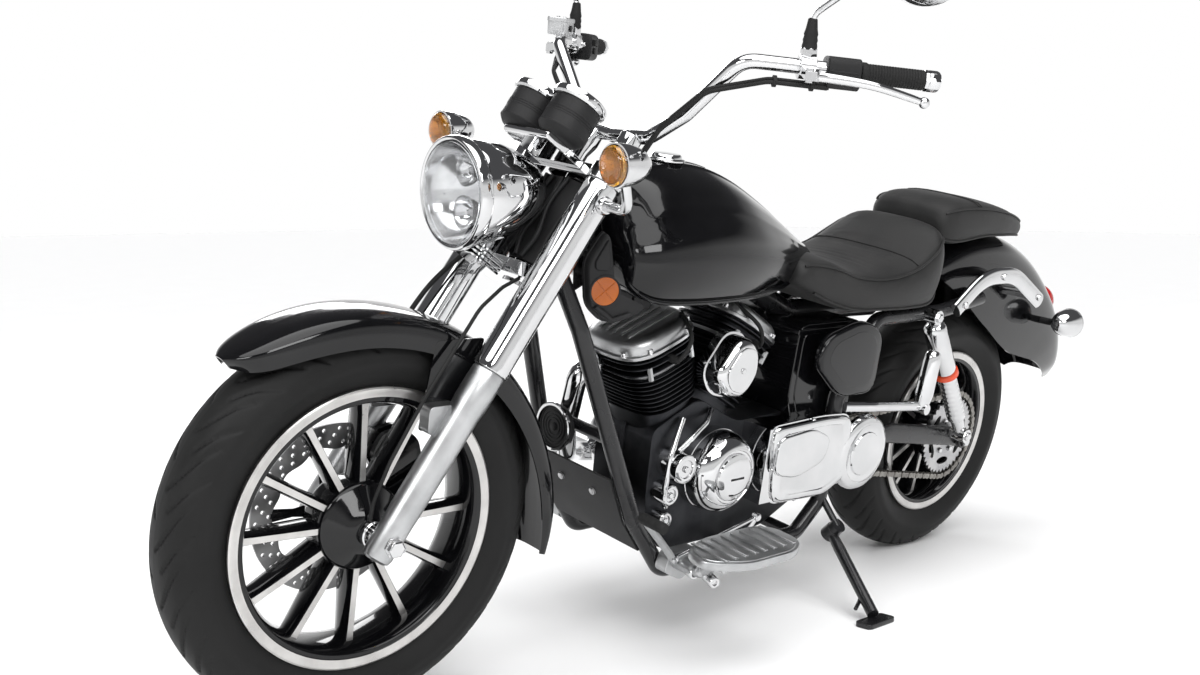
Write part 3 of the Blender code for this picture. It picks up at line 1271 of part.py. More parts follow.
CASE_HALF = 0.078
CASE_CORNER = (CRANK.x - 0.420, CRANK.z - 0.1572)
CASE_SIZE = (0.531, 0.3122)
CASE_SHARES = [(0.989, 0.375), (1.0, 0.824), (0.904, 0.904), (0.772, 1.0), (0.650, 0.894),
               (0.537, 0.805), (0.254, 0.824), (0.104, 0.792), (0.0, 0.696), (0.0, 0.375),
               (0.104, 0.151), (0.292, 0.0), (0.857, 0.0), (0.951, 0.119)]
CASE_ROUND = 0.02
DECK_FOOT = 0.04
DECK_HALF = Vector((0.068, 0.072, 0))
FILTER_PLACE = CRANK + Vector((0.060, 0, 0.035))
FILTER_RADIUS = 0.030
FILTER_OUTER_Y = 0.132
CASE_SINK = 0.010
DRIVE_RADIUS = 0.030
CHAIN_Y = 0.0885
CHAIN_HALF_WIDTH = 0.008
CHAIN_HALF_HEIGHT = 0.0075
CHAIN_FRONT = CRANK + Vector((-0.285, 0, 0.012))
CHAIN_FRONT_RADIUS = 0.038
CHAIN_REAR_RADIUS = SPROCKET_TIP + CHAIN_HALF_HEIGHT + 0.0015
CHAIN_REAR_STEPS = 16
CHAIN_FRONT_STEPS = 8

ROUND_COVER_SHARES = [(0.0, 1.0), (0.45, 1.0), (0.62, 0.94), (0.80, 0.80), (0.94, 0.52),
                      (1.0, 0.20)]
ALTERNATOR_PLACE = CRANK + Vector((-0.057, 0, 0.010))
ALTERNATOR_RADIUS = 0.084
ALTERNATOR_OUTER_Y = 0.165
CLUTCH_CORNER = (CRANK.x - 0.285, CRANK.z - 0.125)
CLUTCH_SIZE = (0.37, 0.225)
CLUTCH_SHARES = [(0.919, 0.378), (1.0, 0.689), (0.865, 1.0), (0.324, 0.933), (0.0, 0.822),
                 (0.0, 0.244), (0.324, 0.0), (0.757, 0.044)]
CLUTCH_ROUND = 0.05
CLUTCH_OUTER_Y = 0.150
CLUTCH_CHAMFER = 0.014
INTAKE_CORNER = (CRANK.x - 0.103, CRANK.z + 0.160)
INTAKE_SIZE = (0.134, 0.140)
INTAKE_SHARES = [(1.0, 0.443), (0.582, 1.0), (0.134, 0.929), (0.0, 0.429), (0.321, 0.0),
                 (0.769, 0.086)]
INTAKE_ROUND = 0.035
INTAKE_INNER_Y = CYLINDER_HALF_WIDTH - 0.0021
INTAKE_OUTER_Y = 0.150
INTAKE_CHAMFER = 0.018

SPROCKET_FACE_CORNER = (CRANK.x - 0.445, CRANK.z - 0.078)
SPROCKET_FACE_SIZE = (0.29, 0.184)
SPROCKET_FACE_SHARES = [(1.0, 0.967), (0.414, 1.0), (0.069, 0.967), (0.0, 0.207),
                        (0.276, 0.0), (0.897, 0.033)]
SPROCKET_FACE_ROUND = 0.03
SPROCKET_FACE_INNER = RAIL_Y + TUBE_RADIUS + 0.0005
SPROCKET_FACE_OUTER = 0.160
SPROCKET_FACE_CHAMFER = 0.010
SPROCKET_BLOCK_CORNER = (CRANK.x - 0.365, CRANK.z - 0.065)
SPROCKET_BLOCK_SIZE = (0.21, 0.16)
SPROCKET_BLOCK_OUTER = RAIL_Y + 0.025
CHAIN_ROOM_RADIUS = 0.054
CHAIN_ROOM_BEHIND = 0.140
CHAIN_ROOM_BELOW = 0.064
CHAIN_ROOM_ABOVE = 0.066
CHAIN_ROOM_SIDE = CHAIN_Y + 0.016
END_COVER_AHEAD = -0.006
END_COVER_RADIUS = 0.086
END_COVER_INNER = 0.1424
END_COVER_OUTER = 0.166


def cylinder_matrix(lean):
    """From a cylinder's own axes, with Z along its bore, to the motorcycle's."""
    return Matrix.Translation(CRANK) @ Matrix.Rotation(lean, 4, "Y")


def squircle(height, half_x, half_y):
    """A rounded square ring of points at a height, in a cylinder's own axes."""
    ring = []
    for step in range(ROUND):
        angle = math.tau * step / ROUND
        cosine = math.cos(angle)
        sine = math.sin(angle)
        ring.append(Vector((math.copysign(abs(cosine) ** SQUARE_POWER_SHARE, cosine) * half_x,
                            math.copysign(abs(sine) ** SQUARE_POWER_SHARE, sine) * half_y,
                            height)))
    return ring


def finned_cylinder(base, top):
    """A barrel and head that widen upwards, with cooling fins round a plain core."""
    rings = []
    pitch = (top - base) / FINS
    for index in range(FINS):
        wide = BARREL_HALF + (HEAD_HALF - BARREL_HALF) * (index + 1) / FINS
        for share, size in FIN_SHARES:
            rings.append(squircle(base + pitch * (index + share), wide * size,
                                  CYLINDER_HALF_WIDTH * size))
    rings.append(squircle(top, HEAD_HALF * FIN_CORE_SHARE, CYLINDER_HALF_WIDTH * FIN_CORE_SHARE))
    return loft(rings)


def build_cylinder(name, lean, length, carrier):
    body = finned_cylinder(CASE_TOP, length)
    finish(name, "dark_cast", moved(body, cylinder_matrix(lean)), carrier)


def build_head_cover(name, lean, base, carrier):
    half = HEAD_COVER_HALF
    rings = [squircle(base + half.z * rise, half.x * size, half.y * size)
             for rise, size in HEAD_COVER_SHARES]
    finish(name, "satin_metal", moved(loft(rings), cylinder_matrix(lean)), carrier)


def build_crankcase(carrier):
    outline = rounded_outline(outline_of(CASE_SHARES, CASE_CORNER, CASE_SIZE), CASE_ROUND, 1)
    case = plate(outline, -CASE_HALF, CASE_HALF)
    decks = []
    for lean in (FRONT_LEAN, REAR_LEAN):
        deck = loft([squircle(DECK_FOOT, DECK_HALF.x, DECK_HALF.y),
                     squircle(CASE_TOP - GAP, DECK_HALF.x, DECK_HALF.y)])
        decks.append(moved(deck, cylinder_matrix(lean)))
    filter_cap = across_rod(FILTER_PLACE, CASE_HALF - CASE_SINK, FILTER_OUTER_Y,
                            FILTER_RADIUS, ROUND)
    drive = across_rod(CHAIN_FRONT, CASE_HALF - CASE_SINK, CHAIN_Y + CHAIN_HALF_WIDTH / 2,
                       DRIVE_RADIUS, ROUND)
    finish("crankcase", "dark_cast", combine(case, decks + [filter_cap, drive]), carrier)


def round_cover(centre, radius, near, far):
    """A domed round cover from y = near out to y = far."""
    return turned(profile_of(ROUND_COVER_SHARES, far - near, radius),
                  Vector((centre.x, near, centre.z)), AXLE_LINE, FINE)


def build_sprocket_cover(carrier):
    """The long left cover: a face over the rail and a box on the case round the chain."""
    face = rounded_outline(outline_of(SPROCKET_FACE_SHARES, SPROCKET_FACE_CORNER,
                                      SPROCKET_FACE_SIZE), SPROCKET_FACE_ROUND, 2)
    body = plate(face, SPROCKET_FACE_INNER, SPROCKET_FACE_OUTER, SPROCKET_FACE_CHAMFER)
    block = plate(outline_of(CORNER_SHARES, SPROCKET_BLOCK_CORNER, SPROCKET_BLOCK_SIZE),
                  CASE_HALF + GAP, SPROCKET_BLOCK_OUTER)
    room = combine(across_rod(CHAIN_FRONT, 0, CHAIN_ROOM_SIDE, CHAIN_ROOM_RADIUS, ROUND),
                   [box((CHAIN_FRONT.x - CHAIN_ROOM_BEHIND, 0, CHAIN_FRONT.z - CHAIN_ROOM_BELOW),
                        (CHAIN_FRONT.x, CHAIN_ROOM_SIDE, CHAIN_FRONT.z + CHAIN_ROOM_ABOVE))])
    end = round_cover(Vector((PIVOT_X + END_COVER_AHEAD, 0, PIVOT_Z)), END_COVER_RADIUS,
                      END_COVER_INNER, END_COVER_OUTER)
    finish("sprocket_cover", "chrome",
           combine(combine(body, [block, end]), [room], "DIFFERENCE"), carrier)


def build_engine_covers(carrier):
    near = CASE_HALF + GAP
    finish("alternator_cover", "chrome",
           round_cover(ALTERNATOR_PLACE, ALTERNATOR_RADIUS, near, ALTERNATOR_OUTER_Y), carrier)
    outline = rounded_outline(outline_of(CLUTCH_SHARES, CLUTCH_CORNER, CLUTCH_SIZE),
                              CLUTCH_ROUND, 2)
    finish("clutch_cover", "chrome", plate(outline, -near, -CLUTCH_OUTER_Y, CLUTCH_CHAMFER),
           carrier)
    outline = rounded_outline(outline_of(INTAKE_SHARES, INTAKE_CORNER, INTAKE_SIZE),
                              INTAKE_ROUND, 2)
    finish("intake_cover", "chrome",
           plate(outline, INTAKE_INNER_Y, INTAKE_OUTER_Y, INTAKE_CHAMFER), carrier)


def belt_outline(rear, rear_radius, front, front_radius):
    """Points of a belt line round two circles in the plane of x and z."""
    run = front - rear
    slope = math.atan2(run.z, run.x)
    spread = math.acos((rear_radius - front_radius) / run.length)
    points = []
    for step in range(CHAIN_REAR_STEPS + 1):
        angle = slope + spread + (math.tau - 2 * spread) * step / CHAIN_REAR_STEPS
        points.append((rear.x + rear_radius * math.cos(angle),
                       rear.z + rear_radius * math.sin(angle)))
    for step in range(CHAIN_FRONT_STEPS + 1):
        angle = slope - spread + 2 * spread * step / CHAIN_FRONT_STEPS
        points.append((front.x + front_radius * math.cos(angle),
                       front.z + front_radius * math.sin(angle)))
    return points


def build_chain(carrier):
    loops = [belt_outline(REAR_AXLE, CHAIN_REAR_RADIUS + grow, CHAIN_FRONT,
                          CHAIN_FRONT_RADIUS + grow)
             for grow in (CHAIN_HALF_HEIGHT, -CHAIN_HALF_HEIGHT)]
    near = CHAIN_Y - CHAIN_HALF_WIDTH
    far = CHAIN_Y + CHAIN_HALF_WIDTH
    rings = [[Vector((outer[0], near, outer[1])), Vector((outer[0], far, outer[1])),
              Vector((inner[0], far, inner[1])), Vector((inner[0], near, inner[1]))]
             for outer, inner in zip(*loops)]
    finish("chain", "chain_steel", loft(rings, closed=True), carrier)


# Exhausts
PIPE_RADIUS = 0.021
PIPE_BEND = 0.07
EXHAUST_SIZE = Vector((CRANK.x, -0.225, CRANK_HEIGHT))
FRONT_PORT = CRANK + Vector((0.1794, -0.030, 0.2152))
FRONT_PORT_BEND = CRANK + Vector((0.225, -0.030, 0.1977))
REAR_PORT = CRANK + Vector((-0.2087, -0.030, 0.2061))
REAR_PORT_BEND = CRANK + Vector((-0.253, -0.030, 0.1827))
FRONT_PIPE_SHARES = [(1.216, 0.320, 1.235), (1.148, 0.569, 0.985), (1.059, 0.844, 0.897),
                     (0.757, 0.942, 0.765), (0.324, 1.0, 0.721)]
REAR_PIPE_SHARES = [(0.692, 0.756, 1.294), (0.562, 0.956, 1.094), (0.216, 1.022, 1.035)]
FRONT_MUFFLER_SHARES = [(0.454, 0.987, 0.729), (-0.357, 1.031, 0.809)]
REAR_MUFFLER_SHARES = [(0.357, 1.004, 1.059), (-0.324, 1.04, 1.112)]
MUFFLER_RADIUS = 0.045
MUFFLER_SHARES = [(0.0, 0.533), (0.04, 0.80), (0.12, 0.956), (0.97, 1.0), (1.0, 0.889),
                  (1.0, 0.667), (0.93, 0.622)]


def build_exhaust(name, port, pipe_shares, muffler_shares, carrier):
    pipe = tube(list(port) + line_of(pipe_shares, EXHAUST_SIZE), PIPE_RADIUS, PIPE_BEND, 2, SLIM)
    start, end = line_of(muffler_shares, EXHAUST_SIZE)
    muffler = turned(profile_of(MUFFLER_SHARES, (end - start).length, MUFFLER_RADIUS),
                     start, end - start, ROUND)
    finish(name, "chrome", combine(pipe, [muffler]), carrier)


def build_exhausts(carrier):
    build_exhaust("front_exhaust", (FRONT_PORT, FRONT_PORT_BEND), FRONT_PIPE_SHARES,
                  FRONT_MUFFLER_SHARES, carrier)
    build_exhaust("rear_exhaust", (REAR_PORT, REAR_PORT_BEND), REAR_PIPE_SHARES,
                  REAR_MUFFLER_SHARES, carrier)


# Tank and seats
TANK_FRONT = CRANK.x * 1.2929
TANK_LENGTH = 0.606
TANK_BASE = RAIL_TOP + 0.064
TANK_HEIGHT = 0.244
TANK_HALF_WIDTH = 0.168
TANK_SIZE = (TANK_FRONT, TANK_LENGTH, TANK_BASE, TANK_HEIGHT, TANK_HALF_WIDTH)
TANK_SHARES = [  # back from the front, top, bottom, half width
    (0.0, 0.590, 0.283, 0.595), (0.010, 0.689, 0.148, 0.750), (0.046, 0.820, 0.066, 0.869),
    (0.109, 0.926, 0.020, 0.952), (0.241, 1.0, 0.004, 1.0), (0.389, 0.984, 0.0, 0.976),
    (0.538, 0.885, 0.0, 0.893), (0.686, 0.730, 0.016, 0.750), (0.818, 0.566, 0.066, 0.583),
    (0.934, 0.410, 0.131, 0.393), (1.0, 0.336, 0.189, 0.238)]
TANK_TAIL_SHARES = (1.05, 0.287, 0.221, 0.119)
TANK_SECTION_SHARES = [(0.00, 1.00), (0.16, 0.990), (0.40, 0.90), (0.68, 0.72), (0.90, 0.56),
                       (1.00, 0.42), (0.985, 0.24), (0.90, 0.06), (0.74, 0.0), (0.22, 0.02)]
TUNNEL_HALF = BACKBONE_RADIUS + 0.0010
TUNNEL_CROWN_SHARE = 0.97
TUNNEL_FLAT_SHARE = 0.75
TUNNEL_DEPTH = 0.15
TUNNEL_SHARES = [(0.5405, 0.0, 0.925), (0.865, 0.0, 1.138), (1.2757, 0.0, 1.2437),
                 (1.4054, 0.0, 1.2477)]

SEAT_SECTION_SHARES = [(0.00, 1.00), (0.45, 0.99), (0.78, 0.93), (0.95, 0.76), (1.00, 0.50),
                       (0.97, 0.22), (0.88, 0.04), (0.78, 0.0)]
SEAT_FRONT = CRANK.x * 0.7806
SEAT_SIZE = (SEAT_FRONT, 0.506, RAIL_TOP + 0.0154, 0.1805, 0.166)
SEAT_SHARES = [
    (0.0, 0.524, 0.366, 0.663), (0.012, 0.590, 0.349, 0.735), (0.063, 0.668, 0.288, 0.795),
    (0.202, 0.657, 0.119, 0.855), (0.360, 0.535, 0.022, 0.916), (0.538, 0.512, 0.011, 0.976),
    (0.715, 0.623, 0.0, 1.0), (0.854, 0.845, 0.0, 0.976), (0.933, 1.0, 0.069, 0.892),
    (0.980, 1.0, 0.208, 0.759), (1.0, 0.900, 0.457, 0.602)]
SEAT_TO_TANK = 0.002
PILLION_FRONT = CRANK.x * 0.2226
PILLION_SIZE = (PILLION_FRONT, 0.392, RAIL_TOP + 0.1475, 0.102, 0.118)
PILLION_SHARES = [
    (0.0, 0.647, 0.157, 0.746), (0.041, 0.863, 0.059, 0.898), (0.168, 1.0, 0.0, 0.983),
    (0.423, 0.980, 0.118, 1.0), (0.704, 0.824, 0.126, 0.932), (0.908, 0.588, 0.098, 0.780),
    (1.0, 0.412, 0.059, 0.559)]


def bodied_ring(x, top, bottom, half_width, shares):
    """A ring across the motorcycle whose left half follows the shares, mirrored right."""
    left = [Vector((x, half_width * out, bottom + (top - bottom) * rise))
            for out, rise in shares]
    right = [Vector((point.x, -point.y, point.z)) for point in left[::-1] if point.y > 0]
    return left + right


def bodied_form(stations, size, section, grow=0.0):
    """A form lofted from front to back, made larger all round by the amount given."""
    front, length, base, height, half_width = size
    return loft([bodied_ring(front - length * back, base + height * top + grow,
                             base + height * bottom - grow, half_width * wide + grow, section)
                 for back, top, bottom, wide in stations])


def build_fuel_tank(carrier):
    flat = TUNNEL_HALF * TUNNEL_FLAT_SHARE
    crown = TUNNEL_HALF * TUNNEL_CROWN_SHARE
    trench = loft([[middle + Vector((0, y, rise)) for y, rise in
                    ((-TUNNEL_HALF, -TUNNEL_DEPTH), (TUNNEL_HALF, -TUNNEL_DEPTH),
                     (TUNNEL_HALF, 0), (flat, crown), (-flat, crown), (-TUNNEL_HALF, 0))]
                   for middle in line_of(TUNNEL_SHARES, FRAME_SIZE)])
    body = bodied_form(TANK_SHARES, TANK_SIZE, TANK_SECTION_SHARES)
    finish("fuel_tank", "gloss_black", combine(body, [trench], "DIFFERENCE"), carrier)


def build_seats(carrier):
    rider = bodied_form(SEAT_SHARES, SEAT_SIZE, SEAT_SECTION_SHARES)
    tank = bodied_form(TANK_SHARES + [TANK_TAIL_SHARES], TANK_SIZE, TANK_SECTION_SHARES,
                       SEAT_TO_TANK)
    finish("rider_seat", "leather", combine(rider, [tank], "DIFFERENCE"), carrier)
    finish("pillion_seat", "leather",
           bodied_form(PILLION_SHARES, PILLION_SIZE, SEAT_SECTION_SHARES), carrier)


# Rear fender, its struts and lamps
STRUT_Y = 0.1505
STRUT_SIZE = Vector((0.200, STRUT_Y, 0.074))
STRUT_BASE = REAR_AXLE + Vector((0, 0, 0.338))
STRUT_SHARES = [(0.84, 1.0, 0.0), (0.35, 1.0, 1.0), (-0.31, 1.0, 1.0), (-1.0, 1.0, 0.054)]
STRUT_RADIUS = 0.020
STRUT_FLAT_SHARE = 0.55
STRUT_BEND = 0.06
STRUT_BOSS = Vector((-0.178, 0, REAR_TYRE_RADIUS + 0.354))
STRUT_BOSS_INNER = 0.1026
STRUT_BOSS_OUTER = 0.153
STRUT_BOSS_RADIUS = 0.011
REAR_SIGNAL_CENTRE = Vector((-0.323, 0.172, REAR_TYRE_RADIUS + 0.282))
REAR_SIGNAL_ROOT = Vector((-0.330, 0.1011, REAR_TYRE_RADIUS + 0.272))
REAR_STALK_RADIUS = 0.009
TAIL_LAMP_DEGREES = 148.5
TAIL_LAMP_START = REAR_TYRE_RADIUS + 0.2371
TAIL_LAMP_DEPTH = 0.047
TAIL_LAMP_RADIUS = 0.045
TAIL_LAMP_END_SHARE = 0.8


def fender_place(degrees, radius):
    """A point over the rear fender, by its angle round the rear axle and its radius."""
    direction = math.radians(degrees)
    return REAR_AXLE + Vector((math.cos(direction), 0, math.sin(direction))) * radius


def build_strut(name, side, carrier):
    corners = [STRUT_BASE + step for step in line_of(STRUT_SHARES, STRUT_SIZE, side)]
    line = bent_line(corners, STRUT_BEND, 2)
    strut = swept(line, STRUT_RADIUS, SMALL, STRUT_FLAT_SHARE, UPWARDS)
    boss = across_rod(STRUT_BOSS, side * STRUT_BOSS_INNER, side * STRUT_BOSS_OUTER,
                      STRUT_BOSS_RADIUS, SLIM)
    finish(name, "chrome", combine(strut, [boss]), carrier)


def build_rear_signal(name, side, carrier):
    stalk = rod(REAR_SIGNAL_ROOT, REAR_SIGNAL_CENTRE, REAR_STALK_RADIUS, SMALL)
    whole = combine(signal_body(REAR_SIGNAL_CENTRE, -FORWARDS), [stalk])
    finish(name, "chrome", mirrored(whole, side), carrier)


def build_rear_bodywork(carrier):
    shell = fender(REAR_AXLE, REAR_FENDER_DEGREES, REAR_FENDER_SHARES, REAR_TYRE_RADIUS,
                   REAR_FENDER_HALF)
    finish("rear_fender", "gloss_black", shell, carrier)
    lamp = rod(fender_place(TAIL_LAMP_DEGREES, TAIL_LAMP_START),
               fender_place(TAIL_LAMP_DEGREES, TAIL_LAMP_START + TAIL_LAMP_DEPTH),
               TAIL_LAMP_RADIUS, ROUND, TAIL_LAMP_RADIUS * TAIL_LAMP_END_SHARE)
    finish("tail_lamp", "red_glass", lamp, carrier)


# Side panels, neck covers, chin panel and horn
SIDE_PANEL_CORNER = (UPRIGHT_X - 0.090, RAIL_TOP - 0.162)
SIDE_PANEL_SIZE = (0.220, 0.170)
SIDE_PANEL_SHARES = [(1.0, 0.471), (0.909, 0.824), (0.364, 1.0), (0.0, 0.824), (0.0, 0.0),
                     (0.545, 0.0)]
SIDE_PANEL_ROUND = 0.04
SIDE_PANEL_INNER = RAIL_Y + TUBE_RADIUS - 0.0002
SIDE_PANEL_OUTER = 0.158
SIDE_PANEL_CHAMFER = 0.008

NECK_COVER_INNER = 0.0905
NECK_COVER_OUTER = 0.108
NECK_COVER_CORNER = (HEAD_JOINT.x - 0.1491, HEAD_JOINT.z - 0.1267)
NECK_COVER_SIZE = (0.112, 0.174)
NECK_COVER_SHARES = [(0.732, 1.0), (1.0, 0.644), (0.893, 0.184), (0.580, 0.0), (0.089, 0.126),
                     (0.0, 0.213), (0.518, 0.356)]
NECK_COVER_ROUND = 0.018
NECK_COVER_CHAMFER = 0.006
NECK_COVER_HINGE_X = HEAD_JOINT.x - 0.1091
NECK_COVER_SLANT_SHARE = 0.44
NECK_POST = HEAD_JOINT + Vector((-0.0751, 0, 0.0033))
NECK_POST_END = HEAD_JOINT + Vector((-0.0751, 0.083, -0.0047))
NECK_POST_RADIUS = 0.008

CHIN_SIZE = Vector((CRANK.x, 0.118, RAIL_TOP))
CHIN_SHARES = [(1.2533, 0.881, 0.5794), (1.2134, 0.966, 0.4455), (1.1582, 1.0, 0.3427)]
CHIN_THICKNESS = Vector((0.004, 0, -0.0015))
HORN_TUBE = line_of(CROSS_TUBE_SHARES, FRAME_SIZE)[-1]
HORN_PLACE = Vector((HORN_TUBE.x + CROSS_TUBE_RADIUS + GAP, 0, HORN_TUBE.z))
HORN_DEPTH = 0.043
HORN_RADIUS = 0.046
HORN_SHARES = [(0.0, 0.304), (0.372, 0.304), (0.395, 0.783), (0.791, 1.0), (0.930, 1.0),
               (1.0, 0.87)]


def build_side_panels(carrier):
    outline = rounded_outline(outline_of(SIDE_PANEL_SHARES, SIDE_PANEL_CORNER, SIDE_PANEL_SIZE),
                              SIDE_PANEL_ROUND, 2)
    for side, hand in SIDES:
        finish("side_panel_" + hand, "gloss_black",
               plate(outline, side * SIDE_PANEL_INNER, side * SIDE_PANEL_OUTER,
                     SIDE_PANEL_CHAMFER), carrier)


def build_neck_covers(carrier):
    outline = rounded_outline(outline_of(NECK_COVER_SHARES, NECK_COVER_CORNER, NECK_COVER_SIZE),
                              NECK_COVER_ROUND, 1)
    for side, hand in SIDES:
        slant = Matrix.Identity(4)
        slant[1][0] = -side * NECK_COVER_SLANT_SHARE
        slant[1][3] = side * NECK_COVER_SLANT_SHARE * NECK_COVER_HINGE_X
        panel = moved(plate(outline, side * NECK_COVER_INNER, side * NECK_COVER_OUTER,
                            NECK_COVER_CHAMFER), slant)
        post = rod(NECK_POST + AXLE_LINE * (side * (BACKBONE_RADIUS + GAP * 2)),
                   on_side(side, *NECK_POST_END), NECK_POST_RADIUS, SMALL)
        finish("neck_cover_" + hand, "matte_black", combine(panel, [post]), carrier)


def build_front_fittings(carrier):
    rings = []
    for middle in line_of(CHIN_SHARES, CHIN_SIZE):
        other = Vector((middle.x, -middle.y, middle.z))
        rings.append([other, middle, middle + CHIN_THICKNESS, other + CHIN_THICKNESS])
    finish("chin_panel", "matte_black", loft(rings), carrier)
    finish("horn", "matte_black", turned(profile_of(HORN_SHARES, HORN_DEPTH, HORN_RADIUS),
                                         HORN_PLACE, FORWARDS, ROUND), carrier)


# Footboards with their pedals, and pillion pegs
BOARD_CORNER = (CRANK.x - 0.075, RAIL_Y + 0.105)
BOARD_SIZE = (0.315, 0.135)
BOARD_SHARES = [(0.095, 0.037), (0.667, 0.0), (0.984, 0.296), (1.0, 0.741), (0.667, 1.0),
                (0.159, 1.0), (0.0, 0.741), (0.0, 0.222)]
BOARD_ROUND = 0.03
BOARD_BASE = 0.268
BOARD_THICKNESS = 0.018
BOARD_BRACKET_CORNER = (CRANK.x + 0.030, RAIL_Z - 0.007)
BOARD_BRACKET_SIZE = (0.095, 0.060)
BOARD_BRACKET_SHARES = [(0.895, 1.0), (0.053, 1.0), (0.0, 0.417), (0.474, 0.0), (1.0, 0.417)]
BOARD_BRACKET_ROUND = 0.012
BOARD_BRACKET_OUTER = 0.170
BOARD_ARM_RADIUS = 0.014
BOARD_ARM_X = CRANK.x + 0.075
BOARD_ARM_PLACES = [Vector((BOARD_ARM_X, 0.150, RAIL_Z + 0.036)),
                    Vector((BOARD_ARM_X, 0.235, RAIL_Z + 0.050)),
                    Vector((BOARD_ARM_X, 0.285, BOARD_BASE + 0.006))]
PEDAL_PLACES = [Vector((CRANK.x + 0.100, 0.164, RAIL_Z + 0.036)),
                Vector((CRANK.x + 0.130, 0.184, RAIL_Z + 0.060)),
                Vector((CRANK.x + 0.235, 0.200, BOARD_BASE + 0.062))]
PEDAL_ARM_RADIUS = 0.0075
PEDAL_BEND = 0.03
PEDAL_PEG_LENGTH = 0.055
PEDAL_PEG_RADIUS = 0.0105

PEG_PLACE = Vector((0.292, 0.184, 0.436))
PEG_LENGTH = 0.137
PEG_RADIUS = 0.021
PEG_LINE = Vector((-0.012, 0, 0.136)).normalized()
PEG_SHARES = [(0.0, 0.667), (0.25, 1.0), (0.91, 0.905), (1.0, 0.476)]
PEG_ARM_RADIUS = 0.011
PEG_ARM_PLACES = [Vector((UPRIGHT_X, RAIL_Y + 0.0244, 0.457)),
                  Vector((UPRIGHT_X - 0.070, 0.176, 0.458)),
                  PEG_PLACE + UPWARDS * 0.008]


def build_footboard(name, side, carrier):
    """A board on its arm and bracket, with a foot pedal ahead of it on the bracket."""
    outline = rounded_outline(outline_of(BOARD_SHARES, BOARD_CORNER, BOARD_SIZE),
                              BOARD_ROUND, 2)
    board = loft([[Vector((x, y, height)) for x, y in outline]
                  for height in (BOARD_BASE, BOARD_BASE + BOARD_THICKNESS)])
    outline = rounded_outline(outline_of(BOARD_BRACKET_SHARES, BOARD_BRACKET_CORNER,
                                         BOARD_BRACKET_SIZE), BOARD_BRACKET_ROUND, 1)
    bracket = plate(outline, RAIL_Y + TUBE_RADIUS + GAP, BOARD_BRACKET_OUTER)
    arm = swept(BOARD_ARM_PLACES, BOARD_ARM_RADIUS, SLIM)
    pedal = swept(bent_line(PEDAL_PLACES, PEDAL_BEND, 1), PEDAL_ARM_RADIUS, SMALL)
    toe = PEDAL_PLACES[-1]
    peg = rod(toe - AXLE_LINE * PEDAL_ARM_RADIUS, toe + AXLE_LINE * PEDAL_PEG_LENGTH,
              PEDAL_PEG_RADIUS, SLIM)
    whole = combine(board, [bracket, arm, pedal, peg])
    finish(name, "satin_metal", mirrored(whole, side), carrier)


def build_pillion_peg(name, side, carrier):
    peg = turned(profile_of(PEG_SHARES, PEG_LENGTH, PEG_RADIUS), PEG_PLACE, PEG_LINE, SLIM)
    arm = swept(PEG_ARM_PLACES, PEG_ARM_RADIUS, SMALL)
    finish(name, "chrome", mirrored(combine(peg, [arm]), side), carrier)


# The whole motorcycle
def clear_scene():
    """Remove what the scene holds before the motorcycle is built."""
    for thing in list(bpy.data.objects):
        bpy.data.objects.remove(thing, do_unlink=True)


def build_steering_group(steering):
    build_front_wheel(steering)
    build_fork_legs(steering)
    build_yokes(steering)
    build_front_fender(steering)
    build_handlebar(steering)
    for side, hand in SIDES:
        build_grip("grip_" + hand, side, steering)
        build_controls("controls_" + hand, side, side < 0, steering)
        build_front_signal("front_signal_" + hand, side, steering)
    build_headlamp(steering)
    build_gauges(steering)
    build_brake_caliper(steering)
    build_speedometer_cable(steering)


def build_chassis_group(root):
    build_rear_wheel(root)
    build_frame(root)
    build_swingarm(root)
    for side, hand in SIDES:
        build_shock("shock_" + hand, side, root)
        build_footboard("footboard_" + hand, side, root)
        build_pillion_peg("pillion_peg_" + hand, side, root)
        build_strut("fender_strut_" + hand, side, root)
        build_rear_signal("rear_signal_" + hand, side, root)
    build_crankcase(root)
    for name, lean, length in (("front", FRONT_LEAN, FRONT_LENGTH),
                               ("rear", REAR_LEAN, REAR_LENGTH)):
        build_cylinder(name + "_cylinder", lean, length, root)
        build_head_cover(name + "_head_cover", lean, length, root)
    build_sprocket_cover(root)
    build_engine_covers(root)
    build_exhausts(root)
    build_fuel_tank(root)
    build_seats(root)
    build_rear_bodywork(root)
    build_side_panels(root)
    build_neck_covers(root)
    build_front_fittings(root)
    build_chain(root)
    build_side_stand(root)


def main():
    clear_scene()
    root = Carrier("motorcycle", ROOT_PLACE)
    root.empty.rotation_euler = (-LEAN, PITCH, 0)
    steering = Carrier("steering_axis", HEAD_PIVOT, root)
    build_steering_group(steering)
    build_chassis_group(root)
    steering.turn(UP_FORK, STEER_AT_REST)


main()
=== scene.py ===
import math

import bmesh
import bpy
from mathutils import Matrix, Vector, kdtree


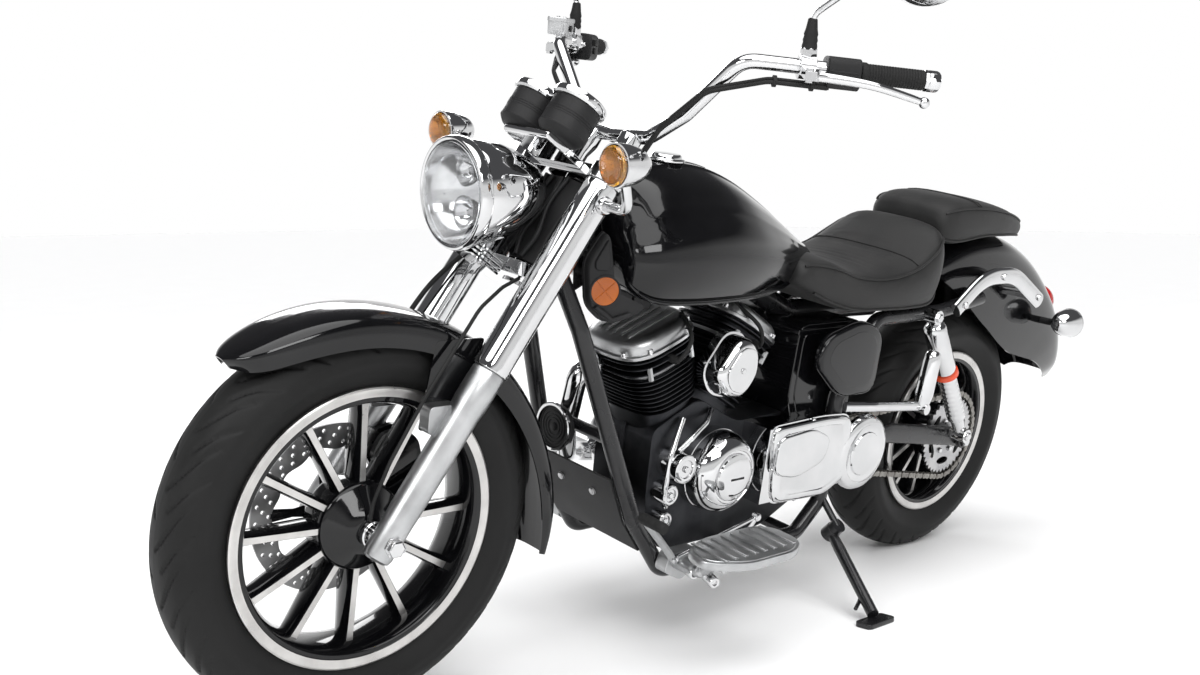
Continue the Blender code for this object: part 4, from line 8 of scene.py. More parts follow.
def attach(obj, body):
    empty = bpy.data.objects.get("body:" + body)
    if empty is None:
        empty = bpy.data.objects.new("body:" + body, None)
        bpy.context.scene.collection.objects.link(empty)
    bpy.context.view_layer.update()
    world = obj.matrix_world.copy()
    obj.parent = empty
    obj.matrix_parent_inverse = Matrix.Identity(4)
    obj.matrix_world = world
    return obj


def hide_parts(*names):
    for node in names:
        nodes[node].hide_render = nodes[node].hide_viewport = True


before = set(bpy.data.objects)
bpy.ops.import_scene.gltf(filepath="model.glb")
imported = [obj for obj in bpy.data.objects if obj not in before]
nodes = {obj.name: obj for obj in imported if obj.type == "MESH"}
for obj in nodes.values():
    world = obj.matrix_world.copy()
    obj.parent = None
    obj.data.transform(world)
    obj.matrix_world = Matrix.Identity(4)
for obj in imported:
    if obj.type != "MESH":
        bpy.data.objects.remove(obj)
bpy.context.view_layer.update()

# Places and sizes that the scene shares with the model, in metres in the motorcycle's own axes
ORIGIN = Vector((0, 0, 0))
LEAN = math.radians(10.7)
PITCH = -0.000978
ROOT_PLACE = Vector((-0.72775, -0.243, 0.0))
STEER_AT_REST = math.radians(-4.0)
WHEELBASE = 1.650
RAKE = math.radians(33.0)
STEM_OFFSET = 0.045
FRONT_TYRE_RADIUS = 0.337
REAR_TYRE_RADIUS = 0.310
FRONT_AXLE = Vector((WHEELBASE, 0, FRONT_TYRE_RADIUS))
REAR_AXLE = Vector((0, 0, REAR_TYRE_RADIUS))
UP_FORK = Vector((-math.sin(RAKE), 0, math.cos(RAKE)))
AHEAD_OF_FORK = Vector((math.cos(RAKE), 0, math.sin(RAKE)))
STEM_FOOT = FRONT_AXLE - AHEAD_OF_FORK * STEM_OFFSET
HEAD_PIVOT = STEM_FOOT + UP_FORK * 0.60
FORK_HALF_TRACK = 0.110
AXLE_LINE = Vector((0, 1, 0))
UP = Vector((0, 0, 1))
HANDS = ((1, "left"), (-1, "right"))  # a side's sign and its name

PARKED = (Matrix.Translation(ROOT_PLACE)
          @ Matrix.Rotation(PITCH, 4, "Y") @ Matrix.Rotation(-LEAN, 4, "X"))
STEERED = (PARKED @ Matrix.Translation(HEAD_PIVOT)
           @ Matrix.Rotation(STEER_AT_REST, 4, UP_FORK) @ Matrix.Translation(-HEAD_PIVOT))
PLACE_OF_BODY = {"chassis": PARKED, "rear_wheel": PARKED, "stand": PARKED,
                 "steering": STEERED, "front_wheel": STEERED}


# Ways of making a shape
ALONG_X = 0.8  # an axis with a larger share of X than this is measured from Z instead
CORNER_SHARE = 0.45  # the most of a side that a rounded corner takes up


def radial(angle):
    """A unit vector in the plane of the wheels, at an angle round their axles."""
    return Vector((math.cos(angle), 0, math.sin(angle)))


def tangential(angle):
    """The unit vector at a right angle to the radial one, in the plane of the wheels."""
    return Vector((-math.sin(angle), 0, math.cos(angle)))


def across(axis):
    """Two unit vectors at right angles to an axis and to each other."""
    axis = axis.normalized()
    start = Vector((1, 0, 0)) if abs(axis.x) < ALONG_X else UP
    first = (start - axis * start.dot(axis)).normalized()
    return first, axis.cross(first)


def skin(rings, closed=False, caps=True, tint=None):
    """A skin through rings of equal length; tint gives each strip of a ring its material slot."""
    shape = bmesh.new()
    loops = [[shape.verts.new(point) for point in ring] for ring in rings]
    pairs = list(zip(loops, loops[1:]))
    if closed:
        pairs.append((loops[-1], loops[0]))
    for near, far in pairs:
        for index, vertex in enumerate(near):
            following = (index + 1) % len(near)
            face = shape.faces.new((vertex, near[following], far[following], far[index]))
            if tint:
                face.material_index = tint[index]
    if caps and not closed:
        shape.faces.new(loops[0][::-1])
        shape.faces.new(loops[-1])
    bmesh.ops.recalc_face_normals(shape, faces=shape.faces)
    return shape


def turned(profile, centre, axis, segments, caps=True):
    """A shape of revolution from (distance along the axis, radius) pairs."""
    axis = axis.normalized()
    first, second = across(axis)
    rings = []
    for along, radius in profile:
        ring = []
        for step in range(segments):
            angle = math.tau * step / segments
            ring.append(centre + axis * along + first * math.cos(angle) * radius
                        + second * math.sin(angle) * radius)
        rings.append(ring)
    return skin(rings, caps=caps)


def ring_body(profile, centre, axis, segments, tint=None):
    """A ring of revolution from a closed profile of (distance along the axis, radius)."""
    axis = axis.normalized()
    first, second = across(axis)
    rings = []
    for step in range(segments):
        angle = math.tau * step / segments
        outward = first * math.cos(angle) + second * math.sin(angle)
        rings.append([centre + axis * along + outward * radius for along, radius in profile])
    return skin(rings, closed=True, tint=tint)


def rod(start, end, radius, segments=32):
    """A straight round bar."""
    return turned([(0, radius), ((end - start).length, radius)], start, end - start, segments)


def bolt(place, axis, radius, height, sides=6):
    """A bolt's head: a chamfered prism standing on a washer face."""
    return turned([(-0.001, radius * 1.15), (height * 0.2, radius * 1.15), (height * 0.2, radius),
                   (height * 0.85, radius), (height, radius * 0.82)],
                  place, axis.normalized(), sides)


def rounded_corner(corner, back, ahead, reach, steps):
    """Points round a corner, on a curve that meets both of its sides at the reach."""
    start = corner + back.normalized() * reach
    end = corner + ahead.normalized() * reach
    points = []
    for step in range(steps + 1):
        share = step / steps
        points.append(start.lerp(corner, share).lerp(corner.lerp(end, share), share))
    return points


def bent_line(corners, bend_radius, steps=8):
    """The corners of a line with each inner corner rounded to the bend radius."""
    corners = [Vector(corner) for corner in corners]
    line = [corners[0]]
    for before, corner, after in zip(corners, corners[1:], corners[2:]):
        back = before - corner
        ahead = after - corner
        turn = math.pi - back.angle(ahead)
        reach = bend_radius * math.tan(turn / 2)
        reach = min(reach, back.length * CORNER_SHARE, ahead.length * CORNER_SHARE)
        line += rounded_corner(corner, back, ahead, reach, steps)
    line.append(corners[-1])
    return line


def swept(line, radii, segments, flatten=1.0, side=None):
    """A round bar along a line; one radius for each point, or one for all of them."""
    if not isinstance(radii, (list, tuple)):
        radii = [radii] * len(line)
    tangents = []
    for index, point in enumerate(line):
        ahead = (line[index + 1] - point).normalized() if index + 1 < len(line) else Vector()
        behind = (point - line[index - 1]).normalized() if index else Vector()
        tangents.append((ahead + behind).normalized())
    first = across(tangents[0])[0] if side is None else side
    rings = []
    for point, tangent, radius in zip(line, tangents, radii):
        first = (first - tangent * first.dot(tangent)).normalized()
        second = tangent.cross(first)
        rings.append([point + first * math.cos(math.tau * step / segments) * radius
                      + second * math.sin(math.tau * step / segments) * radius * flatten
                      for step in range(segments)])
    return skin(rings)


def through(points, steps):
    """A smooth curve through points of any number of coordinates, as lists of numbers."""
    points = [list(point) for point in points]
    padded = [points[0]] + points + [points[-1]]
    curve = []
    for before, start, end, after in zip(padded, padded[1:], padded[2:], padded[3:]):
        for step in range(steps):
            t = step / steps
            curve.append([0.5 * (2 * b + (c - a) * t + (2 * a - 5 * b + 4 * c - d) * t * t
                                 + (3 * b - a - 3 * c + d) * t ** 3)
                          for a, b, c, d in zip(before, start, end, after)])
    curve.append(points[-1])
    return curve


def smooth_line(points, steps=8):
    """A smooth line of vectors through the points."""
    return [Vector(point) for point in through(points, steps)]


def rounded_outline(outline, radius, steps=6):
    """A closed flat outline of pairs with rounded corners."""
    points = [Vector(pair) for pair in outline]
    result = []
    for index, corner in enumerate(points):
        back = points[index - 1] - corner
        ahead = points[(index + 1) % len(points)] - corner
        reach = min(radius, back.length * CORNER_SHARE, ahead.length * CORNER_SHARE)
        result += [tuple(point) for point in rounded_corner(corner, back, ahead, reach, steps)]
    return result


def sized(outline, middle, size):
    """A flat outline drawn in towards its middle, or out from it."""
    return [(middle[0] + (a - middle[0]) * size, middle[1] + (b - middle[1]) * size)
            for a, b in outline]


def middle_and_reach(outline):
    """The mean of an outline's points, and how far the farthest one is from it."""
    middle = [sum(point[axis] for point in outline) / len(outline) for axis in (0, 1)]
    return middle, max(math.dist(point, middle) for point in outline)


def plate(outline, near, far):
    """A flat plate with an (x, z) outline from y = near to y = far."""
    return skin([[Vector((x, y, z)) for x, z in outline] for y in (near, far)])


def stepped_plate(outline, middle, steps):
    """A plate with an (x, z) outline that changes size, by its (y, size) steps."""
    return skin([[Vector((x, y, z)) for x, z in sized(outline, middle, size)]
                 for y, size in steps])


def level_plate(outline, middle, steps):
    """A level plate with an (x, y) outline that changes size, by its (height, size) steps."""
    return skin([[Vector((x, y, height)) for x, y in sized(outline, middle, size)]
                 for height, size in steps])


def box(corner, opposite):
    """A block between two opposite corners."""
    low = Vector(map(min, corner, opposite))
    high = Vector(map(max, corner, opposite))
    return skin([[Vector((low.x, low.y, z)), Vector((high.x, low.y, z)),
                  Vector((high.x, high.y, z)), Vector((low.x, high.y, z))]
                 for z in (low.z, high.z)])


def moved(shape, matrix):
    """The shape after a change of place."""
    bmesh.ops.transform(shape, matrix=matrix, verts=shape.verts)
    return shape


def mirrored(shape, side):
    """The shape as made for the left, or its mirror image on the right."""
    if side < 0:
        bmesh.ops.scale(shape, vec=(1, -1, 1), verts=shape.verts)
        bmesh.ops.reverse_faces(shape, faces=shape.faces)
    return shape


def together(shapes, slots=None):
    """Several shapes in one mesh, each with its own material slot if slots are given."""
    whole = bmesh.new()
    for index, shape in enumerate(shapes):
        if slots:
            for face in shape.faces:
                face.material_index = slots[index]
        carried = bpy.data.meshes.new("carried")
        shape.to_mesh(carried)
        shape.free()
        whole.from_mesh(carried)
        bpy.data.meshes.remove(carried)
    return whole


def on_side(side, x, y, z):
    """A point on the left for side = 1, or its mirror image on the right for -1."""
    return Vector((x, y * side, z))


def soften(thing, width):
    """Rounded edges wherever the faces meet at a marked angle."""
    bevel = thing.modifiers.new("soft_edges", "BEVEL")
    bevel.width = width
    bevel.segments = 2
    bevel.limit_method = "ANGLE"
    bevel.angle_limit = math.radians(35)
    bevel.use_clamp_overlap = True


def piece(name, shape, materials, body, replaces=(), sharp=35, bevel=0.0):
    """An object made from a shape in the motorcycle's axes, riding on a body.

    Edges are drawn sharp from the angle given in degrees; replaces names the model's nodes
    that the piece stands for.
    """
    mesh = bpy.data.meshes.new(name)
    bmesh.ops.transform(shape, matrix=PLACE_OF_BODY[body], verts=shape.verts)
    shape.to_mesh(mesh)
    shape.free()
    thing = bpy.data.objects.new(name, mesh)
    bpy.context.scene.collection.objects.link(thing)
    for material in (materials if isinstance(materials, (list, tuple)) else [materials]):
        mesh.materials.append(material)
    mesh.shade_smooth()
    mesh.set_sharp_from_angle(angle=math.radians(sharp))
    if bevel:
        soften(thing, bevel)
    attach(thing, body)
    if replaces:
        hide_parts(*((replaces,) if isinstance(replaces, str) else replaces))
    return thing


# Materials
def new_material(name, colour, metallic, roughness):
    """A Principled material with its uniform values set on the shader itself."""
    material = bpy.data.materials.new(name)
    material.use_nodes = True
    shader = material.node_tree.nodes["Principled BSDF"]
    shader.inputs["Base Color"].default_value = (*colour, 1)
    shader.inputs["Metallic"].default_value = metallic
    shader.inputs["Roughness"].default_value = roughness
    return material, shader


def placed(material, kind, scale):
    """A texture node of the kind in the object's own coordinates."""
    tree = material.node_tree
    texture = tree.nodes.new(kind)
    texture.inputs["Scale"].default_value = scale
    place = tree.nodes.new("ShaderNodeTexCoord")
    tree.links.new(place.outputs["Object"], texture.inputs["Vector"])
    return texture


def noise_of(material, scale, detail=3.0):
    """A noise texture's value."""
    grain = placed(material, "ShaderNodeTexNoise", scale)
    grain.inputs["Detail"].default_value = detail
    grain.inputs["Roughness"].default_value = 0.55
    return grain.outputs["Fac"]


def ranged(material, source, low, high):
    """A noise's value, carried from the range it mostly lies in into the range low to high."""
    spread = material.node_tree.nodes.new("ShaderNodeMapRange")
    spread.inputs["From Min"].default_value = 0.3
    spread.inputs["From Max"].default_value = 0.7
    spread.inputs["To Min"].default_value = low
    spread.inputs["To Max"].default_value = high
    material.node_tree.links.new(source, spread.inputs["Value"])
    return spread.outputs["Result"]


def bumped(material, shader, source, height, strength=1.0):
    """A fine relief of the given height in metres from a texture's value."""
    bump = material.node_tree.nodes.new("ShaderNodeBump")
    bump.inputs["Distance"].default_value = height
    bump.inputs["Strength"].default_value = strength
    material.node_tree.links.new(source, bump.inputs["Height"])
    material.node_tree.links.new(bump.outputs["Normal"], shader.inputs["Normal"])


def two_tone(material, shader, source, dark, light):
    """A base colour that drifts between two tones with a texture's value."""
    ramp = material.node_tree.nodes.new("ShaderNodeValToRGB")
    ramp.color_ramp.elements[0].position = 0.35
    ramp.color_ramp.elements[1].position = 0.65
    ramp.color_ramp.elements[0].color = (*dark, 1)
    ramp.color_ramp.elements[1].color = (*light, 1)
    material.node_tree.links.new(source, ramp.inputs["Fac"])
    material.node_tree.links.new(ramp.outputs["Color"], shader.inputs["Base Color"])


def drifting(material, shader, scale, dark, light, rough_low, rough_high):
    """Tone and polish that both drift slowly over the surface."""
    drift = noise_of(material, scale)
    two_tone(material, shader, drift, dark, light)
    material.node_tree.links.new(ranged(material, drift, rough_low, rough_high),
                                 shader.inputs["Roughness"])


def grained(material, shader, grain, relief):
    """A fine relief all over, if there is any."""
    if relief:
        bumped(material, shader, noise_of(material, grain, 2.0), relief)


def metal(name, dark, light, rough_low, rough_high, relief=0.0, grain=900.0):
    """Bare or plated metal, with a fine relief if it is cast."""
    material, shader = new_material(name, light, 1.0, rough_high)
    drifting(material, shader, 18.0, dark, light, rough_low, rough_high)
    grained(material, shader, grain, relief)
    return material


def paint(name, dark, light, rough_low, rough_high, coat=0.0, relief=0.0, grain=700.0,
          gloss=0.5):
    """Paint, lacquer or moulded plastic, with a clear coat where it is glossy."""
    material, shader = new_material(name, light, 0.0, rough_high)
    shader.inputs["Specular IOR Level"].default_value = gloss
    drifting(material, shader, 9.0, dark, light, rough_low, rough_high)
    if coat:
        shader.inputs["Coat Weight"].default_value = coat
        shader.inputs["Coat Roughness"].default_value = 0.03
    grained(material, shader, grain, relief)
    return material


ACRYLIC_IOR = 1.49


def glass(name, colour, roughness, transmission):
    """Clear or tinted lens plastic."""
    material, shader = new_material(name, colour, 0.0, roughness)
    shader.inputs["Transmission Weight"].default_value = transmission
    shader.inputs["IOR"].default_value = ACRYLIC_IOR
    bumped(material, shader, noise_of(material, 60.0, 1.0), 0.00002)
    return material


def leather(name):
    """Black saddle vinyl: a fine pebble grain under a soft sheen."""
    material, shader = new_material(name, (0.017, 0.0165, 0.0165), 0.0, 0.5)
    pebble = placed(material, "ShaderNodeTexVoronoi", 520.0)
    drifting(material, shader, 14.0, (0.007, 0.007, 0.007), (0.013, 0.0127, 0.0125), 0.50, 0.62)
    bumped(material, shader, pebble.outputs["Distance"], 0.0005, 0.35)
    shader.inputs["Sheen Weight"].default_value = 0.06
    shader.inputs["Specular IOR Level"].default_value = 0.30
    return material


CHROME = metal("chrome_plate", (0.595, 0.60, 0.605), (0.635, 0.635, 0.64), 0.025, 0.05)
POLISHED = metal("polished_alloy", (0.52, 0.52, 0.525), (0.64, 0.64, 0.64), 0.12, 0.20)
SATIN = metal("satin_alloy", (0.40, 0.405, 0.41), (0.50, 0.505, 0.51), 0.30, 0.40,
              relief=0.00006)
MACHINED = metal("machined_alloy", (0.47, 0.46, 0.45), (0.60, 0.59, 0.575), 0.26, 0.38,
                 relief=0.00004)
DARK_CAST = metal("dark_cast_alloy", (0.026, 0.027, 0.030), (0.046, 0.047, 0.051), 0.36, 0.50,
                  relief=0.00012, grain=600.0)
STEEL = metal("ground_steel", (0.34, 0.34, 0.35), (0.50, 0.50, 0.50), 0.24, 0.36,
              relief=0.00003)
DISC_STEEL = metal("disc_steel", (0.20, 0.20, 0.205), (0.30, 0.30, 0.30), 0.30, 0.42,
                   relief=0.00003)
CHAIN_STEEL = metal("oiled_steel", (0.16, 0.15, 0.14), (0.30, 0.29, 0.27), 0.30, 0.45)
GLOSS = paint("gloss_black", (0.0020, 0.0020, 0.0024), (0.0040, 0.0040, 0.0046), 0.10, 0.16,
              coat=0.55, gloss=0.12)
FRAME_BLACK = paint("frame_black", (0.008, 0.008, 0.009), (0.014, 0.014, 0.015), 0.22, 0.32,
                    coat=0.3, relief=0.00003, gloss=0.25)
MATTE = paint("matte_black", (0.007, 0.007, 0.0075), (0.012, 0.012, 0.0125), 0.48, 0.60,
              relief=0.00010, gloss=0.28)
RUBBER = paint("grip_rubber", (0.008, 0.008, 0.008), (0.014, 0.014, 0.014), 0.62, 0.75,
               relief=0.00010, gloss=0.25)
TYRE_RUBBER = paint("tyre_rubber", (0.005, 0.005, 0.005), (0.009, 0.009, 0.009), 0.52, 0.66,
                    relief=0.00008, grain=350.0, gloss=0.22)
VINYL = leather("saddle_vinyl")
CLEAR = glass("clear_lens", (0.97, 0.98, 0.99), 0.02, 1.0)
AMBER = glass("amber_lens", (1.0, 0.52, 0.06), 0.08, 0.80)
RED = glass("red_lens", (0.70, 0.012, 0.012), 0.12, 0.55)
WHITE = paint("dial_white", (0.75, 0.75, 0.74), (0.82, 0.82, 0.81), 0.40, 0.50)
MIRROR_GLASS = metal("mirror_glass", (0.86, 0.87, 0.88), (0.90, 0.91, 0.92), 0.01, 0.02)
ORANGE_RED = paint("orange_red", (0.62, 0.060, 0.015), (0.70, 0.080, 0.02), 0.25, 0.35)
AMBER_SOLID = paint("amber_reflector", (0.30, 0.066, 0.002), (0.40, 0.100, 0.003), 0.12, 0.2,
                    coat=0.3, gloss=0.3)
RED_PAINT = paint("needle_red", (0.60, 0.03, 0.02), (0.68, 0.05, 0.03), 0.35, 0.45)


def fluted_glass():
    """Clear lens plastic with upright flutes moulded in its inner face."""
    material = glass("fluted_lens", (0.97, 0.98, 0.99), 0.03, 1.0)
    waves = placed(material, "ShaderNodeTexWave", 9.0)
    waves.bands_direction = "Y"
    bumped(material, material.node_tree.nodes["Principled BSDF"], waves.outputs["Fac"],
           0.0006, 0.10)
    return material


FLUTED = fluted_glass()


# The wheels
FRONT_TYRE = {"radius": FRONT_TYRE_RADIUS, "half_width": 0.061, "bead": 0.2335,
              "bead_half": 0.044, "grooves": 22, "body": "front_wheel"}
REAR_TYRE = {"radius": REAR_TYRE_RADIUS, "half_width": 0.075, "bead": 0.1945,
             "bead_half": 0.056, "grooves": 20, "body": "rear_wheel"}
SIDEWALL_SHARES = [(1.00, 0.00), (1.00, 0.05), (1.03, 0.10), (1.07, 0.14)]
TYRE_SHARES = [(1.00, 0.40), (0.985, 0.56), (0.93, 0.68), (0.76, 0.845), (0.56, 0.93),
               (0.28, 0.984), (0.00, 1.00)]
TREAD_STEPS = 680
GROOVE_DEPTH = 0.0036
GROOVE_HALF = 0.0012
GROOVE_RAMP = 0.0016
GROOVED_HEIGHT = 0.62  # the grooves stay above this share of the tyre's height
GROOVED_WIDTH = (0.07, 0.97)  # and between these shares of its half width
GROOVE_ROWS = [  # shift by pitches, share of the half width at its start and end, sweep round
    (0.0, 0.07, 0.90, 0.36), (0.5, 0.36, 0.97, 0.30)]
GROOVE_CURVE = 1.6
TAPER_SHARE = 0.08  # the share of the half width over which a groove's end narrows
LEAST_TAPER = 0.05
SPOKES = 12
SPOKE_ROOT = 0.040
SPOKE_STATIONS = [  # share of the spoke's length, half width of its bright face and of its web
    (0.0, 0.0058, 0.0150), (0.15, 0.0052, 0.0115), (0.5, 0.0052, 0.0100),
    (0.85, 0.0054, 0.0105), (1.0, 0.0064, 0.0135)]
RIM_GAP = 0.0004


def tyre_side(tyre):
    """One side of a tyre's cross-section, from its bead to the middle of the tread."""
    height = tyre["radius"] - tyre["bead"]
    bead = [(tyre["bead_half"] * out, tyre["bead"] + height * rise)
            for out, rise in SIDEWALL_SHARES]
    wall = [(tyre["half_width"] * out, tyre["bead"] + height * rise)
            for out, rise in TYRE_SHARES]
    return bead + wall


def groove_depth(tyre, angle, share):
    """Depth of the tread's curved grooves at an angle round the tyre and a share of its width."""
    side = 1 if share >= 0 else -1
    across_share = abs(share)
    if not GROOVED_WIDTH[0] < across_share < GROOVED_WIDTH[1]:
        return 0.0
    pitch = math.tau / tyre["grooves"]
    offset = 0.0 if side > 0 else pitch / 2
    deepest = 0.0
    for shift, start, end, sweep in GROOVE_ROWS:
        if not start < across_share < end:
            continue
        line = offset + shift * pitch + sweep * across_share ** GROOVE_CURVE
        slope = (sweep * GROOVE_CURVE * across_share ** (GROOVE_CURVE - 1)
                 * tyre["radius"] / tyre["half_width"])
        away = (angle - line + pitch / 2) % pitch - pitch / 2
        distance = abs(away) * tyre["radius"] / math.hypot(1, slope)
        taper = min(1.0, (across_share - start) / TAPER_SHARE,
                    (end - across_share) / TAPER_SHARE)
        half = GROOVE_HALF * max(taper, LEAST_TAPER)
        edge = (half + GROOVE_RAMP - distance) / GROOVE_RAMP
        deepest = max(deepest, GROOVE_DEPTH * max(0.0, min(1.0, edge)) * min(1.0, taper * 2))
    return deepest


def add_tyre(name, tyre, centre):
    """A tyre with sidewalls, shoulders and curved grooves cut into its tread."""
    side = through(tyre_side(tyre), 5)
    profile = side + [(-along, radius) for along, radius in side[-2::-1]]
    rings = []
    for step in range(TREAD_STEPS):
        angle = math.tau * step / TREAD_STEPS
        outward = radial(angle)
        ring = []
        for along, radius in profile:
            share = along / tyre["half_width"]
            height = (radius - tyre["bead"]) / (tyre["radius"] - tyre["bead"])
            depth = groove_depth(tyre, angle, share) if height > GROOVED_HEIGHT else 0.0
            ring.append(centre + outward * (radius - depth) + AXLE_LINE * along)
        rings.append(ring)
    shape = skin(rings, closed=True)
    piece(name + "_tread", shape, TYRE_RUBBER, tyre["body"], name, sharp=50)


def spoke(angle, root, tip, root_half, tip_half):
    """A cast spoke: a raised bright face on both sides of a wider black web."""
    rings = []
    for share, face, web in SPOKE_STATIONS:
        middle = radial(angle) * (root + (tip - root) * share)
        half = root_half + (tip_half - root_half) * share
        section = [(face, half), (-face, half), (-face - 0.0010, half - 0.0012),
                   (-web, half * 0.45), (-web, -half * 0.25), (-face - 0.0010, 0.0012 - half),
                   (-face, -half), (face, -half), (face + 0.0010, 0.0012 - half),
                   (web, -half * 0.25), (web, half * 0.25), (face + 0.0010, half - 0.0012)]
        rings.append([middle + tangential(angle) * offset + AXLE_LINE * along
                      for offset, along in section])
    return skin(rings, tint=[1, 0, 0, 0, 0, 0, 1, 0, 0, 0, 0, 0])


def rim_shape(tyre):
    """The rim: a black barrel with a bright turned lip and step on each side."""
    seat = tyre["bead"] - RIM_GAP
    lip = tyre["bead_half"] + RIM_GAP
    half = [(0.0, seat - 0.020), (lip * 0.45, seat - 0.016), (lip - 0.010, seat - 0.004),
            (lip, seat - 0.0005), (lip + 0.0004, seat + 0.0075), (lip + 0.003, seat + 0.0092),
            (lip + 0.0085, seat + 0.0088), (lip + 0.010, seat + 0.006),
            (lip + 0.0096, seat + 0.001), (lip + 0.0076, seat - 0.004),
            (lip + 0.0073, seat - 0.0080),
            (lip + 0.0062, seat - 0.0090), (lip + 0.0060, seat - 0.0155),
            (lip + 0.004, seat - 0.0175), (lip * 0.62, seat - 0.0245), (0.0, seat - 0.026)]
    tint_half = [0, 0, 0, 0, 1, 1, 1, 1, 1, 1, 0, 0, 0, 0, 0]
    other = [(-along, radius) for along, radius in half[-2:0:-1]]
    tint = tint_half + tint_half[::-1]
    return ring_body(half + other, ORIGIN, AXLE_LINE, 160, tint=tint)


def add_rim(name, tyre, hub_profile, root_half, tip_half, centre):
    """A cast wheel: the rim, the domed hub and the spokes between them."""
    tip = tyre["bead"] - 0.021
    spokes = [spoke(math.tau * (index + 0.5) / SPOKES + math.pi / SPOKES, SPOKE_ROOT, tip,
                    root_half, tip_half) for index in range(SPOKES)]
    hub = turned(hub_profile, ORIGIN, AXLE_LINE, 96)
    shape = moved(together([rim_shape(tyre), hub] + spokes), Matrix.Translation(centre))
    piece(name + "_cast", shape, [GLOSS, MACHINED], tyre["body"], name, sharp=30)


DISC_STEPS = 240
DISC_ARMS = 5
DISC_WAVE = 0.004
DRILL_ROWS = (0.22, 0.50, 0.78)
HOLES_IN_ROW = 30


def disc_shape(outer, inner, near, far):
    """A brake disc with a wavy inner edge, and the drills for its holes."""
    middle = (near + far) / 2
    rings = []
    for step in range(DISC_STEPS):
        angle = math.tau * step / DISC_STEPS
        edge = inner + DISC_WAVE * math.cos(angle * DISC_ARMS * 2)
        rings.append([radial(angle) * radius + AXLE_LINE * along
                      for along, radius in ((near, outer), (far, outer), (far, edge),
                                            (near, edge))])
    disc = skin(rings, closed=True)
    drills = []
    for row, share in enumerate(DRILL_ROWS):
        radius = inner + (outer - inner) * share
        for index in range(HOLES_IN_ROW):
            angle = math.tau * (index + row / 3) / HOLES_IN_ROW
            place = Vector((math.cos(angle) * radius, middle, math.sin(angle) * radius))
            drills.append(rod(place - AXLE_LINE * 0.01, place + AXLE_LINE * 0.01, 0.0036, 10))
    return disc, together(drills)


def cut(shape, cutter):
    """The shape with the cutter's holes through it."""
    objects = []
    for part in (shape, cutter):
        mesh = bpy.data.meshes.new("cutting")
        part.to_mesh(mesh)
        part.free()
        thing = bpy.data.objects.new("cutting", mesh)
        bpy.context.scene.collection.objects.link(thing)
        objects.append(thing)
    whole, tool = objects
    boolean = whole.modifiers.new("holes", "BOOLEAN")
    boolean.operation = "DIFFERENCE"
    boolean.object = tool
    boolean.solver = "EXACT"
    graph = bpy.context.evaluated_depsgraph_get()
    result = bmesh.new()
    result.from_object(whole, graph)
    for thing in objects:
        mesh = thing.data
        bpy.data.objects.remove(thing)
        bpy.data.meshes.remove(mesh)
    return result


def add_brake_disc(name, outer, inner, near, far, hub_radius, body, centre):
    """A drilled disc on arms that are bolted round its hub."""
    shape = cut(*disc_shape(outer, inner, near, far))
    turns = [math.tau * index / DISC_ARMS for index in range(DISC_ARMS)]
    carriers = []
    for angle in turns:
        line = [radial(angle) * radius + AXLE_LINE * ((near + far) / 2)
                for radius in (hub_radius * 0.8, (hub_radius + inner) / 2, inner + 0.006)]
        carriers.append(swept(line, [0.014, 0.0075, 0.012], 16, flatten=0.22,
                              side=tangential(angle)))
    boss = ring_body([(near - 0.001, hub_radius), (far + 0.001, hub_radius),
                      (far + 0.001, hub_radius * 0.62), (near - 0.001, hub_radius * 0.62)],
                     ORIGIN, AXLE_LINE, 64)
    bolts = [bolt(radial(angle) * (hub_radius * 0.82) + AXLE_LINE * (near - 0.001),
                  -AXLE_LINE, 0.005, 0.005) for angle in turns]
    whole = together([shape, boss] + carriers + bolts,
                     [0, 1] + [1] * DISC_ARMS + [2] * DISC_ARMS)
    piece(name + "_drilled", moved(whole, Matrix.Translation(centre)),
          [DISC_STEEL, FRAME_BLACK, CHROME], body, name, sharp=30)


FRONT_HUB = [(-0.0647, 0.030), (-0.0640, 0.040), (-0.052, 0.052), (-0.042, 0.064),
             (-0.032, 0.0725), (-0.024, 0.0750), (0.022, 0.0770), (0.029, 0.0762),
             (0.0335, 0.0735), (0.036, 0.0700), (0.046, 0.0560), (0.057, 0.0420),
             (0.0650, 0.0340), (0.068, 0.024)]
REAR_HUB = [(-0.0827, 0.036), (-0.0815, 0.046), (-0.060, 0.054), (-0.040, 0.068),
            (-0.034, 0.070), (0.034, 0.070), (0.042, 0.0680), (0.060, 0.058),
            (0.083, 0.0515), (0.0847, 0.040)]


def add_wheels():
    add_tyre("front_tyre", FRONT_TYRE, FRONT_AXLE)
    add_tyre("rear_tyre", REAR_TYRE, REAR_AXLE)
    add_rim("front_rim", FRONT_TYRE, FRONT_HUB, 0.030, 0.020, FRONT_AXLE)
    add_rim("rear_rim", REAR_TYRE, REAR_HUB, 0.034, 0.026, REAR_AXLE)
    add_brake_disc("front_brake_disc", 0.149, 0.108, -0.0700, -0.0652, 0.036, "front_wheel",
                   FRONT_AXLE)
    add_brake_disc("rear_brake_disc", 0.135, 0.098, -0.0880, -0.0832, 0.042, "rear_wheel",
                   REAR_AXLE)


add_wheels()


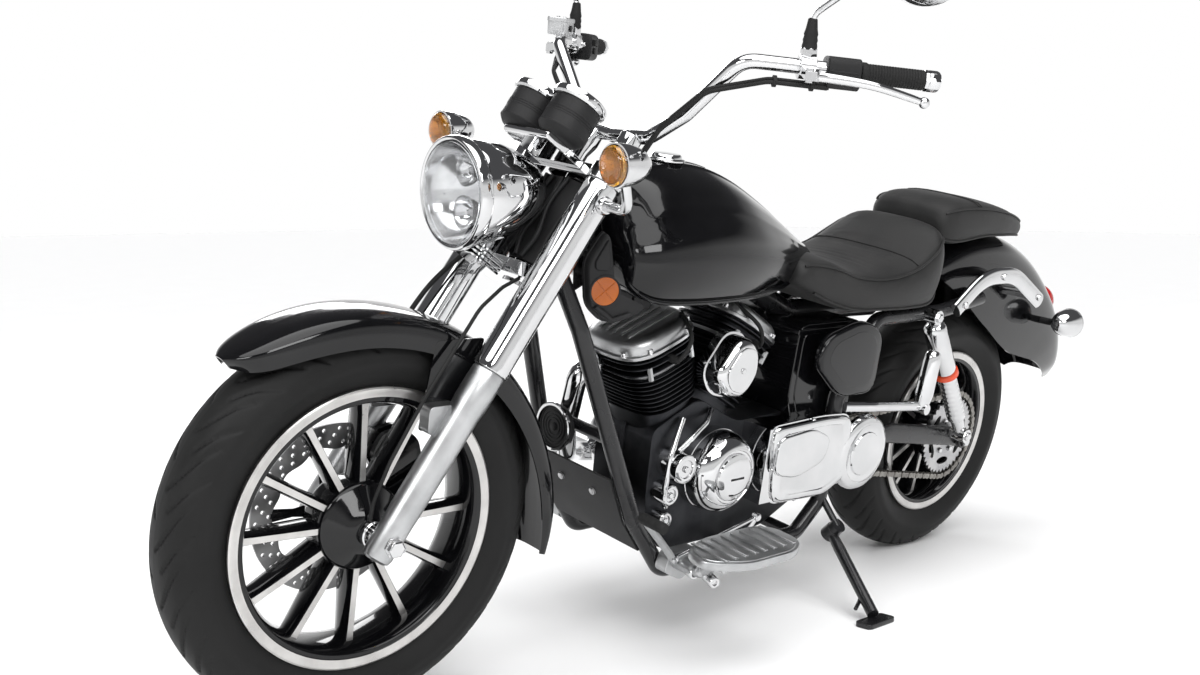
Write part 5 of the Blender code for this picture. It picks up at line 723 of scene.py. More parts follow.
# The fork, the front fender and the lamp
FENDER_SHELL = 0.003
FRONT_FENDER = [  # angle in degrees round the axle, crown radius, edge radius, half width
    (50, 0.386, 0.366, 0.016), (53, 0.384, 0.350, 0.046), (60, 0.380, 0.336, 0.066),
    (74, 0.374, 0.321, 0.0755), (92, 0.367, 0.311, 0.0765), (110, 0.364, 0.308, 0.0765),
    (128, 0.364, 0.308, 0.0765), (146, 0.366, 0.314, 0.0765), (164, 0.374, 0.326, 0.076),
    (182, 0.390, 0.348, 0.070), (196, 0.410, 0.388, 0.044)]
REAR_FENDER = [
    (66, 0.472, 0.440, 0.098), (78, 0.482, 0.360, 0.102), (92, 0.492, 0.300, 0.104),
    (106, 0.504, 0.272, 0.105), (120, 0.516, 0.262, 0.105), (134, 0.530, 0.275, 0.104),
    (146, 0.546, 0.320, 0.102), (156, 0.552, 0.385, 0.098), (164, 0.548, 0.440, 0.086),
    (169, 0.540, 0.490, 0.060)]
FENDER_SECTION = [  # share of half width, share of the way from edge to crown
    (1.000, 0.00), (0.995, 0.40), (0.930, 0.70), (0.760, 0.88), (0.420, 0.975), (0.0, 1.0)]


def fender_shape(centre, table):
    """A fender's thin shell, with its sides turned down to its edge."""
    half_section = through(FENDER_SECTION, 5)
    rings = []
    for angle, crown, edge, half_width in through(table, 8):
        outward = radial(math.radians(angle))
        rise = crown - edge
        arc = [(half_width * width, edge + rise * share) for width, share in half_section]
        arc += [(-sideways, radius) for sideways, radius in arc[-2::-1]]
        shrink = (half_width - FENDER_SHELL) / half_width
        depth = (rise - FENDER_SHELL) / rise
        inner = [(sideways * shrink, edge + (radius - edge) * depth)
                 for sideways, radius in arc[::-1]]
        rings.append([centre + outward * radius + Vector((0, sideways, 0))
                      for sideways, radius in arc + inner])
    return skin(rings)


def add_front_fender():
    outline = rounded_outline([(1.512, 0.505), (1.582, 0.505), (1.560, 0.655), (1.465, 0.655)],
                              0.008)
    lugs = [plate(outline, side * 0.0738, side * 0.0767) for side in (1, -1)]
    shape = together([fender_shape(FRONT_AXLE, FRONT_FENDER)] + lugs)
    piece("front_fender_shell", shape, GLOSS, "steering", "front_fender", sharp=40)


def fork_point(side, height):
    """A point of a fork leg's centre line, at a height along the leg above the axle."""
    return FRONT_AXLE + UP_FORK * height + Vector((0, FORK_HALF_TRACK * side, 0))


def stem_point(height):
    """A point of the steering axis, at a height along it above the axle's level."""
    return STEM_FOOT + UP_FORK * height


def fork_plane(ahead, up, sideways=0.0):
    """A point by its distances ahead of and up the fork legs' line from the axle."""
    return FRONT_AXLE + AHEAD_OF_FORK * ahead + UP_FORK * up + Vector((0, sideways, 0))


def fork_plate(outline, half_width):
    """A plate with an (ahead, up) outline by the fork's line, across the middle."""
    return skin([[fork_plane(ahead, up, sideways) for ahead, up in outline]
                 for sideways in (-half_width, half_width)])


def lathe_on_leg(side, profile, segments=64):
    """A turned shape on a fork leg, from (height along the leg, radius) pairs."""
    return turned(profile, fork_point(side, 0), UP_FORK, segments)


LEG_PROFILE = [(-0.034, 0.016), (-0.030, 0.0225), (-0.022, 0.0250), (0.045, 0.0255),
               (0.060, 0.0262), (0.240, 0.0272), (0.256, 0.0290), (0.262, 0.0295),
               (0.300, 0.0295), (0.304, 0.0288), (0.318, 0.0288), (0.3205, 0.0275)]
COVER_PROFILE = [(0.3210, 0.0300), (0.3215, 0.0320), (0.332, 0.0322), (0.337, 0.0314),
                 (0.600, 0.0312), (0.672, 0.0310), (0.684, 0.0306), (0.690, 0.0295)]
TOP_PROFILE = [(0.700, 0.0262), (0.728, 0.0262), (0.7345, 0.0235), (0.7352, 0.012)]


def add_fork_legs():
    """The two lower legs with their fender lugs and pinch bolts, and the axle through them."""
    shapes = []
    for side in (1, -1):
        lug = rounded_outline([(1.520, 0.505), (1.582, 0.505), (1.582, 0.553), (1.520, 0.553)],
                              0.012)
        pinch = fork_point(side, 0.004) - AHEAD_OF_FORK * 0.026
        shapes += [lathe_on_leg(side, LEG_PROFILE), plate(lug, side * 0.0770, side * 0.1050)]
        shapes += [bolt(Vector((1.551, side * 0.0772, height)), Vector((0, -side, 0)), 0.0055,
                        0.0045) for height in (0.516, 0.542)]
        shapes.append(rod(pinch - AXLE_LINE * 0.014, pinch + AXLE_LINE * 0.014, 0.0085))
    reach = AXLE_LINE * (FORK_HALF_TRACK + 0.028)
    shapes += [rod(FRONT_AXLE - reach, FRONT_AXLE + reach, 0.010),
               turned([(0.0683, 0.020), (0.0690, 0.0235), (0.078, 0.0240), (0.080, 0.0215),
                       (FORK_HALF_TRACK, 0.0200)], FRONT_AXLE, AXLE_LINE, 64),
               turned([(-FORK_HALF_TRACK, 0.020), (-0.0703, 0.020)], FRONT_AXLE, AXLE_LINE, 48),
               bolt(FRONT_AXLE + AXLE_LINE * (FORK_HALF_TRACK + 0.0255), AXLE_LINE, 0.0150,
                    0.0135)]
    slots = [0, 0, 1, 1, 0] * 2 + [1] * 4
    piece("fork_lower_castings", together(shapes, slots), [SATIN, CHROME], "steering",
          "fork_lower_legs", sharp=40, bevel=0.0008)


def yoke_shape(height, depth, boss_radius):
    """A fork clamp: a waisted bar with a boss round each leg and the stem."""
    low = UP_FORK * (-depth / 2)
    high = UP_FORK * (depth / 2)
    bosses = [rod(fork_point(side, height) + low, fork_point(side, height) + high,
                  boss_radius, 64) for side in (1, -1)]
    stem = rod(stem_point(height) + low, stem_point(height) + high, 0.034, 64)
    outline = rounded_outline([(-FORK_HALF_TRACK, 0.020), (-0.078, -0.060), (0.078, -0.060),
                               (FORK_HALF_TRACK, 0.020), (0.055, 0.022), (-0.055, 0.022)],
                              0.02, 5)
    middle = FRONT_AXLE + UP_FORK * height
    bar = skin([[middle + AHEAD_OF_FORK * ahead + AXLE_LINE * sideways + UP_FORK * lift
                 for sideways, ahead in outline] for lift in (-depth * 0.38, depth * 0.38)])
    return [bar, stem] + bosses


LOWER_YOKE = 0.500
UPPER_YOKE = 0.705


def add_yokes():
    shapes = yoke_shape(LOWER_YOKE, 0.034, 0.030) + yoke_shape(UPPER_YOKE, 0.030, 0.033)
    for side in (1, -1):
        shapes.append(lathe_on_leg(side, COVER_PROFILE, 96))
        shapes.append(lathe_on_leg(side, TOP_PROFILE))
    shapes.append(rod(stem_point(LOWER_YOKE), stem_point(0.733), 0.0125))
    shapes.append(bolt(stem_point(0.720), UP_FORK, 0.018, 0.011))
    piece("fork_chrome", together(shapes), CHROME, "steering", "fork_yokes", sharp=40,
          bevel=0.0012)


HEADLAMP_FRONT = Vector((1.502, 0, 0.884))
HEADLAMP_AXIS = Vector((math.cos(math.radians(3)), 0, -math.sin(math.radians(3))))
LAMP_SHELL = [(-0.180, 0.004), (-0.179, 0.014), (-0.170, 0.034), (-0.152, 0.051),
              (-0.130, 0.064), (-0.108, 0.0745), (-0.085, 0.082), (-0.055, 0.0875),
              (-0.020, 0.0905)]
LAMP_BEZEL = [(-0.020, 0.0900), (-0.019, 0.0935), (-0.014, 0.0955), (-0.003, 0.0958),
              (0.003, 0.0940), (0.0045, 0.0905), (0.002, 0.0868), (-0.006, 0.0862),
              (-0.012, 0.0885)]
LAMP_REFLECTOR = [(-0.006, 0.0858), (-0.018, 0.0830), (-0.034, 0.0740), (-0.048, 0.0600),
                  (-0.060, 0.0420), (-0.068, 0.0240), (-0.070, 0.0130)]
LAMP_LENS = [(-0.0045, 0.0855), (-0.001, 0.0862), (0.004, 0.0845), (0.008, 0.0760),
             (0.0115, 0.0600), (0.0140, 0.0400), (0.0152, 0.0200), (0.0155, 0.0013)]
BULB_CUP = [  # depth, share of the cup's radius
    (-0.052, 0.30), (-0.044, 0.72), (-0.032, 0.95), (-0.026, 1.0), (-0.024, 0.97),
    (-0.030, 0.90), (-0.040, 0.66), (-0.048, 0.30)]
SHELL_WALL = 0.0022
SHELL_STEP = 0.006
LENS_WALL = 0.0025


def add_headlamp_bowl():
    """The bright hollow bowl with its bezel, its finned bracket and the neck below it."""
    hollow = [(depth + SHELL_STEP, max(radius - SHELL_WALL, LAMP_SHELL[0][1]))
              for depth, radius in LAMP_SHELL[::-1]]
    shapes = [turned(LAMP_SHELL + hollow, HEADLAMP_FRONT, HEADLAMP_AXIS, 96),
              ring_body(LAMP_BEZEL, HEADLAMP_FRONT, HEADLAMP_AXIS, 96)]
    for up in (0.4725, 0.4800, 0.4875, 0.4950):
        outline = [(0.030, up), (0.096, up), (0.102, up + 0.0016), (0.102, up + 0.0032),
                   (0.096, up + 0.0048), (0.030, up + 0.0048)]
        shapes.append(fork_plate(outline, 0.030))
    neck = [(0.0225, 0.480), (0.070, 0.470), (0.085, 0.500), (0.060, 0.540), (0.0225, 0.516)]
    shapes.append(fork_plate(rounded_outline(neck, 0.008), 0.022))
    piece("headlamp_bowl", together(shapes), CHROME, "steering", "headlamp", sharp=40,
          bevel=0.0008)


def add_headlamp_optics():
    """The reflector bowl with its two bulb cups, behind a thin fluted lens."""
    reflector = turned(LAMP_REFLECTOR, HEADLAMP_FRONT, HEADLAMP_AXIS, 96, caps=False)
    bmesh.ops.reverse_faces(reflector, faces=reflector.faces)
    shapes = [reflector]
    axis_up = HEADLAMP_AXIS.cross(AXLE_LINE).normalized() * -1
    for rise, radius in ((0.034, 0.030), (-0.036, 0.026)):
        centre = HEADLAMP_FRONT + axis_up * rise
        cup = [(depth, radius * share) for depth, share in BULB_CUP]
        shapes += [ring_body(cup, centre, HEADLAMP_AXIS, 48),
                   turned([(-0.050, 0.006), (-0.036, 0.0065), (-0.030, 0.004)], centre,
                          HEADLAMP_AXIS, 24)]
    piece("headlamp_reflector", together(shapes), POLISHED, "steering")
    inside = [(depth - LENS_WALL, radius - LENS_WALL * 0.4) for depth, radius in LAMP_LENS[::-1]]
    lens = ring_body(LAMP_LENS + inside, HEADLAMP_FRONT, HEADLAMP_AXIS, 96)
    piece("headlamp_front_glass", lens, FLUTED, "steering", "headlamp_lens")


WIRING_COVER = [(-0.043, 0.060), (-0.020, 0.060), (-0.003, 0.052), (0.006, 0.030)]
WIRING_WALL = 0.004


def add_wiring_cover():
    """The dark cover and loom in front of the steering head, between the yokes."""
    outer = WIRING_COVER + [(ahead, -out) for ahead, out in WIRING_COVER[::-1]]
    inner = [(ahead - WIRING_WALL, out - math.copysign(WIRING_WALL, out))
             for ahead, out in outer[::-1]]
    rings = [[fork_plane(ahead, up, out) for ahead, out in outer + inner]
             for up in (0.522, 0.526, 0.600, 0.684, 0.688)]
    shapes = [skin(rings)]
    for out, swing in ((0.030, 0.012), (0.014, -0.010), (-0.012, 0.010), (-0.030, -0.008)):
        line = [fork_plane(0.009, 0.526, out), fork_plane(0.013, 0.570, out + swing),
                fork_plane(0.012, 0.630, out - swing * 0.5), fork_plane(0.009, 0.686, out)]
        shapes.append(swept(smooth_line(line), 0.0042, 12))
    piece("head_wiring_cover", together(shapes), MATTE, "steering", bevel=0.0008)


GAUGE_SIDE = 0.055
GAUGE_AHEAD = 0.090
GAUGE_FOOT = 0.714
DIAL_MARKS = 25
DIAL_START = -220  # degrees
DIAL_STEP = 10.4
DIAL_EDGE = 0.041


def gauge_profile():
    """A gauge's cup with a ribbed wall below its bright bezel."""
    profile = [(0.0005, 0.010), (0.0, 0.028), (0.004, 0.0365), (0.010, 0.0425)]
    for start in (0.012, 0.034, 0.038, 0.042):
        profile += [(start, 0.0438), (start + 0.0006, 0.0445), (start + 0.0028, 0.0446),
                    (start + 0.0034, 0.0439)]
    profile += [(0.0665, 0.0440), (0.0668, 0.030)]
    return profile


GAUGE_BEZEL = [
    (0.0662, 0.0440), (0.0668, 0.0470), (0.0705, 0.0500), (0.0790, 0.0500), (0.0822, 0.0480),
    (0.0830, 0.0455), (0.0800, 0.0440), (0.0740, 0.0430)]
DIAL_FACE = 0.0722


def dial_shape(centre):
    """The dial with its marks, its needle and the needle's hub."""
    face = centre + UP_FORK * DIAL_FACE
    marks = []
    for step in range(DIAL_MARKS):
        angle = math.radians(DIAL_START + step * DIAL_STEP)
        outward = AHEAD_OF_FORK * math.cos(angle) + AXLE_LINE * math.sin(angle)
        length = 0.008 if step % 4 == 0 else 0.004
        marks.append(swept([face + outward * radius
                            for radius in (DIAL_EDGE - length, DIAL_EDGE)], 0.0005, 4))
    over = centre + UP_FORK * 0.0745
    needle = swept([over + AHEAD_OF_FORK * 0.010, over - AHEAD_OF_FORK * 0.032],
                   [0.0016, 0.0005], 8)
    dial = turned([(0.0700, 0.0435), (DIAL_FACE, 0.0435)], centre, UP_FORK, 64)
    hub = turned([(DIAL_FACE, 0.006), (0.0760, 0.005)], centre, UP_FORK, 24)
    return together([dial] + marks + [needle, hub], [0] + [1] * DIAL_MARKS + [2, 0])


def add_gauges():
    """Two gauges side by side on a plate above the upper yoke."""
    for side, hand in HANDS:
        centre = fork_plane(GAUGE_AHEAD, GAUGE_FOOT, GAUGE_SIDE * side)
        cup = turned(gauge_profile(), centre, UP_FORK, 64)
        piece("gauge_cup_" + hand, cup, MATTE, "steering", "gauges", sharp=30)
        bezel = ring_body(GAUGE_BEZEL, centre, UP_FORK, 96)
        piece("gauge_bezel_" + hand, bezel, CHROME, "steering")
        piece("gauge_dial_" + hand, dial_shape(centre), [MATTE, WHITE, RED_PAINT], "steering")
        pane = turned([(0.0775, 0.0438), (0.0790, 0.0438)], centre, UP_FORK, 64)
        piece("gauge_glass_" + hand, pane, CLEAR, "steering")
    base = fork_plate([(0.0223, 0.7005), (0.114, 0.7005), (0.118, 0.7045), (0.118, 0.7120),
                       (0.114, 0.7155), (0.0223, 0.7155)], 0.062)
    piece("gauge_plate", base, CHROME, "steering", bevel=0.002)


SIGNAL_CENTRE = Vector((1.348, 0.248, 0.966))
SIGNAL_BODY = [(-0.046, 0.003), (-0.0455, 0.009), (-0.040, 0.018), (-0.032, 0.0240),
               (-0.018, 0.0300), (0.000, 0.0345), (0.016, 0.0360), (0.0200, 0.0360),
               (0.0215, 0.0345)]
SIGNAL_LENS = [(0.0205, 0.0345), (0.022, 0.0345), (0.028, 0.0315), (0.0335, 0.0240),
               (0.0370, 0.0140), (0.0380, 0.0030)]


def signal_shapes(centre, axis, stalk):
    """A signal's housing on its stalk, its lens and its amber bulb cover."""
    body = turned(SIGNAL_BODY, centre, axis, 64)
    ring = ring_body([(0.0190, 0.0350), (0.0200, 0.0368), (0.0225, 0.0366), (0.0230, 0.0340)],
                     centre, axis, 64)
    lens = turned(SIGNAL_LENS, centre, axis, 64)
    bulb = turned([(0.0222, 0.0290), (0.0228, 0.0300), (0.0268, 0.0270), (0.0290, 0.018),
                   (0.0300, 0.006)], centre, axis, 48)
    return together([body, ring, stalk]), lens, bulb


def add_signal(names, node, side, shapes, body):
    """A signal's shell, clear lens and amber bulb cover, on the left or mirrored."""
    shell, lens, bulb = [mirrored(shape, side) for shape in shapes]
    piece(names % "shell", shell, CHROME, body, node, sharp=40)
    piece(names % "lens", lens, CLEAR, body)
    piece(names % "amber", bulb, AMBER, body)


def add_front_signals():
    for side, hand in HANDS:
        root = fork_plane(0.0, 0.655, FORK_HALF_TRACK + 0.0313)
        stalk = swept(smooth_line([root, root + Vector((0, 0.020, 0)),
                                   root + Vector((0.01, 0.070, 0.008)),
                                   SIGNAL_CENTRE + Vector((-0.01, -0.02, 0))]),
                      0.0092, 24)
        collar = turned([(0.0, 0.016), (0.004, 0.0165), (0.010, 0.013)], root, AXLE_LINE, 32)
        node = "front_signal_" + hand
        add_signal(node + "_%s", node, side,
                   signal_shapes(SIGNAL_CENTRE, HEADLAMP_AXIS, together([stalk, collar])),
                   "steering")


add_front_fender()
add_fork_legs()
add_yokes()
add_headlamp_bowl()
add_headlamp_optics()
add_wiring_cover()
add_gauges()
add_front_signals()


# Handlebar, grips, levers, mirrors and cables
BAR_RADIUS = 0.0127
BAR_MIDDLE = stem_point(UPPER_YOKE + 0.105)
BAR_CORNERS = [BAR_MIDDLE + Vector(step) for step in (
    (0, 0, 0), (-0.013, 0.085, 0.006), (-0.0341, 0.150, 0.0539), (-0.053, 0.2501, 0.155),
    (-0.325, 0.445, 0.1519))]
BAR_KNEE = BAR_CORNERS[-2]
GRIP_LINE = (BAR_CORNERS[-1] - BAR_KNEE).normalized()
GRIP_OUT = GRIP_LINE.cross(UP).normalized()
GRIP_START = 0.199
GRIP_END = 0.307


def grip_point(along, out=0.0, up=0.0):
    """A point near the left grip, from its distance along the bar past the knee."""
    return BAR_KNEE + GRIP_LINE * along + GRIP_OUT * out + UP * up


def block_on_bar(start, end, half_out, half_up, out, up, rounding):
    """A block along the grip's line, rounded round its four long edges."""
    corners = rounded_outline([(-half_out, -half_up), (half_out, -half_up),
                               (half_out, half_up), (-half_out, half_up)], rounding)
    stations = [(start, 0.9), (start + 0.002, 1.0), (end - 0.002, 1.0), (end, 0.9)]
    return skin([[grip_point(along, out + a * size, up + b * size) for a, b in corners]
                 for along, size in stations])


def riser_shapes(side):
    """One riser: a turned post on the upper yoke with a clamp round the bar."""
    foot = stem_point(UPPER_YOKE + 0.0093) + AXLE_LINE * (0.052 * side)
    post = turned([(0, 0.0185), (0.004, 0.0190), (0.006, 0.0150), (0.050, 0.0148),
                   (0.068, 0.0200), (0.074, 0.0212), (0.098, 0.0212), (0.104, 0.0160)],
                  foot, UP_FORK, 48)
    screws = [bolt(foot + UP_FORK * 0.1035 + AHEAD_OF_FORK * ahead, UP_FORK, 0.0042, 0.004)
              for ahead in (-0.011, 0.011)]
    return [post] + screws


def add_handlebar():
    left = BAR_CORNERS
    right = [Vector((corner.x, -corner.y, corner.z)) for corner in BAR_CORNERS[:0:-1]]
    shapes = [swept(bent_line(right + left, 0.045, 10), BAR_RADIUS, 40)]
    for side in (1, -1):
        shapes += riser_shapes(side)
        cap = turned([(0.0003, 0.0150), (0.001, 0.0176), (0.006, 0.0180), (0.007, 0.0172),
                      (0.008, 0.0180), (0.022, 0.0180), (0.0265, 0.0160), (0.0272, 0.0120),
                      (0.0255, 0.0100), (0.0255, 0.003)], grip_point(GRIP_END), GRIP_LINE, 8)
        shapes.append(mirrored(cap, side))
    piece("bar_tube", together(shapes), CHROME, "steering", "handlebar", sharp=40,
          bevel=0.0006)


def grip_profile():
    """A soft grip's outline: an inner flange and fine ribs round the sleeve."""
    profile = [(0.0, 0.0130), (0.0, 0.0178), (0.002, 0.0186), (0.008, 0.0186),
               (0.0105, 0.0172)]
    start = 0.013
    pitch = 0.0048
    while start + pitch < GRIP_END - GRIP_START - 0.003:
        profile += [(start, 0.0163), (start + 0.0007, 0.0169), (start + 0.0032, 0.0170),
                    (start + 0.0040, 0.0164)]
        start += pitch
    profile += [(GRIP_END - GRIP_START - 0.002, 0.0170), (GRIP_END - GRIP_START, 0.0160),
                (GRIP_END - GRIP_START, 0.0130)]
    return profile


def button(along, up, face, radius):
    """A round push button on the switch housing's rear face."""
    return rod(grip_point(along, -0.028, up), grip_point(along, face, up), radius, 24)


def switch_shapes(side):
    """The switch housing with its split line, its buttons and a small switch block."""
    shapes = [block_on_bar(0.140, 0.197, 0.0255, 0.0265, -0.004, -0.004, 0.014),
              block_on_bar(0.143, 0.194, 0.0263, 0.0020, -0.004, -0.002, 0.0015)]
    if side > 0:
        shapes += [button(0.152, 0.007, -0.0350, 0.0062),
                   block_on_bar(0.166, 0.184, 0.0035, 0.0045, -0.0318, 0.006, 0.002),
                   button(0.165, -0.011, -0.034, 0.0070)]
    else:
        shapes += [block_on_bar(0.150, 0.168, 0.0035, 0.0060, -0.0318, 0.006, 0.002),
                   button(0.162, -0.011, -0.033, 0.0062), button(0.180, 0.002, -0.032, 0.0040)]
    return shapes, [0, 0, 1, 1, 0]


CABLE_ROOTS = [(0.008, -0.0250, 0.0030), (0.0135, -0.0300, 0.0034), (0.0030, -0.0315, 0.0030)]


def add_grips():
    """Each end of the bar: the grip, the switch box and the tied cables that run inwards."""
    for side, hand in HANDS:
        sleeve = turned(grip_profile(), grip_point(GRIP_START), GRIP_LINE, 48)
        piece("grip_sleeve_" + hand, mirrored(sleeve, side), RUBBER, "steering",
              "grip_" + hand, sharp=30)
        shapes, slots = switch_shapes(side)
        piece("switch_box_" + hand, mirrored(together(shapes, slots), side), [MATTE, RUBBER],
              "steering", sharp=35, bevel=0.0008)
        cables = []
        for ahead, below, radius in CABLE_ROOTS:
            start = grip_point(0.146, ahead, below)
            line = bent_line([start, grip_point(0.045, ahead, below),
                              BAR_KNEE + Vector((0.036, -0.040, -0.0273 + below)),
                              BAR_KNEE + Vector((0.052, -0.125, -0.0993 + below)),
                              BAR_KNEE + Vector((0.064, -0.176, -0.150 + below * 2))],
                             0.05, 8)
            cables.append(swept(line, radius, 16))
        for along in (0.118, 0.055):
            ties = grip_point(along, 0.008, -0.0285)
            cables.append(turned([(-0.003, 0.0098), (0.003, 0.0098)], ties, GRIP_LINE, 24))
        piece("bar_cables_" + hand, mirrored(together(cables), side), RUBBER, "steering")


PERCH = 0.108
LEVER_BALL = 0.0095
LEVER_POINTS = [(-0.006, 0.040, -0.014), (0.035, 0.052, -0.014), (0.100, 0.054, -0.018),
                (0.165, 0.048, -0.030), (0.192, 0.046, -0.036)]


def lever_shapes():
    """The perch round the bar with its pinch bolt, pivot and lever."""
    perch = turned([(-0.015, 0.0180), (-0.014, 0.0208), (0.012, 0.0212), (0.014, 0.0180)],
                   grip_point(PERCH), GRIP_LINE, 40)
    arm = skin([[grip_point(PERCH + along, out, up + lift) for along, out, up in
                 ((-0.013, 0.012, -0.004), (-0.012, 0.052, -0.014), (0.006, 0.058, -0.014),
                  (0.014, 0.048, -0.014), (0.014, 0.012, -0.004))]
                for lift in (-0.0075, 0.0075)])
    line = smooth_line([grip_point(PERCH + along, out, up)
                        for along, out, up in LEVER_POINTS])
    last = len(line) - 1
    blade = swept(line, [0.0088 - 0.0032 * step / last for step in range(len(line))], 20,
                  0.72, UP)
    stations = [math.pi * (step + 0.5) / 12 for step in range(12)]
    ball = turned([(-math.cos(turn) * LEVER_BALL, math.sin(turn) * LEVER_BALL)
                   for turn in stations], line[-1], UP, 24)
    pivot = rod(grip_point(0.104, 0.046, -0.025), grip_point(0.104, 0.046, -0.002), 0.0066, 24)
    pinch = [bolt(grip_point(PERCH + shift, -0.0195, 0.0), -GRIP_OUT, 0.0042, 0.004)
             for shift in (-0.008, 0.008)]
    return [perch, arm, blade, ball, pivot] + pinch


def reservoir_shapes():
    """The brake fluid pot on the right perch: a rounded pot, a lid and two screws."""
    turn = Matrix.Rotation(math.atan2(GRIP_LINE.y, GRIP_LINE.x), 4, "Z")
    place = Matrix.Translation(grip_point(0.058, 0.014, 0.012)) @ turn
    outline = rounded_outline([(-0.030, -0.020), (0.030, -0.020), (0.030, 0.020),
                               (-0.030, 0.020)], 0.008)
    pot = level_plate(outline, (0, 0), [(0.0, 0.90), (0.003, 0.96), (0.0255, 1.0),
                                        (0.0256, 1.05), (0.0325, 1.05), (0.034, 1.01)])
    shapes = [moved(pot, place)]
    for x in (-0.022, 0.022):
        shapes.append(moved(bolt(Vector((x, 0, 0.034)), UP, 0.0035, 0.0022, 20), place))
    shapes.append(rod(grip_point(0.068, 0.014, 0.012), grip_point(PERCH, 0.008, 0.006), 0.0115))
    window = turned([(0.0, 0.0065), (0.002, 0.0065)], grip_point(0.058, -0.0065, 0.026),
                    -GRIP_OUT, 24)
    return shapes, window


MIRROR_CENTRE = BAR_KNEE + Vector((-0.120, 0.250, 0.152))
MIRROR_KNEE = BAR_KNEE + Vector((-0.088, 0.135, 0.128))
MIRROR_HALF_WIDTH = 0.068
MIRROR_HALF_HEIGHT = 0.044
MIRROR_STEPS = 72
MIRROR_AXIS = Vector((0.97, 0.10, -0.06)).normalized()
MIRROR_SHELL = [(-0.0095, 0.955), (-0.0088, 0.990), (-0.004, 1.0), (0.003, 0.985),
                (0.009, 0.930), (0.015, 0.800), (0.0195, 0.600), (0.0215, 0.380),
                (0.0220, 0.10)]


def oval(depth, size):
    """An oval ring round the mirror's centre at a depth along its axis."""
    up_line = MIRROR_AXIS.cross(AXLE_LINE)
    middle = MIRROR_CENTRE + MIRROR_AXIS * depth
    turns = [math.tau * step / MIRROR_STEPS for step in range(MIRROR_STEPS)]
    return [middle + AXLE_LINE * (MIRROR_HALF_WIDTH * size * math.cos(turn))
            + up_line * (MIRROR_HALF_HEIGHT * size * math.sin(turn)) for turn in turns]


def add_controls():
    """The levers on their perches, with the mirrors above and the brake pot on the right."""
    for side, hand in HANDS:
        foot = grip_point(PERCH)
        knuckle = turned([(0.012, 0.0135), (0.018, 0.0145), (0.030, 0.0140), (0.034, 0.010)],
                         foot, UP, 6)
        line = bent_line([foot + UP * 0.030, foot + UP * 0.085, MIRROR_KNEE,
                          MIRROR_CENTRE + Vector((0.014, -0.030, -0.014))], 0.03, 8)
        stem = swept(line, 0.0052, 24)
        socket = turned([(0.0, 0.0085), (0.010, 0.0100), (0.018, 0.0085)],
                        MIRROR_CENTRE + Vector((0.012, -0.030, -0.014)),
                        MIRROR_CENTRE - MIRROR_KNEE, 24)
        shell = skin([oval(depth, size) for depth, size in MIRROR_SHELL])
        shapes = lever_shapes() + [knuckle, stem, socket, shell]
        if side < 0:
            extras, window = reservoir_shapes()
            piece("brake_pot", mirrored(together(extras), side), SATIN, "steering",
                  bevel=0.0006)
            piece("brake_pot_window", mirrored(window, side), MATTE, "steering")
        piece("perch_and_mirror_" + hand, mirrored(together(shapes), side), CHROME, "steering",
              "controls_" + hand, sharp=38, bevel=0.0005)
        boot = turned([(0.028, 0.0125), (0.034, 0.0130), (0.040, 0.0118), (0.044, 0.0126),
                       (0.050, 0.0112), (0.054, 0.0120), (0.062, 0.0100), (0.078, 0.0078),
                       (0.080, 0.0050)], foot, UP, 32)
        piece("mirror_boot_" + hand, mirrored(boot, side), RUBBER, "steering")
        face = skin([oval(-0.0096, 0.94), oval(-0.0104, 0.94)])
        piece("mirror_glass_" + hand, mirrored(face, side), MIRROR_GLASS, "steering")


CABLE_PLACES = [(0.010, 0.4858, 0.060), (0.034, 0.455, 0.066), (0.064, 0.400, 0.084),
                (0.073, 0.230, 0.096), (0.060, 0.110, 0.090), (0.037, 0.045, 0.0765),
                (0.0230, 0.0155, 0.0765)]
CALIPER_OUTLINE = [(-0.020, 0.095), (-0.020, 0.175), (0.020, 0.185), (0.060, 0.170),
                   (0.072, 0.130), (0.050, 0.095)]


def add_caliper_and_cable():
    line = bent_line([fork_plane(*place) for place in CABLE_PLACES], 0.06, 8)
    piece("speedometer_drive_cable", swept(line, 0.0032, 20), RUBBER, "steering",
          "speedometer_cable")
    turn = Matrix.Rotation(math.radians(-60), 4, "Y")
    place = Matrix.Translation(FRONT_AXLE)
    outline = rounded_outline(CALIPER_OUTLINE, 0.012)
    outer = plate(outline, -0.0705, -0.0830)
    inner = plate(outline, -0.0450, -0.0560)
    bridge = plate(rounded_outline([(-0.016, 0.158), (0.016, 0.172), (0.058, 0.160),
                                    (0.060, 0.170), (0.020, 0.185), (-0.020, 0.175)], 0.004),
                   -0.050, -0.076)
    pistons = [turned([(0, 0.0185), (0.003, 0.0185), (0.005, 0.016)],
                      Vector((x, -0.0828, z)), -AXLE_LINE, 40)
               for x, z in ((0.006, 0.136), (0.046, 0.132))]
    screws = [bolt(Vector((x, -0.0826, z)), -AXLE_LINE, 0.0055, 0.004)
              for x, z in ((-0.010, 0.165), (0.058, 0.156))]
    shapes = [moved(moved(shape, turn), place)
              for shape in [outer, inner, bridge] + pistons + screws]
    piece("caliper_body", together(shapes, [0, 0, 0, 0, 0, 1, 1]), [FRAME_BLACK, STEEL],
          "steering", "front_brake_caliper", bevel=0.0012)
    hose = smooth_line([fork_plane(-0.03, 0.150, -0.088), fork_plane(0.034, 0.260, -0.112),
                        fork_plane(0.050, 0.400, -0.100), fork_plane(0.030, 0.520, -0.070)], 10)
    piece("brake_hose", swept(hose, 0.0045, 20), RUBBER, "steering")


add_handlebar()
add_grips()
add_controls()
add_caliper_and_cable()


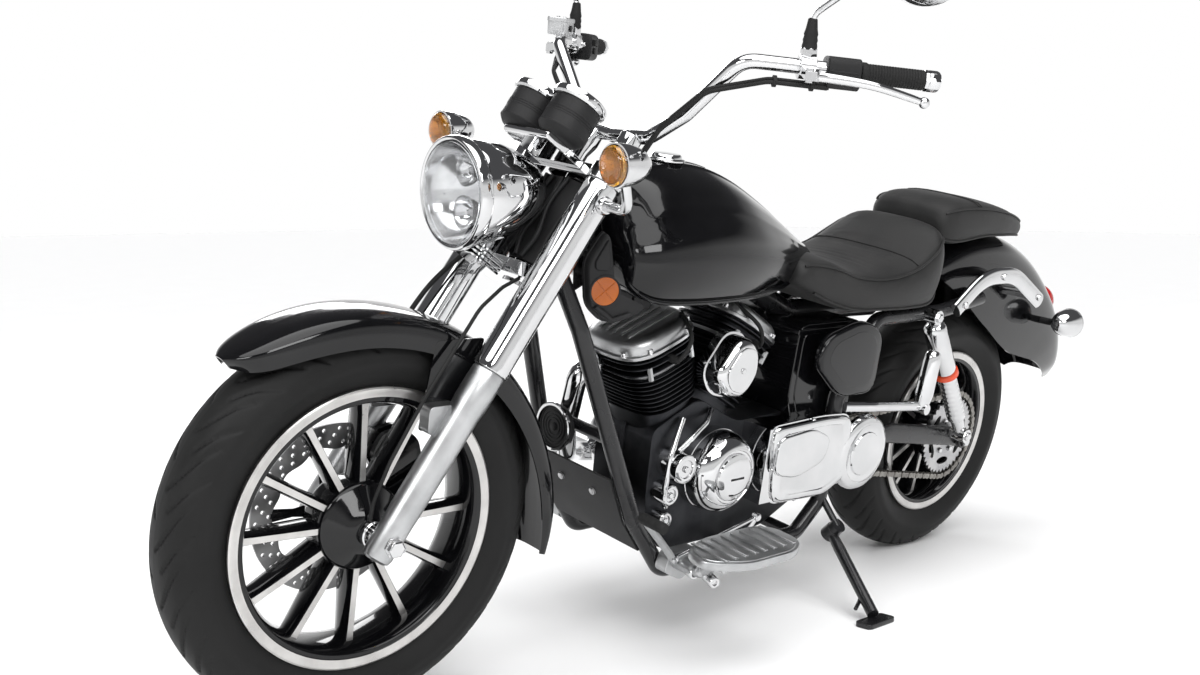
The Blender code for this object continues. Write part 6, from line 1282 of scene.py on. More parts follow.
# Tank and seats
CRANK = Vector((0.925, 0, 0.340))
RAIL_Y = 0.125
TANK_SIZE = (1.1959, 0.606, 0.706, 0.244, 0.168)  # front, length, base, height, half width
TANK_STATIONS = [  # as shares of that size: the way back, the top, the bottom and the width
    (0.0, 0.590, 0.283, 0.595), (0.010, 0.689, 0.148, 0.750), (0.046, 0.820, 0.066, 0.869),
    (0.109, 0.926, 0.020, 0.952), (0.241, 1.0, 0.004, 1.0), (0.389, 0.984, 0.0, 0.976),
    (0.538, 0.885, 0.0, 0.893), (0.686, 0.730, 0.016, 0.750), (0.818, 0.566, 0.066, 0.583),
    (0.934, 0.410, 0.131, 0.393), (1.0, 0.336, 0.189, 0.238)]
TANK_SECTION = [  # out from the middle and up from the base, as shares
    (0.00, 1.00), (0.10, 0.998), (0.165, 0.992), (0.190, 0.974), (0.215, 0.966),
    (0.30, 0.940), (0.42, 0.893), (0.55, 0.822), (0.66, 0.745), (0.70, 0.722), (0.725, 0.694),
    (0.80, 0.630), (0.89, 0.555), (0.955, 0.480), (0.99, 0.400), (1.00, 0.320), (0.985, 0.230),
    (0.950, 0.140), (0.905, 0.070), (0.885, 0.046), (0.905, 0.040), (0.905, 0.012),
    (0.86, 0.0), (0.70, 0.0), (0.40, 0.010), (0.18, 0.020)]
SEAT_SECTION = [
    (0.00, 1.00), (0.20, 1.00), (0.42, 0.992), (0.62, 0.970), (0.78, 0.930), (0.89, 0.860),
    (0.955, 0.760), (0.990, 0.630), (1.00, 0.50), (0.992, 0.36), (0.97, 0.22), (0.93, 0.10),
    (0.88, 0.03), (0.78, 0.0), (0.40, 0.0)]
SEAT_SIZE = (0.7221, 0.506, 0.6574, 0.1805, 0.166)
SEAT_STATIONS = [
    (0.002, 0.524, 0.366, 0.663), (0.014, 0.590, 0.349, 0.735), (0.063, 0.668, 0.288, 0.795),
    (0.202, 0.657, 0.119, 0.855), (0.360, 0.535, 0.022, 0.916), (0.538, 0.512, 0.011, 0.976),
    (0.715, 0.623, 0.0, 1.0), (0.854, 0.845, 0.0, 0.976), (0.933, 1.0, 0.069, 0.892),
    (0.980, 1.0, 0.208, 0.759), (1.0, 0.900, 0.457, 0.602)]
PILLION_SIZE = (0.2059, 0.392, 0.7895, 0.102, 0.118)
PILLION_STATIONS = [
    (0.0, 0.647, 0.157, 0.746), (0.041, 0.863, 0.059, 0.898), (0.168, 1.0, 0.0, 0.983),
    (0.423, 0.980, 0.118, 1.0), (0.704, 0.824, 0.126, 0.932), (0.908, 0.588, 0.098, 0.780),
    (1.0, 0.412, 0.059, 0.559)]


def station_at(stations, size, back):
    """Top, bottom and half width of a body at a share of its length back from the front."""
    front, length, base, height, half_width = size
    curve = through(stations, 24)
    for near, far in zip(curve, curve[1:]):
        if near[0] <= back <= far[0]:
            share = (back - near[0]) / max(far[0] - near[0], 1e-9)
            _, top, bottom, wide = [a + (b - a) * share for a, b in zip(near, far)]
            break
    else:
        _, top, bottom, wide = curve[-1] if back > 0.5 else curve[0]
    return (front - length * back, base + height * top, base + height * bottom,
            half_width * wide)


def body_point(station, out, rise, grow=0.0):
    """A point on the left of a body's section from its shares across and up."""
    x, top, bottom, half_width = station
    return Vector((x, out * half_width + grow * min(out * 3, 1),
                   bottom + (top - bottom) * rise + grow * (rise - 0.3)))


def body_ring(station, section, grow=0.0):
    left = [body_point(station, out, rise, grow) for out, rise in section]
    right = [Vector((point.x, -point.y, point.z)) for point in left[:0:-1]]
    return left + right


def body_line(stations, size, out, rise, start, end, count):
    """A line from front to back along the left of a body, at one place of its section."""
    return [body_point(station_at(stations, size, start + (end - start) * step / count),
                       out, rise) for step in range(count + 1)]


TANK = (TANK_STATIONS, TANK_SIZE)
TANK_NOSE = 0.034  # the share of the tank's length with rings closer together


def add_tank():
    backs = [0.0, 0.004, 0.010, 0.020, TANK_NOSE]
    backs += [TANK_NOSE + (1 - TANK_NOSE) * step / 63 for step in range(1, 64)]
    shape = skin([body_ring(station_at(*TANK, back), TANK_SECTION) for back in backs])
    piece("tank_shell", shape, GLOSS, "chassis", "fuel_tank", sharp=32)
    centre = station_at(*TANK, 0.285)
    place = Vector((centre[0], 0, centre[1] - 0.001))
    cap = turned([(0.0, 0.036), (0.003, 0.0365), (0.005, 0.034), (0.0055, 0.030),
                  (0.011, 0.0285), (0.0135, 0.0255), (0.0142, 0.004)], place, UP, 64)
    piece("filler_cap", cap, CHROME, "chassis", bevel=0.0005)
    strip = [(-0.009, -0.001), (-0.007, 0.0012), (0.007, 0.0012), (0.009, -0.001)]
    line = [point + UP * 0.0006 for point in body_line(*TANK, 0.0, 1.0, 0.345, 0.455, 20)]
    trim = skin([[point + Vector((0, y, z)) for y, z in strip] for point in line])
    piece("tank_trim_strip", trim, SATIN, "chassis")
    seam = body_line(*TANK, 0.905, 0.026, 0.03, 0.97, 60)
    seams = [swept([on_side(side, *point) for point in seam], 0.0022, 8) for side in (1, -1)]
    piece("tank_seam", together(seams), GLOSS, "chassis")


PUFF_FRAMES = 20
PUFF_PRESSURE = 4.0
PUFF_LIMIT = 0.005
PUFF_GRID = 0.006
SEAM_REACH = 0.034


def puffed(thing, seams):
    """Swell a pad under air pressure, as foam fills a sewn cover, with its seams and base held."""
    finder = kdtree.KDTree(len(seams))
    for index, point in enumerate(seams):
        finder.insert(PARKED @ point, index)
    finder.balance()
    even = thing.modifiers.new("even_grid", "REMESH")
    even.mode = "VOXEL"
    even.voxel_size = PUFF_GRID
    graph = bpy.context.evaluated_depsgraph_get()
    grid = bpy.data.meshes.new_from_object(thing.evaluated_get(graph))
    thing.modifiers.remove(even)
    thing.data = grid
    grid.materials.clear()
    grid.materials.append(VINYL)
    freedom = []
    held = thing.vertex_groups.new(name="held")
    for vertex in grid.vertices:
        share = min(finder.find(vertex.co)[2] / SEAM_REACH, 1.0)
        free = 0.0 if vertex.normal.z < -0.5 else share * share * (3 - 2 * share)
        freedom.append(free)
        held.add([vertex.index], 1 - free, "REPLACE")
    cloth = thing.modifiers.new("swelling", "CLOTH")
    cloth.settings.use_pressure = True
    cloth.settings.uniform_pressure_force = PUFF_PRESSURE
    cloth.settings.effector_weights.gravity = 0
    cloth.settings.vertex_group_mass = "held"
    cloth.point_cache.frame_start = 1
    cloth.point_cache.frame_end = PUFF_FRAMES
    for moment in range(1, PUFF_FRAMES + 1):
        bpy.context.scene.frame_set(moment)
    graph = bpy.context.evaluated_depsgraph_get()
    swollen = thing.evaluated_get(graph)
    places = [vertex.co.copy() for vertex in swollen.to_mesh().vertices]
    swollen.to_mesh_clear()
    thing.modifiers.remove(cloth)
    thing.vertex_groups.clear()
    bpy.context.scene.frame_set(1)
    for vertex, place, free in zip(grid.vertices, places, freedom):
        shift = place - vertex.co
        if shift.length > PUFF_LIMIT:
            shift *= PUFF_LIMIT / shift.length
        vertex.co += shift * free
    grid.shade_smooth()
    finer = thing.modifiers.new("finer", "SUBSURF")
    finer.levels = 1
    finer.render_levels = 1


CUSHION_RINGS = 72
CUSHION_INSET = -0.001


def cushion(name, seat, node, seams):
    """A crowned seat pad, swollen between the seams that hold its cover down."""
    rings = [body_ring(station_at(*seat, step / CUSHION_RINGS), SEAT_SECTION, CUSHION_INSET)
             for step in range(CUSHION_RINGS + 1)]
    thing = piece(name, skin(rings), VINYL, "chassis", node, sharp=60)
    puffed(thing, seams)


def ring_line(seat, back, last, grow):
    """A line across a seat at one station, from the left edge over to the right."""
    station = station_at(*seat, back)
    half = [body_point(station, out, rise, grow) for out, rise in SEAT_SECTION[:last]]
    other = [Vector((point.x, -point.y, point.z)) for point in half]
    return half[::-1] + other[1:]


SEATS = {"rider": (SEAT_STATIONS, SEAT_SIZE), "pillion": (PILLION_STATIONS, PILLION_SIZE)}
EDGE_OUT = 0.925
EDGE_SEAMS = [  # the seat, the share of its height, from and to along it, the piping's radius
    ("rider", 0.815, 0.035, 0.985, 0.0026), ("rider", 0.085, 0.10, 0.965, 0.0030),
    ("pillion", 0.815, 0.03, 0.985, 0.0024), ("pillion", 0.085, 0.03, 0.985, 0.0026)]
CROSS_SEAMS = {"rider": [0.74], "pillion": [0.33, 0.36]}
HELD_ACROSS = {"rider": [0.002, 0.74, 1.0], "pillion": [0.0, 0.33, 0.36, 1.0]}
CROSS_RADIUS = {"rider": 0.0022, "pillion": 0.0016}


def add_seats():
    held = {"rider": [], "pillion": []}
    shapes = []
    for side in (1, -1):
        for seat, rise, start, end, radius in EDGE_SEAMS:
            line = [on_side(side, *point) for point in
                    body_line(*SEATS[seat], EDGE_OUT, rise, start, end, 48)]
            held[seat] += line
            shapes.append(swept(line, radius, 10))
    for seat, form in SEATS.items():
        for back in HELD_ACROSS[seat]:
            held[seat] += ring_line(form, back, 12, 0)
        shapes += [swept(ring_line(form, back, 6, -0.0003), CROSS_RADIUS[seat], 10)
                   for back in CROSS_SEAMS[seat]]
    cushion("rider_saddle", SEATS["rider"], "rider_seat", held["rider"])
    cushion("pillion_pad", SEATS["pillion"], "pillion_seat", held["pillion"])
    piece("seat_piping", together(shapes), VINYL, "chassis")


add_tank()
add_seats()


# Engine
CYLINDERS = {  # the lean of the bore, and its length from the crank to the head's top
    "front": (math.radians(21), 0.290), "rear": (math.radians(-28), 0.318)}
CASE_TOP = 0.158
CYLINDER_HALF_WIDTH = 0.088
PIVOT = Vector((0.450, 0, 0.345))


def cylinder_place(lean):
    """From a cylinder's own axes, with Z along its bore, to the motorcycle's."""
    return Matrix.Translation(CRANK) @ Matrix.Rotation(lean, 4, "Y")


SQUARENESS = 0.625
SQUIRCLE_STEPS = 64


def squared(value):
    """A sine or cosine bent outwards, so that a circle of them turns almost square."""
    return math.copysign(abs(value) ** SQUARENESS, value)


def squircle(height, half_x, half_y):
    """A level ring between a rectangle and an oval."""
    turns = [math.tau * step / SQUIRCLE_STEPS for step in range(SQUIRCLE_STEPS)]
    return [Vector((squared(math.cos(turn)) * half_x, squared(math.sin(turn)) * half_y, height))
            for turn in turns]


FIN_STEPS = [(0.08, 0.80), (0.34, 0.82), (0.40, 0.985), (0.46, 1.0), (0.62, 1.0), (0.68, 0.985),
             (0.74, 0.82), (0.98, 0.80)]  # share of a fin's pitch, share of its width


def finned(base, top, fins, half_low, half_high):
    """A barrel or head with thin cooling fins round a plain core."""
    rings = [squircle(base, half_low * 0.80, CYLINDER_HALF_WIDTH * 0.80)]
    pitch = (top - base) / fins
    for index in range(fins):
        wide = half_low + (half_high - half_low) * (index + 0.5) / fins
        for share, size in FIN_STEPS:
            rings.append(squircle(base + pitch * (index + share), wide * size,
                                  CYLINDER_HALF_WIDTH * size))
    return skin(rings)


def add_cylinder(end, lean, length):
    shapes = [finned(CASE_TOP, length - 0.044, 9, 0.072, 0.090),
              finned(length - 0.042, length - 0.001, 3, 0.090, 0.092),
              skin([squircle(length - 0.046, 0.080, 0.080),
                    squircle(length - 0.040, 0.080, 0.080)])]
    shapes += [turned([(0, 0.0055), (0.028, 0.0055)], Vector((x, y * 0.93, length - 0.048)), UP, 6)
               for x in (-0.055, 0.055) for y in (-0.085, 0.085)]
    whole = moved(together(shapes, [0, 0] + [1] * 5), cylinder_place(lean))
    piece(end + "_fins", whole, [DARK_CAST, SATIN], "chassis", end + "_cylinder", sharp=30)


COVER_HALF_X = 0.094
COVER_HALF_Y = 0.090


def add_head_cover(end, lean, base):
    """A rocker cover: a flanged base, a domed box with ribs on top and a bolt at each corner."""
    body = skin([squircle(base + height, COVER_HALF_X * size, COVER_HALF_Y * size)
                 for height, size in (
        (0.0005, 0.985), (0.0015, 1.0), (0.0075, 1.0), (0.0085, 0.985), (0.009, 0.940),
        (0.0200, 0.930), (0.0270, 0.895), (0.0320, 0.830), (0.0350, 0.740), (0.036, 0.60))])
    shapes = [body]
    for y in (-0.040, -0.020, 0.0, 0.020, 0.040):
        outline = rounded_outline([(-0.066, base + 0.030), (0.066, base + 0.030),
                                   (0.060, base + 0.0385), (-0.060, base + 0.0385)], 0.006)
        shapes.append(plate(outline, y - 0.003, y + 0.003))
    slots = [0] * len(shapes)
    for turn in [math.radians(angle + 22.5) for angle in range(0, 360, 45)]:
        point = Vector((squared(math.cos(turn)) * COVER_HALF_X * 0.955,
                        squared(math.sin(turn)) * COVER_HALF_Y * 0.955, base + 0.0082))
        shapes.append(turned([(0.0, 0.0068), (0.0010, 0.0068), (0.0012, 0.0055),
                              (0.0085, 0.0055), (0.0095, 0.0047)], point, UP, 24))
        slots.append(1)
    whole = moved(together(shapes, slots), cylinder_place(lean))
    piece(end + "_rocker_cover", whole, [SATIN, CHROME], "chassis", end + "_head_cover",
          sharp=34, bevel=0.0005)


CASE_OUTLINE = [(1.0302, 0.2999), (1.036, 0.4401), (0.985, 0.465), (0.9149, 0.495),
                (0.8502, 0.4619), (0.7901, 0.4341), (0.6399, 0.4401), (0.5602, 0.4301),
                (0.505, 0.4001), (0.505, 0.2999), (0.5602, 0.2299), (0.6601, 0.1828),
                (0.9601, 0.1828), (1.01, 0.22)]


def add_crankcase():
    outline = rounded_outline(CASE_OUTLINE, 0.02, 6)
    shapes = [stepped_plate(outline, middle_and_reach(outline)[0], [
        (-0.078, 0.985), (-0.076, 1.0), (-0.004, 1.0), (-0.004, 1.016), (0.004, 1.016),
        (0.004, 1.0), (0.076, 1.0), (0.078, 0.985)])]
    for lean, _ in CYLINDERS.values():
        deck = skin([squircle(0.04, 0.068, 0.072), squircle(0.1577, 0.068, 0.072)])
        shapes.append(moved(deck, cylinder_place(lean)))
    sump_rib = rounded_outline([(0.64, 0.1835), (0.96, 0.1835), (0.94, 0.176), (0.66, 0.176)],
                               0.004)
    shapes += [plate(sump_rib, y - 0.003, y + 0.003) for y in (-0.055, -0.030, 0.030, 0.055)]
    piece("crankcase_body", together(shapes), [DARK_CAST, SATIN], "chassis", "crankcase", sharp=32,
          bevel=0.0015)


OIL_CAPS = [  # x, z, radius and the cap's outer face
    (0.985, 0.375, 0.0300, 0.132), (1.000, 0.318, 0.0215, 0.116), (0.996, 0.262, 0.0180, 0.108)]
OIL_PIPES = [
    [(0.996, 0.100, 0.290), (1.018, 0.112, 0.330), (1.010, 0.108, 0.400), (0.965, 0.085, 0.462)],
    [(0.985, 0.105, 0.405), (0.960, 0.112, 0.432), (0.912, 0.100, 0.452), (0.880, 0.080, 0.470)]]


def add_oil_fittings():
    """The bright caps in front of the alternator cover, and the pipes that rise from them."""
    cluster = []
    for x, z, radius, outer in OIL_CAPS:
        cluster.append(turned([(0, radius), (outer - 0.084, radius),
                               (outer - 0.080, radius * 0.96), (outer - 0.078, radius * 0.84),
                               (outer - 0.0785, radius * 0.62),
                               (outer - 0.0815, radius * 0.58), (outer - 0.0815, 0.002)],
                              Vector((x, 0.078, z)), AXLE_LINE, 56))
        cluster.append(bolt(Vector((x, outer - 0.0045, z)), AXLE_LINE, 0.0065, 0.006))
    piece("oil_cluster", together(cluster), CHROME, "chassis", bevel=0.0006)
    pipes = [swept(bent_line(corners, 0.03), 0.0062, 20) for corners in OIL_PIPES]
    piece("oil_pipes", together(pipes), CHROME, "chassis")


def covered(outline, near, far, rounding, lip, sunk=0.0):
    """A cover with a flange, a curved edge and, if sunk, a shallow panel in its face."""
    points = rounded_outline(outline, rounding, 8)
    middle, reach = middle_and_reach(points)
    depth = far - near
    steps = [(0.0, 0.0), (0.30, 0.0), (0.32, lip * 0.25), (0.72, lip * 0.35), (0.86, lip * 0.55),
             (0.95, lip * 0.85), (1.0, lip * 1.25)]
    if sunk:
        steps += [(1.0, lip * 1.25 + 0.010), (1.0 - sunk / abs(depth), lip * 1.25 + 0.013)]
    return stepped_plate(points, middle, [(near + depth * share, 1 - inset / reach)
                                          for share, inset in steps])


def screws_round(outline, rounding, inset, y, radius, every, height, side=1):
    """Screw heads along the edge of a cover, spaced evenly."""
    points = rounded_outline(outline, rounding, 8)
    middle, reach = middle_and_reach(points)
    result = []
    travelled = 0.0
    goal = 0.0
    for before, after in zip(points, points[1:] + points[:1]):
        run = math.dist(before, after)
        while goal <= travelled + run and run:
            share = (goal - travelled) / run
            point = [a + (b - a) * share for a, b in zip(before, after)]
            x, z = sized([point], middle, 1 - inset / reach)[0]
            result.append(turned([(0, radius), (height * 0.8, radius), (height, radius * 0.8)],
                                 Vector((x, y, z)), AXLE_LINE * side, 20))
            goal += every
        travelled += run
    return result


CLUTCH_OUTLINE = [(0.98, 0.300), (1.010, 0.370), (0.960, 0.440), (0.760, 0.425),
                  (0.640, 0.400), (0.640, 0.270), (0.760, 0.215), (0.920, 0.225)]
INTAKE_OUTLINE = [(0.956, 0.562), (0.900, 0.640), (0.840, 0.630), (0.822, 0.560),
                  (0.865, 0.500), (0.925, 0.512)]
SPROCKET_OUTLINE = [(0.770, 0.440), (0.600, 0.446), (0.500, 0.440), (0.480, 0.300),
                    (0.560, 0.262), (0.740, 0.268)]


def add_alternator_cover():
    place = CRANK + Vector((-0.057, 0, 0.010))
    dome = turned([(0.0783, 0.084), (0.100, 0.084), (0.101, 0.0825), (0.118, 0.0820),
                   (0.130, 0.0800), (0.142, 0.0740), (0.150, 0.0650), (0.1535, 0.0600),
                   (0.1545, 0.0560), (0.1520, 0.0540), (0.1520, 0.0500), (0.1580, 0.0480),
                   (0.1625, 0.0400), (0.1645, 0.0280), (0.1650, 0.0040)], place, AXLE_LINE, 96)
    ring_screws = [turned([(0, 0.0042), (0.004, 0.0042), (0.005, 0.0034)],
                          place + Vector((math.cos(turn) * 0.0785, 0.1005,
                                          math.sin(turn) * 0.0785)), AXLE_LINE, 20)
                   for turn in map(math.radians, range(20, 380, 60))]
    piece("alternator_dome", together([dome] + ring_screws), CHROME, "chassis",
          "alternator_cover", sharp=38)
    notch = box((place.x - 0.020, 0.1500, place.z - 0.0030),
                (place.x + 0.020, 0.1655, place.z + 0.0030))
    piece("alternator_notch", notch, MATTE, "chassis", bevel=0.002)


def add_clutch_cover():
    clutch = covered(CLUTCH_OUTLINE, -0.0783, -0.150, 0.05, 0.016, 0.002)
    screws = screws_round(CLUTCH_OUTLINE, 0.05, 0.006, -0.101, 0.0042, 0.085, 0.005, -1)
    piece("clutch_case", together([clutch] + screws), CHROME, "chassis", "clutch_cover",
          sharp=40)


def add_intake_cover():
    intake = covered(INTAKE_OUTLINE, 0.0860, 0.150, 0.035, 0.018)
    boss = covered([(0.935, 0.565), (0.895, 0.620), (0.850, 0.612), (0.842, 0.562),
                    (0.872, 0.520), (0.915, 0.530)], 0.148, 0.153, 0.02, 0.006)
    hub = bolt(Vector((0.888, 0.1525, 0.570)), AXLE_LINE, 0.0060, 0.004)
    piece("intake_case", together([intake, boss, hub]), CHROME, "chassis", "intake_cover",
          sharp=40)


def add_sprocket_cover():
    long_cover = covered(SPROCKET_OUTLINE, 0.1420, 0.160, 0.03, 0.020, 0.0015)
    block = plate([(0.560, 0.275), (0.770, 0.275), (0.770, 0.435), (0.560, 0.435)],
                  0.0783, 0.150)
    end = turned([(0.1424, 0.086), (0.1500, 0.086), (0.1512, 0.0845), (0.1560, 0.0835),
                  (0.1600, 0.0790), (0.1630, 0.0700), (0.1640, 0.0660), (0.1625, 0.0640),
                  (0.1625, 0.0500), (0.1650, 0.0480), (0.1660, 0.0380), (0.1660, 0.0040)],
                 Vector((PIVOT.x - 0.006, 0, PIVOT.z)), AXLE_LINE, 96)
    raised = covered([(0.754, 0.418), (0.640, 0.428), (0.575, 0.400), (0.590, 0.348),
                      (0.680, 0.322), (0.754, 0.338)], 0.1575, 0.1655, 0.026, 0.009)
    screws = screws_round(SPROCKET_OUTLINE, 0.03, 0.009, 0.1475, 0.0045, 0.15, 0.0075)
    piece("sprocket_case", together([long_cover, block, end, raised] + screws), CHROME,
          "chassis", "sprocket_cover", sharp=40)


def add_pushrod_tubes():
    """Bright tubes beside each cylinder on the right, from the case up to the head."""
    shapes = []
    for lean, length in CYLINDERS.values():
        place = cylinder_place(lean)
        for x in (-0.018, 0.018):
            low = place @ Vector((x * 0.7, -0.090, CASE_TOP - 0.055))
            high = place @ Vector((x, -0.094, length - 0.030))
            line = high - low
            shapes.append(turned([(0, 0.0115), (0.012, 0.0115), (0.014, 0.0085),
                                  (line.length * 0.55, 0.0085), (line.length * 0.56, 0.0102),
                                  (line.length * 0.62, 0.0102), (line.length * 0.63, 0.0080),
                                  (line.length - 0.010, 0.0080), (line.length - 0.008, 0.0105),
                                  (line.length, 0.0105)], low, line, 32))
    piece("pushrod_tubes", together(shapes), CHROME, "chassis")


def add_engine():
    for end, (lean, length) in CYLINDERS.items():
        add_cylinder(end, lean, length)
        add_head_cover(end, lean, length)
    add_crankcase()
    add_oil_fittings()
    add_alternator_cover()
    add_clutch_cover()
    add_intake_cover()
    add_sprocket_cover()
    add_pushrod_tubes()
    add_plug_leads()


def add_plug_leads():
    leads = []
    for (lean, length), ahead in zip(CYLINDERS.values(), (-0.02, 0.02)):
        plug = cylinder_place(lean) @ Vector((0, 0.074, length - 0.025))
        leads.append(swept(smooth_line([plug, plug + Vector((0, 0.030, 0.004)),
                                        plug + Vector((ahead, 0.034, 0.045)),
                                        plug + Vector((ahead * 2, -0.020, 0.080))], 10),
                           0.0042, 16))
        leads.append(turned([(0, 0.009), (0.022, 0.0085), (0.028, 0.006)], plug, AXLE_LINE, 24))
    piece("plug_leads", together(leads), RUBBER, "chassis")


# Exhausts
EXHAUST_LINES = {
    "front": [(0.1794, -0.030, 0.2152), (0.225, -0.030, 0.1977)],
    "rear": [(-0.2087, -0.030, 0.2061), (-0.253, -0.030, 0.1827)]}
PIPE_STATIONS = {
    "front": [(1.1248, -0.072, 0.4199), (1.0619, -0.128, 0.3349), (0.9796, -0.1899, 0.305),
              (0.7002, -0.212, 0.2601), (0.2997, -0.225, 0.2451)],
    "rear": [(0.6401, -0.1701, 0.44), (0.5199, -0.2151, 0.372), (0.1998, -0.23, 0.3519)]}
MUFFLER_ENDS = {"front": [(0.42, -0.2221, 0.2479), (-0.3302, -0.232, 0.2751)],
                "rear": [(0.3302, -0.2259, 0.3601), (-0.2997, -0.234, 0.3781)]}


def add_exhausts():
    """Each cylinder's pipe, flange, silencer and clamp on the right side."""
    for name in ("front", "rear"):
        ports = [CRANK + Vector(step) for step in EXHAUST_LINES[name]]
        start, end = [Vector(point) for point in MUFFLER_ENDS[name]]
        run = end - start
        length = run.length
        profile = [(0.0, 0.0225), (0.004, 0.0245), (0.012, 0.0260), (0.055, 0.0400),
                   (0.085, 0.0430), (length * 0.55, 0.0450), (length - 0.020, 0.0450),
                   (length - 0.004, 0.0430), (length, 0.0395), (length, 0.0330),
                   (length - 0.050, 0.0310), (length - 0.055, 0.004)]
        shapes = [
            swept(bent_line(ports + PIPE_STATIONS[name], 0.07, 10), 0.0205, 40),
            turned([(0.0, 0.026), (0.006, 0.0275), (0.012, 0.0265), (0.014, 0.022)],
                   ports[0] + (ports[1] - ports[0]).normalized() * 0.004,
                   ports[1] - ports[0], 40),
            turned(profile, start, run, 80),
            turned([(0, 0.0432), (0.001, 0.0462), (0.017, 0.0462), (0.018, 0.0432)],
                   start.lerp(end, 0.30), run, 64)]
        piece(name + "_silencer", together(shapes), CHROME, "chassis", name + "_exhaust",
              sharp=40)
        clamp = turned([(0, 0.0205), (0.001, 0.0232), (0.020, 0.0232), (0.021, 0.0205)],
                       start + (start - end).normalized() * 0.018, start - end, 40)
        piece(name + "_silencer_clamp", clamp, STEEL, "chassis")


add_engine()
add_exhausts()


# Frame, swingarm, shocks and stand
HEAD_JOINT = stem_point(0.575)
UPRIGHT_X = 0.530
STAND_PIVOT = Vector((UPRIGHT_X, RAIL_Y + 0.045, 0.180))
STAND_AXIS = Vector((0, 0.61, 0.793)).normalized()
FRAME_CORNERS = [(1.173, 0.100, 0.450), (1.105, 0.120, 0.288), (1.015, 0.125, 0.172),
                 (0.600, 0.125, 0.172), (0.530, 0.125, 0.240), (0.530, 0.125, 0.470),
                 (0.440, 0.125, 0.638), (0.190, 0.125, 0.642), (0.030, 0.125, 0.665)]
BACKBONE = [(1.180, 0, 0.7967), (0.800, 0, 0.728), (0.600, 0, 0.6362), (0.290, 0, 0.6317)]
CROSS_TUBES = [(0.300, 0.125, 0.640), (0.800, 0.125, 0.172), (0.600, 0.125, 0.172),
               (1.173, 0.100, 0.450)]


def across_rod(centre, near, far, radius):
    """A round bar across the motorcycle at a place in the plane of x and z."""
    return rod(Vector((centre[0], near, centre[-1])), Vector((centre[0], far, centre[-1])),
               radius, 40)


def add_frame():
    """The welded frame: two cradle loops, the backbone, the head, cross tubes and brackets."""
    shapes = []
    for side in (1, -1):
        start = HEAD_JOINT + AXLE_LINE * (0.012 * side)
        shoulder = fork_plane(-0.1556, 0.480, 0.075 * side)
        corners = [start, shoulder] + [on_side(side, *point) for point in FRAME_CORNERS]
        shapes.append(swept(bent_line(corners, 0.04, 8), 0.0163, 32))
        ear = rounded_outline([(0.530, 0.305), (0.530, 0.385), (0.450, 0.372), (0.425, 0.345),
                               (0.450, 0.318)], 0.012)
        shapes.append(plate(ear, side * 0.1289, side * 0.1380))
    shapes.append(swept(bent_line([HEAD_JOINT] + BACKBONE, 0.08), 0.0238, 40))
    shapes.append(turned([(0.0, 0.030), (0.003, 0.0312), (0.030, 0.0312), (0.036, 0.0290),
                          (0.137, 0.0290), (0.143, 0.0312), (0.170, 0.0312), (0.173, 0.030)],
                         stem_point(0.516), UP_FORK, 56))
    for x, y, z in CROSS_TUBES:
        shapes.append(across_rod((x, z), -y, y, 0.0118))
    shapes.append(across_rod((PIVOT.x, PIVOT.z), -0.136, 0.136, 0.0110))
    for side in (1, -1):
        gusset = plate(rounded_outline([(1.205, 0.795), (1.155, 0.775), (1.165, 0.715),
                                        (1.195, 0.700)], 0.008), side * 0.0235, side * 0.0255)
        shapes.append(gusset)
        shapes.append(bolt(Vector((0.985, side * 0.1385, 0.180)), AXLE_LINE * side, 0.008, 0.006))
    foot = STAND_PIVOT + STAND_AXIS * 0.0145
    top = STAND_PIVOT + STAND_AXIS * 0.028
    shapes.append(rod(foot, top, 0.017, 40))
    shapes.append(rod(foot.lerp(top, 0.6), Vector((UPRIGHT_X, RAIL_Y, 0.252)), 0.0075, 24))
    piece("frame_tubes", together(shapes), FRAME_BLACK, "chassis", "frame", sharp=40,
          bevel=0.0006)


def add_swingarm():
    shapes = []
    knee = Vector((0.300, 0, 0.360))
    tail = Vector((-0.030, 0, 0.310))
    for side in (1, -1):
        line = bent_line([place + AXLE_LINE * (0.1165 * side) for place in (PIVOT, knee, tail)],
                         0.10, 10)
        shapes.append(swept(line, 0.0238, 40, 0.50, UP))
        shapes.append(turned([(0, 0.016), (0.003, 0.019), (0.012, 0.019), (0.014, 0.016)],
                             Vector((0, side * 0.126, 0.310)), AXLE_LINE * side, 40))
        shapes.append(bolt(Vector((0, side * 0.138, 0.310)), AXLE_LINE * side, 0.0150, 0.0085))
        shapes.append(bolt(Vector((-0.034, side * 0.1285, 0.310)), AXLE_LINE * side, 0.0060,
                           0.006))
    shapes.append(across_rod((PIVOT.x, PIVOT.z), -0.1285, 0.1285, 0.0258))
    shapes.append(across_rod((0.374, 0.3525), -0.1165, 0.1165, 0.0178))
    shapes.append(across_rod((0, 0.310), -0.1385, 0.1385, 0.010))
    shapes.append(across_rod((0, 0.310), 0.0923, 0.1165, 0.021))
    shapes.append(across_rod((0, 0.310), -0.0883, -0.1165, 0.021))
    piece("swingarm_body", together(shapes), FRAME_BLACK, "chassis", "swingarm", sharp=40,
          bevel=0.0008)
    end = bolt(Vector((0, 0.1465, 0.310)), AXLE_LINE, 0.0110, 0.004)
    piece("rear_axle_end", end, CHROME, "chassis")


SHOCK_TOP = (0.262, 0.151, 0.641)
SHOCK_FOOT = (0.042, 0.151, 0.336)


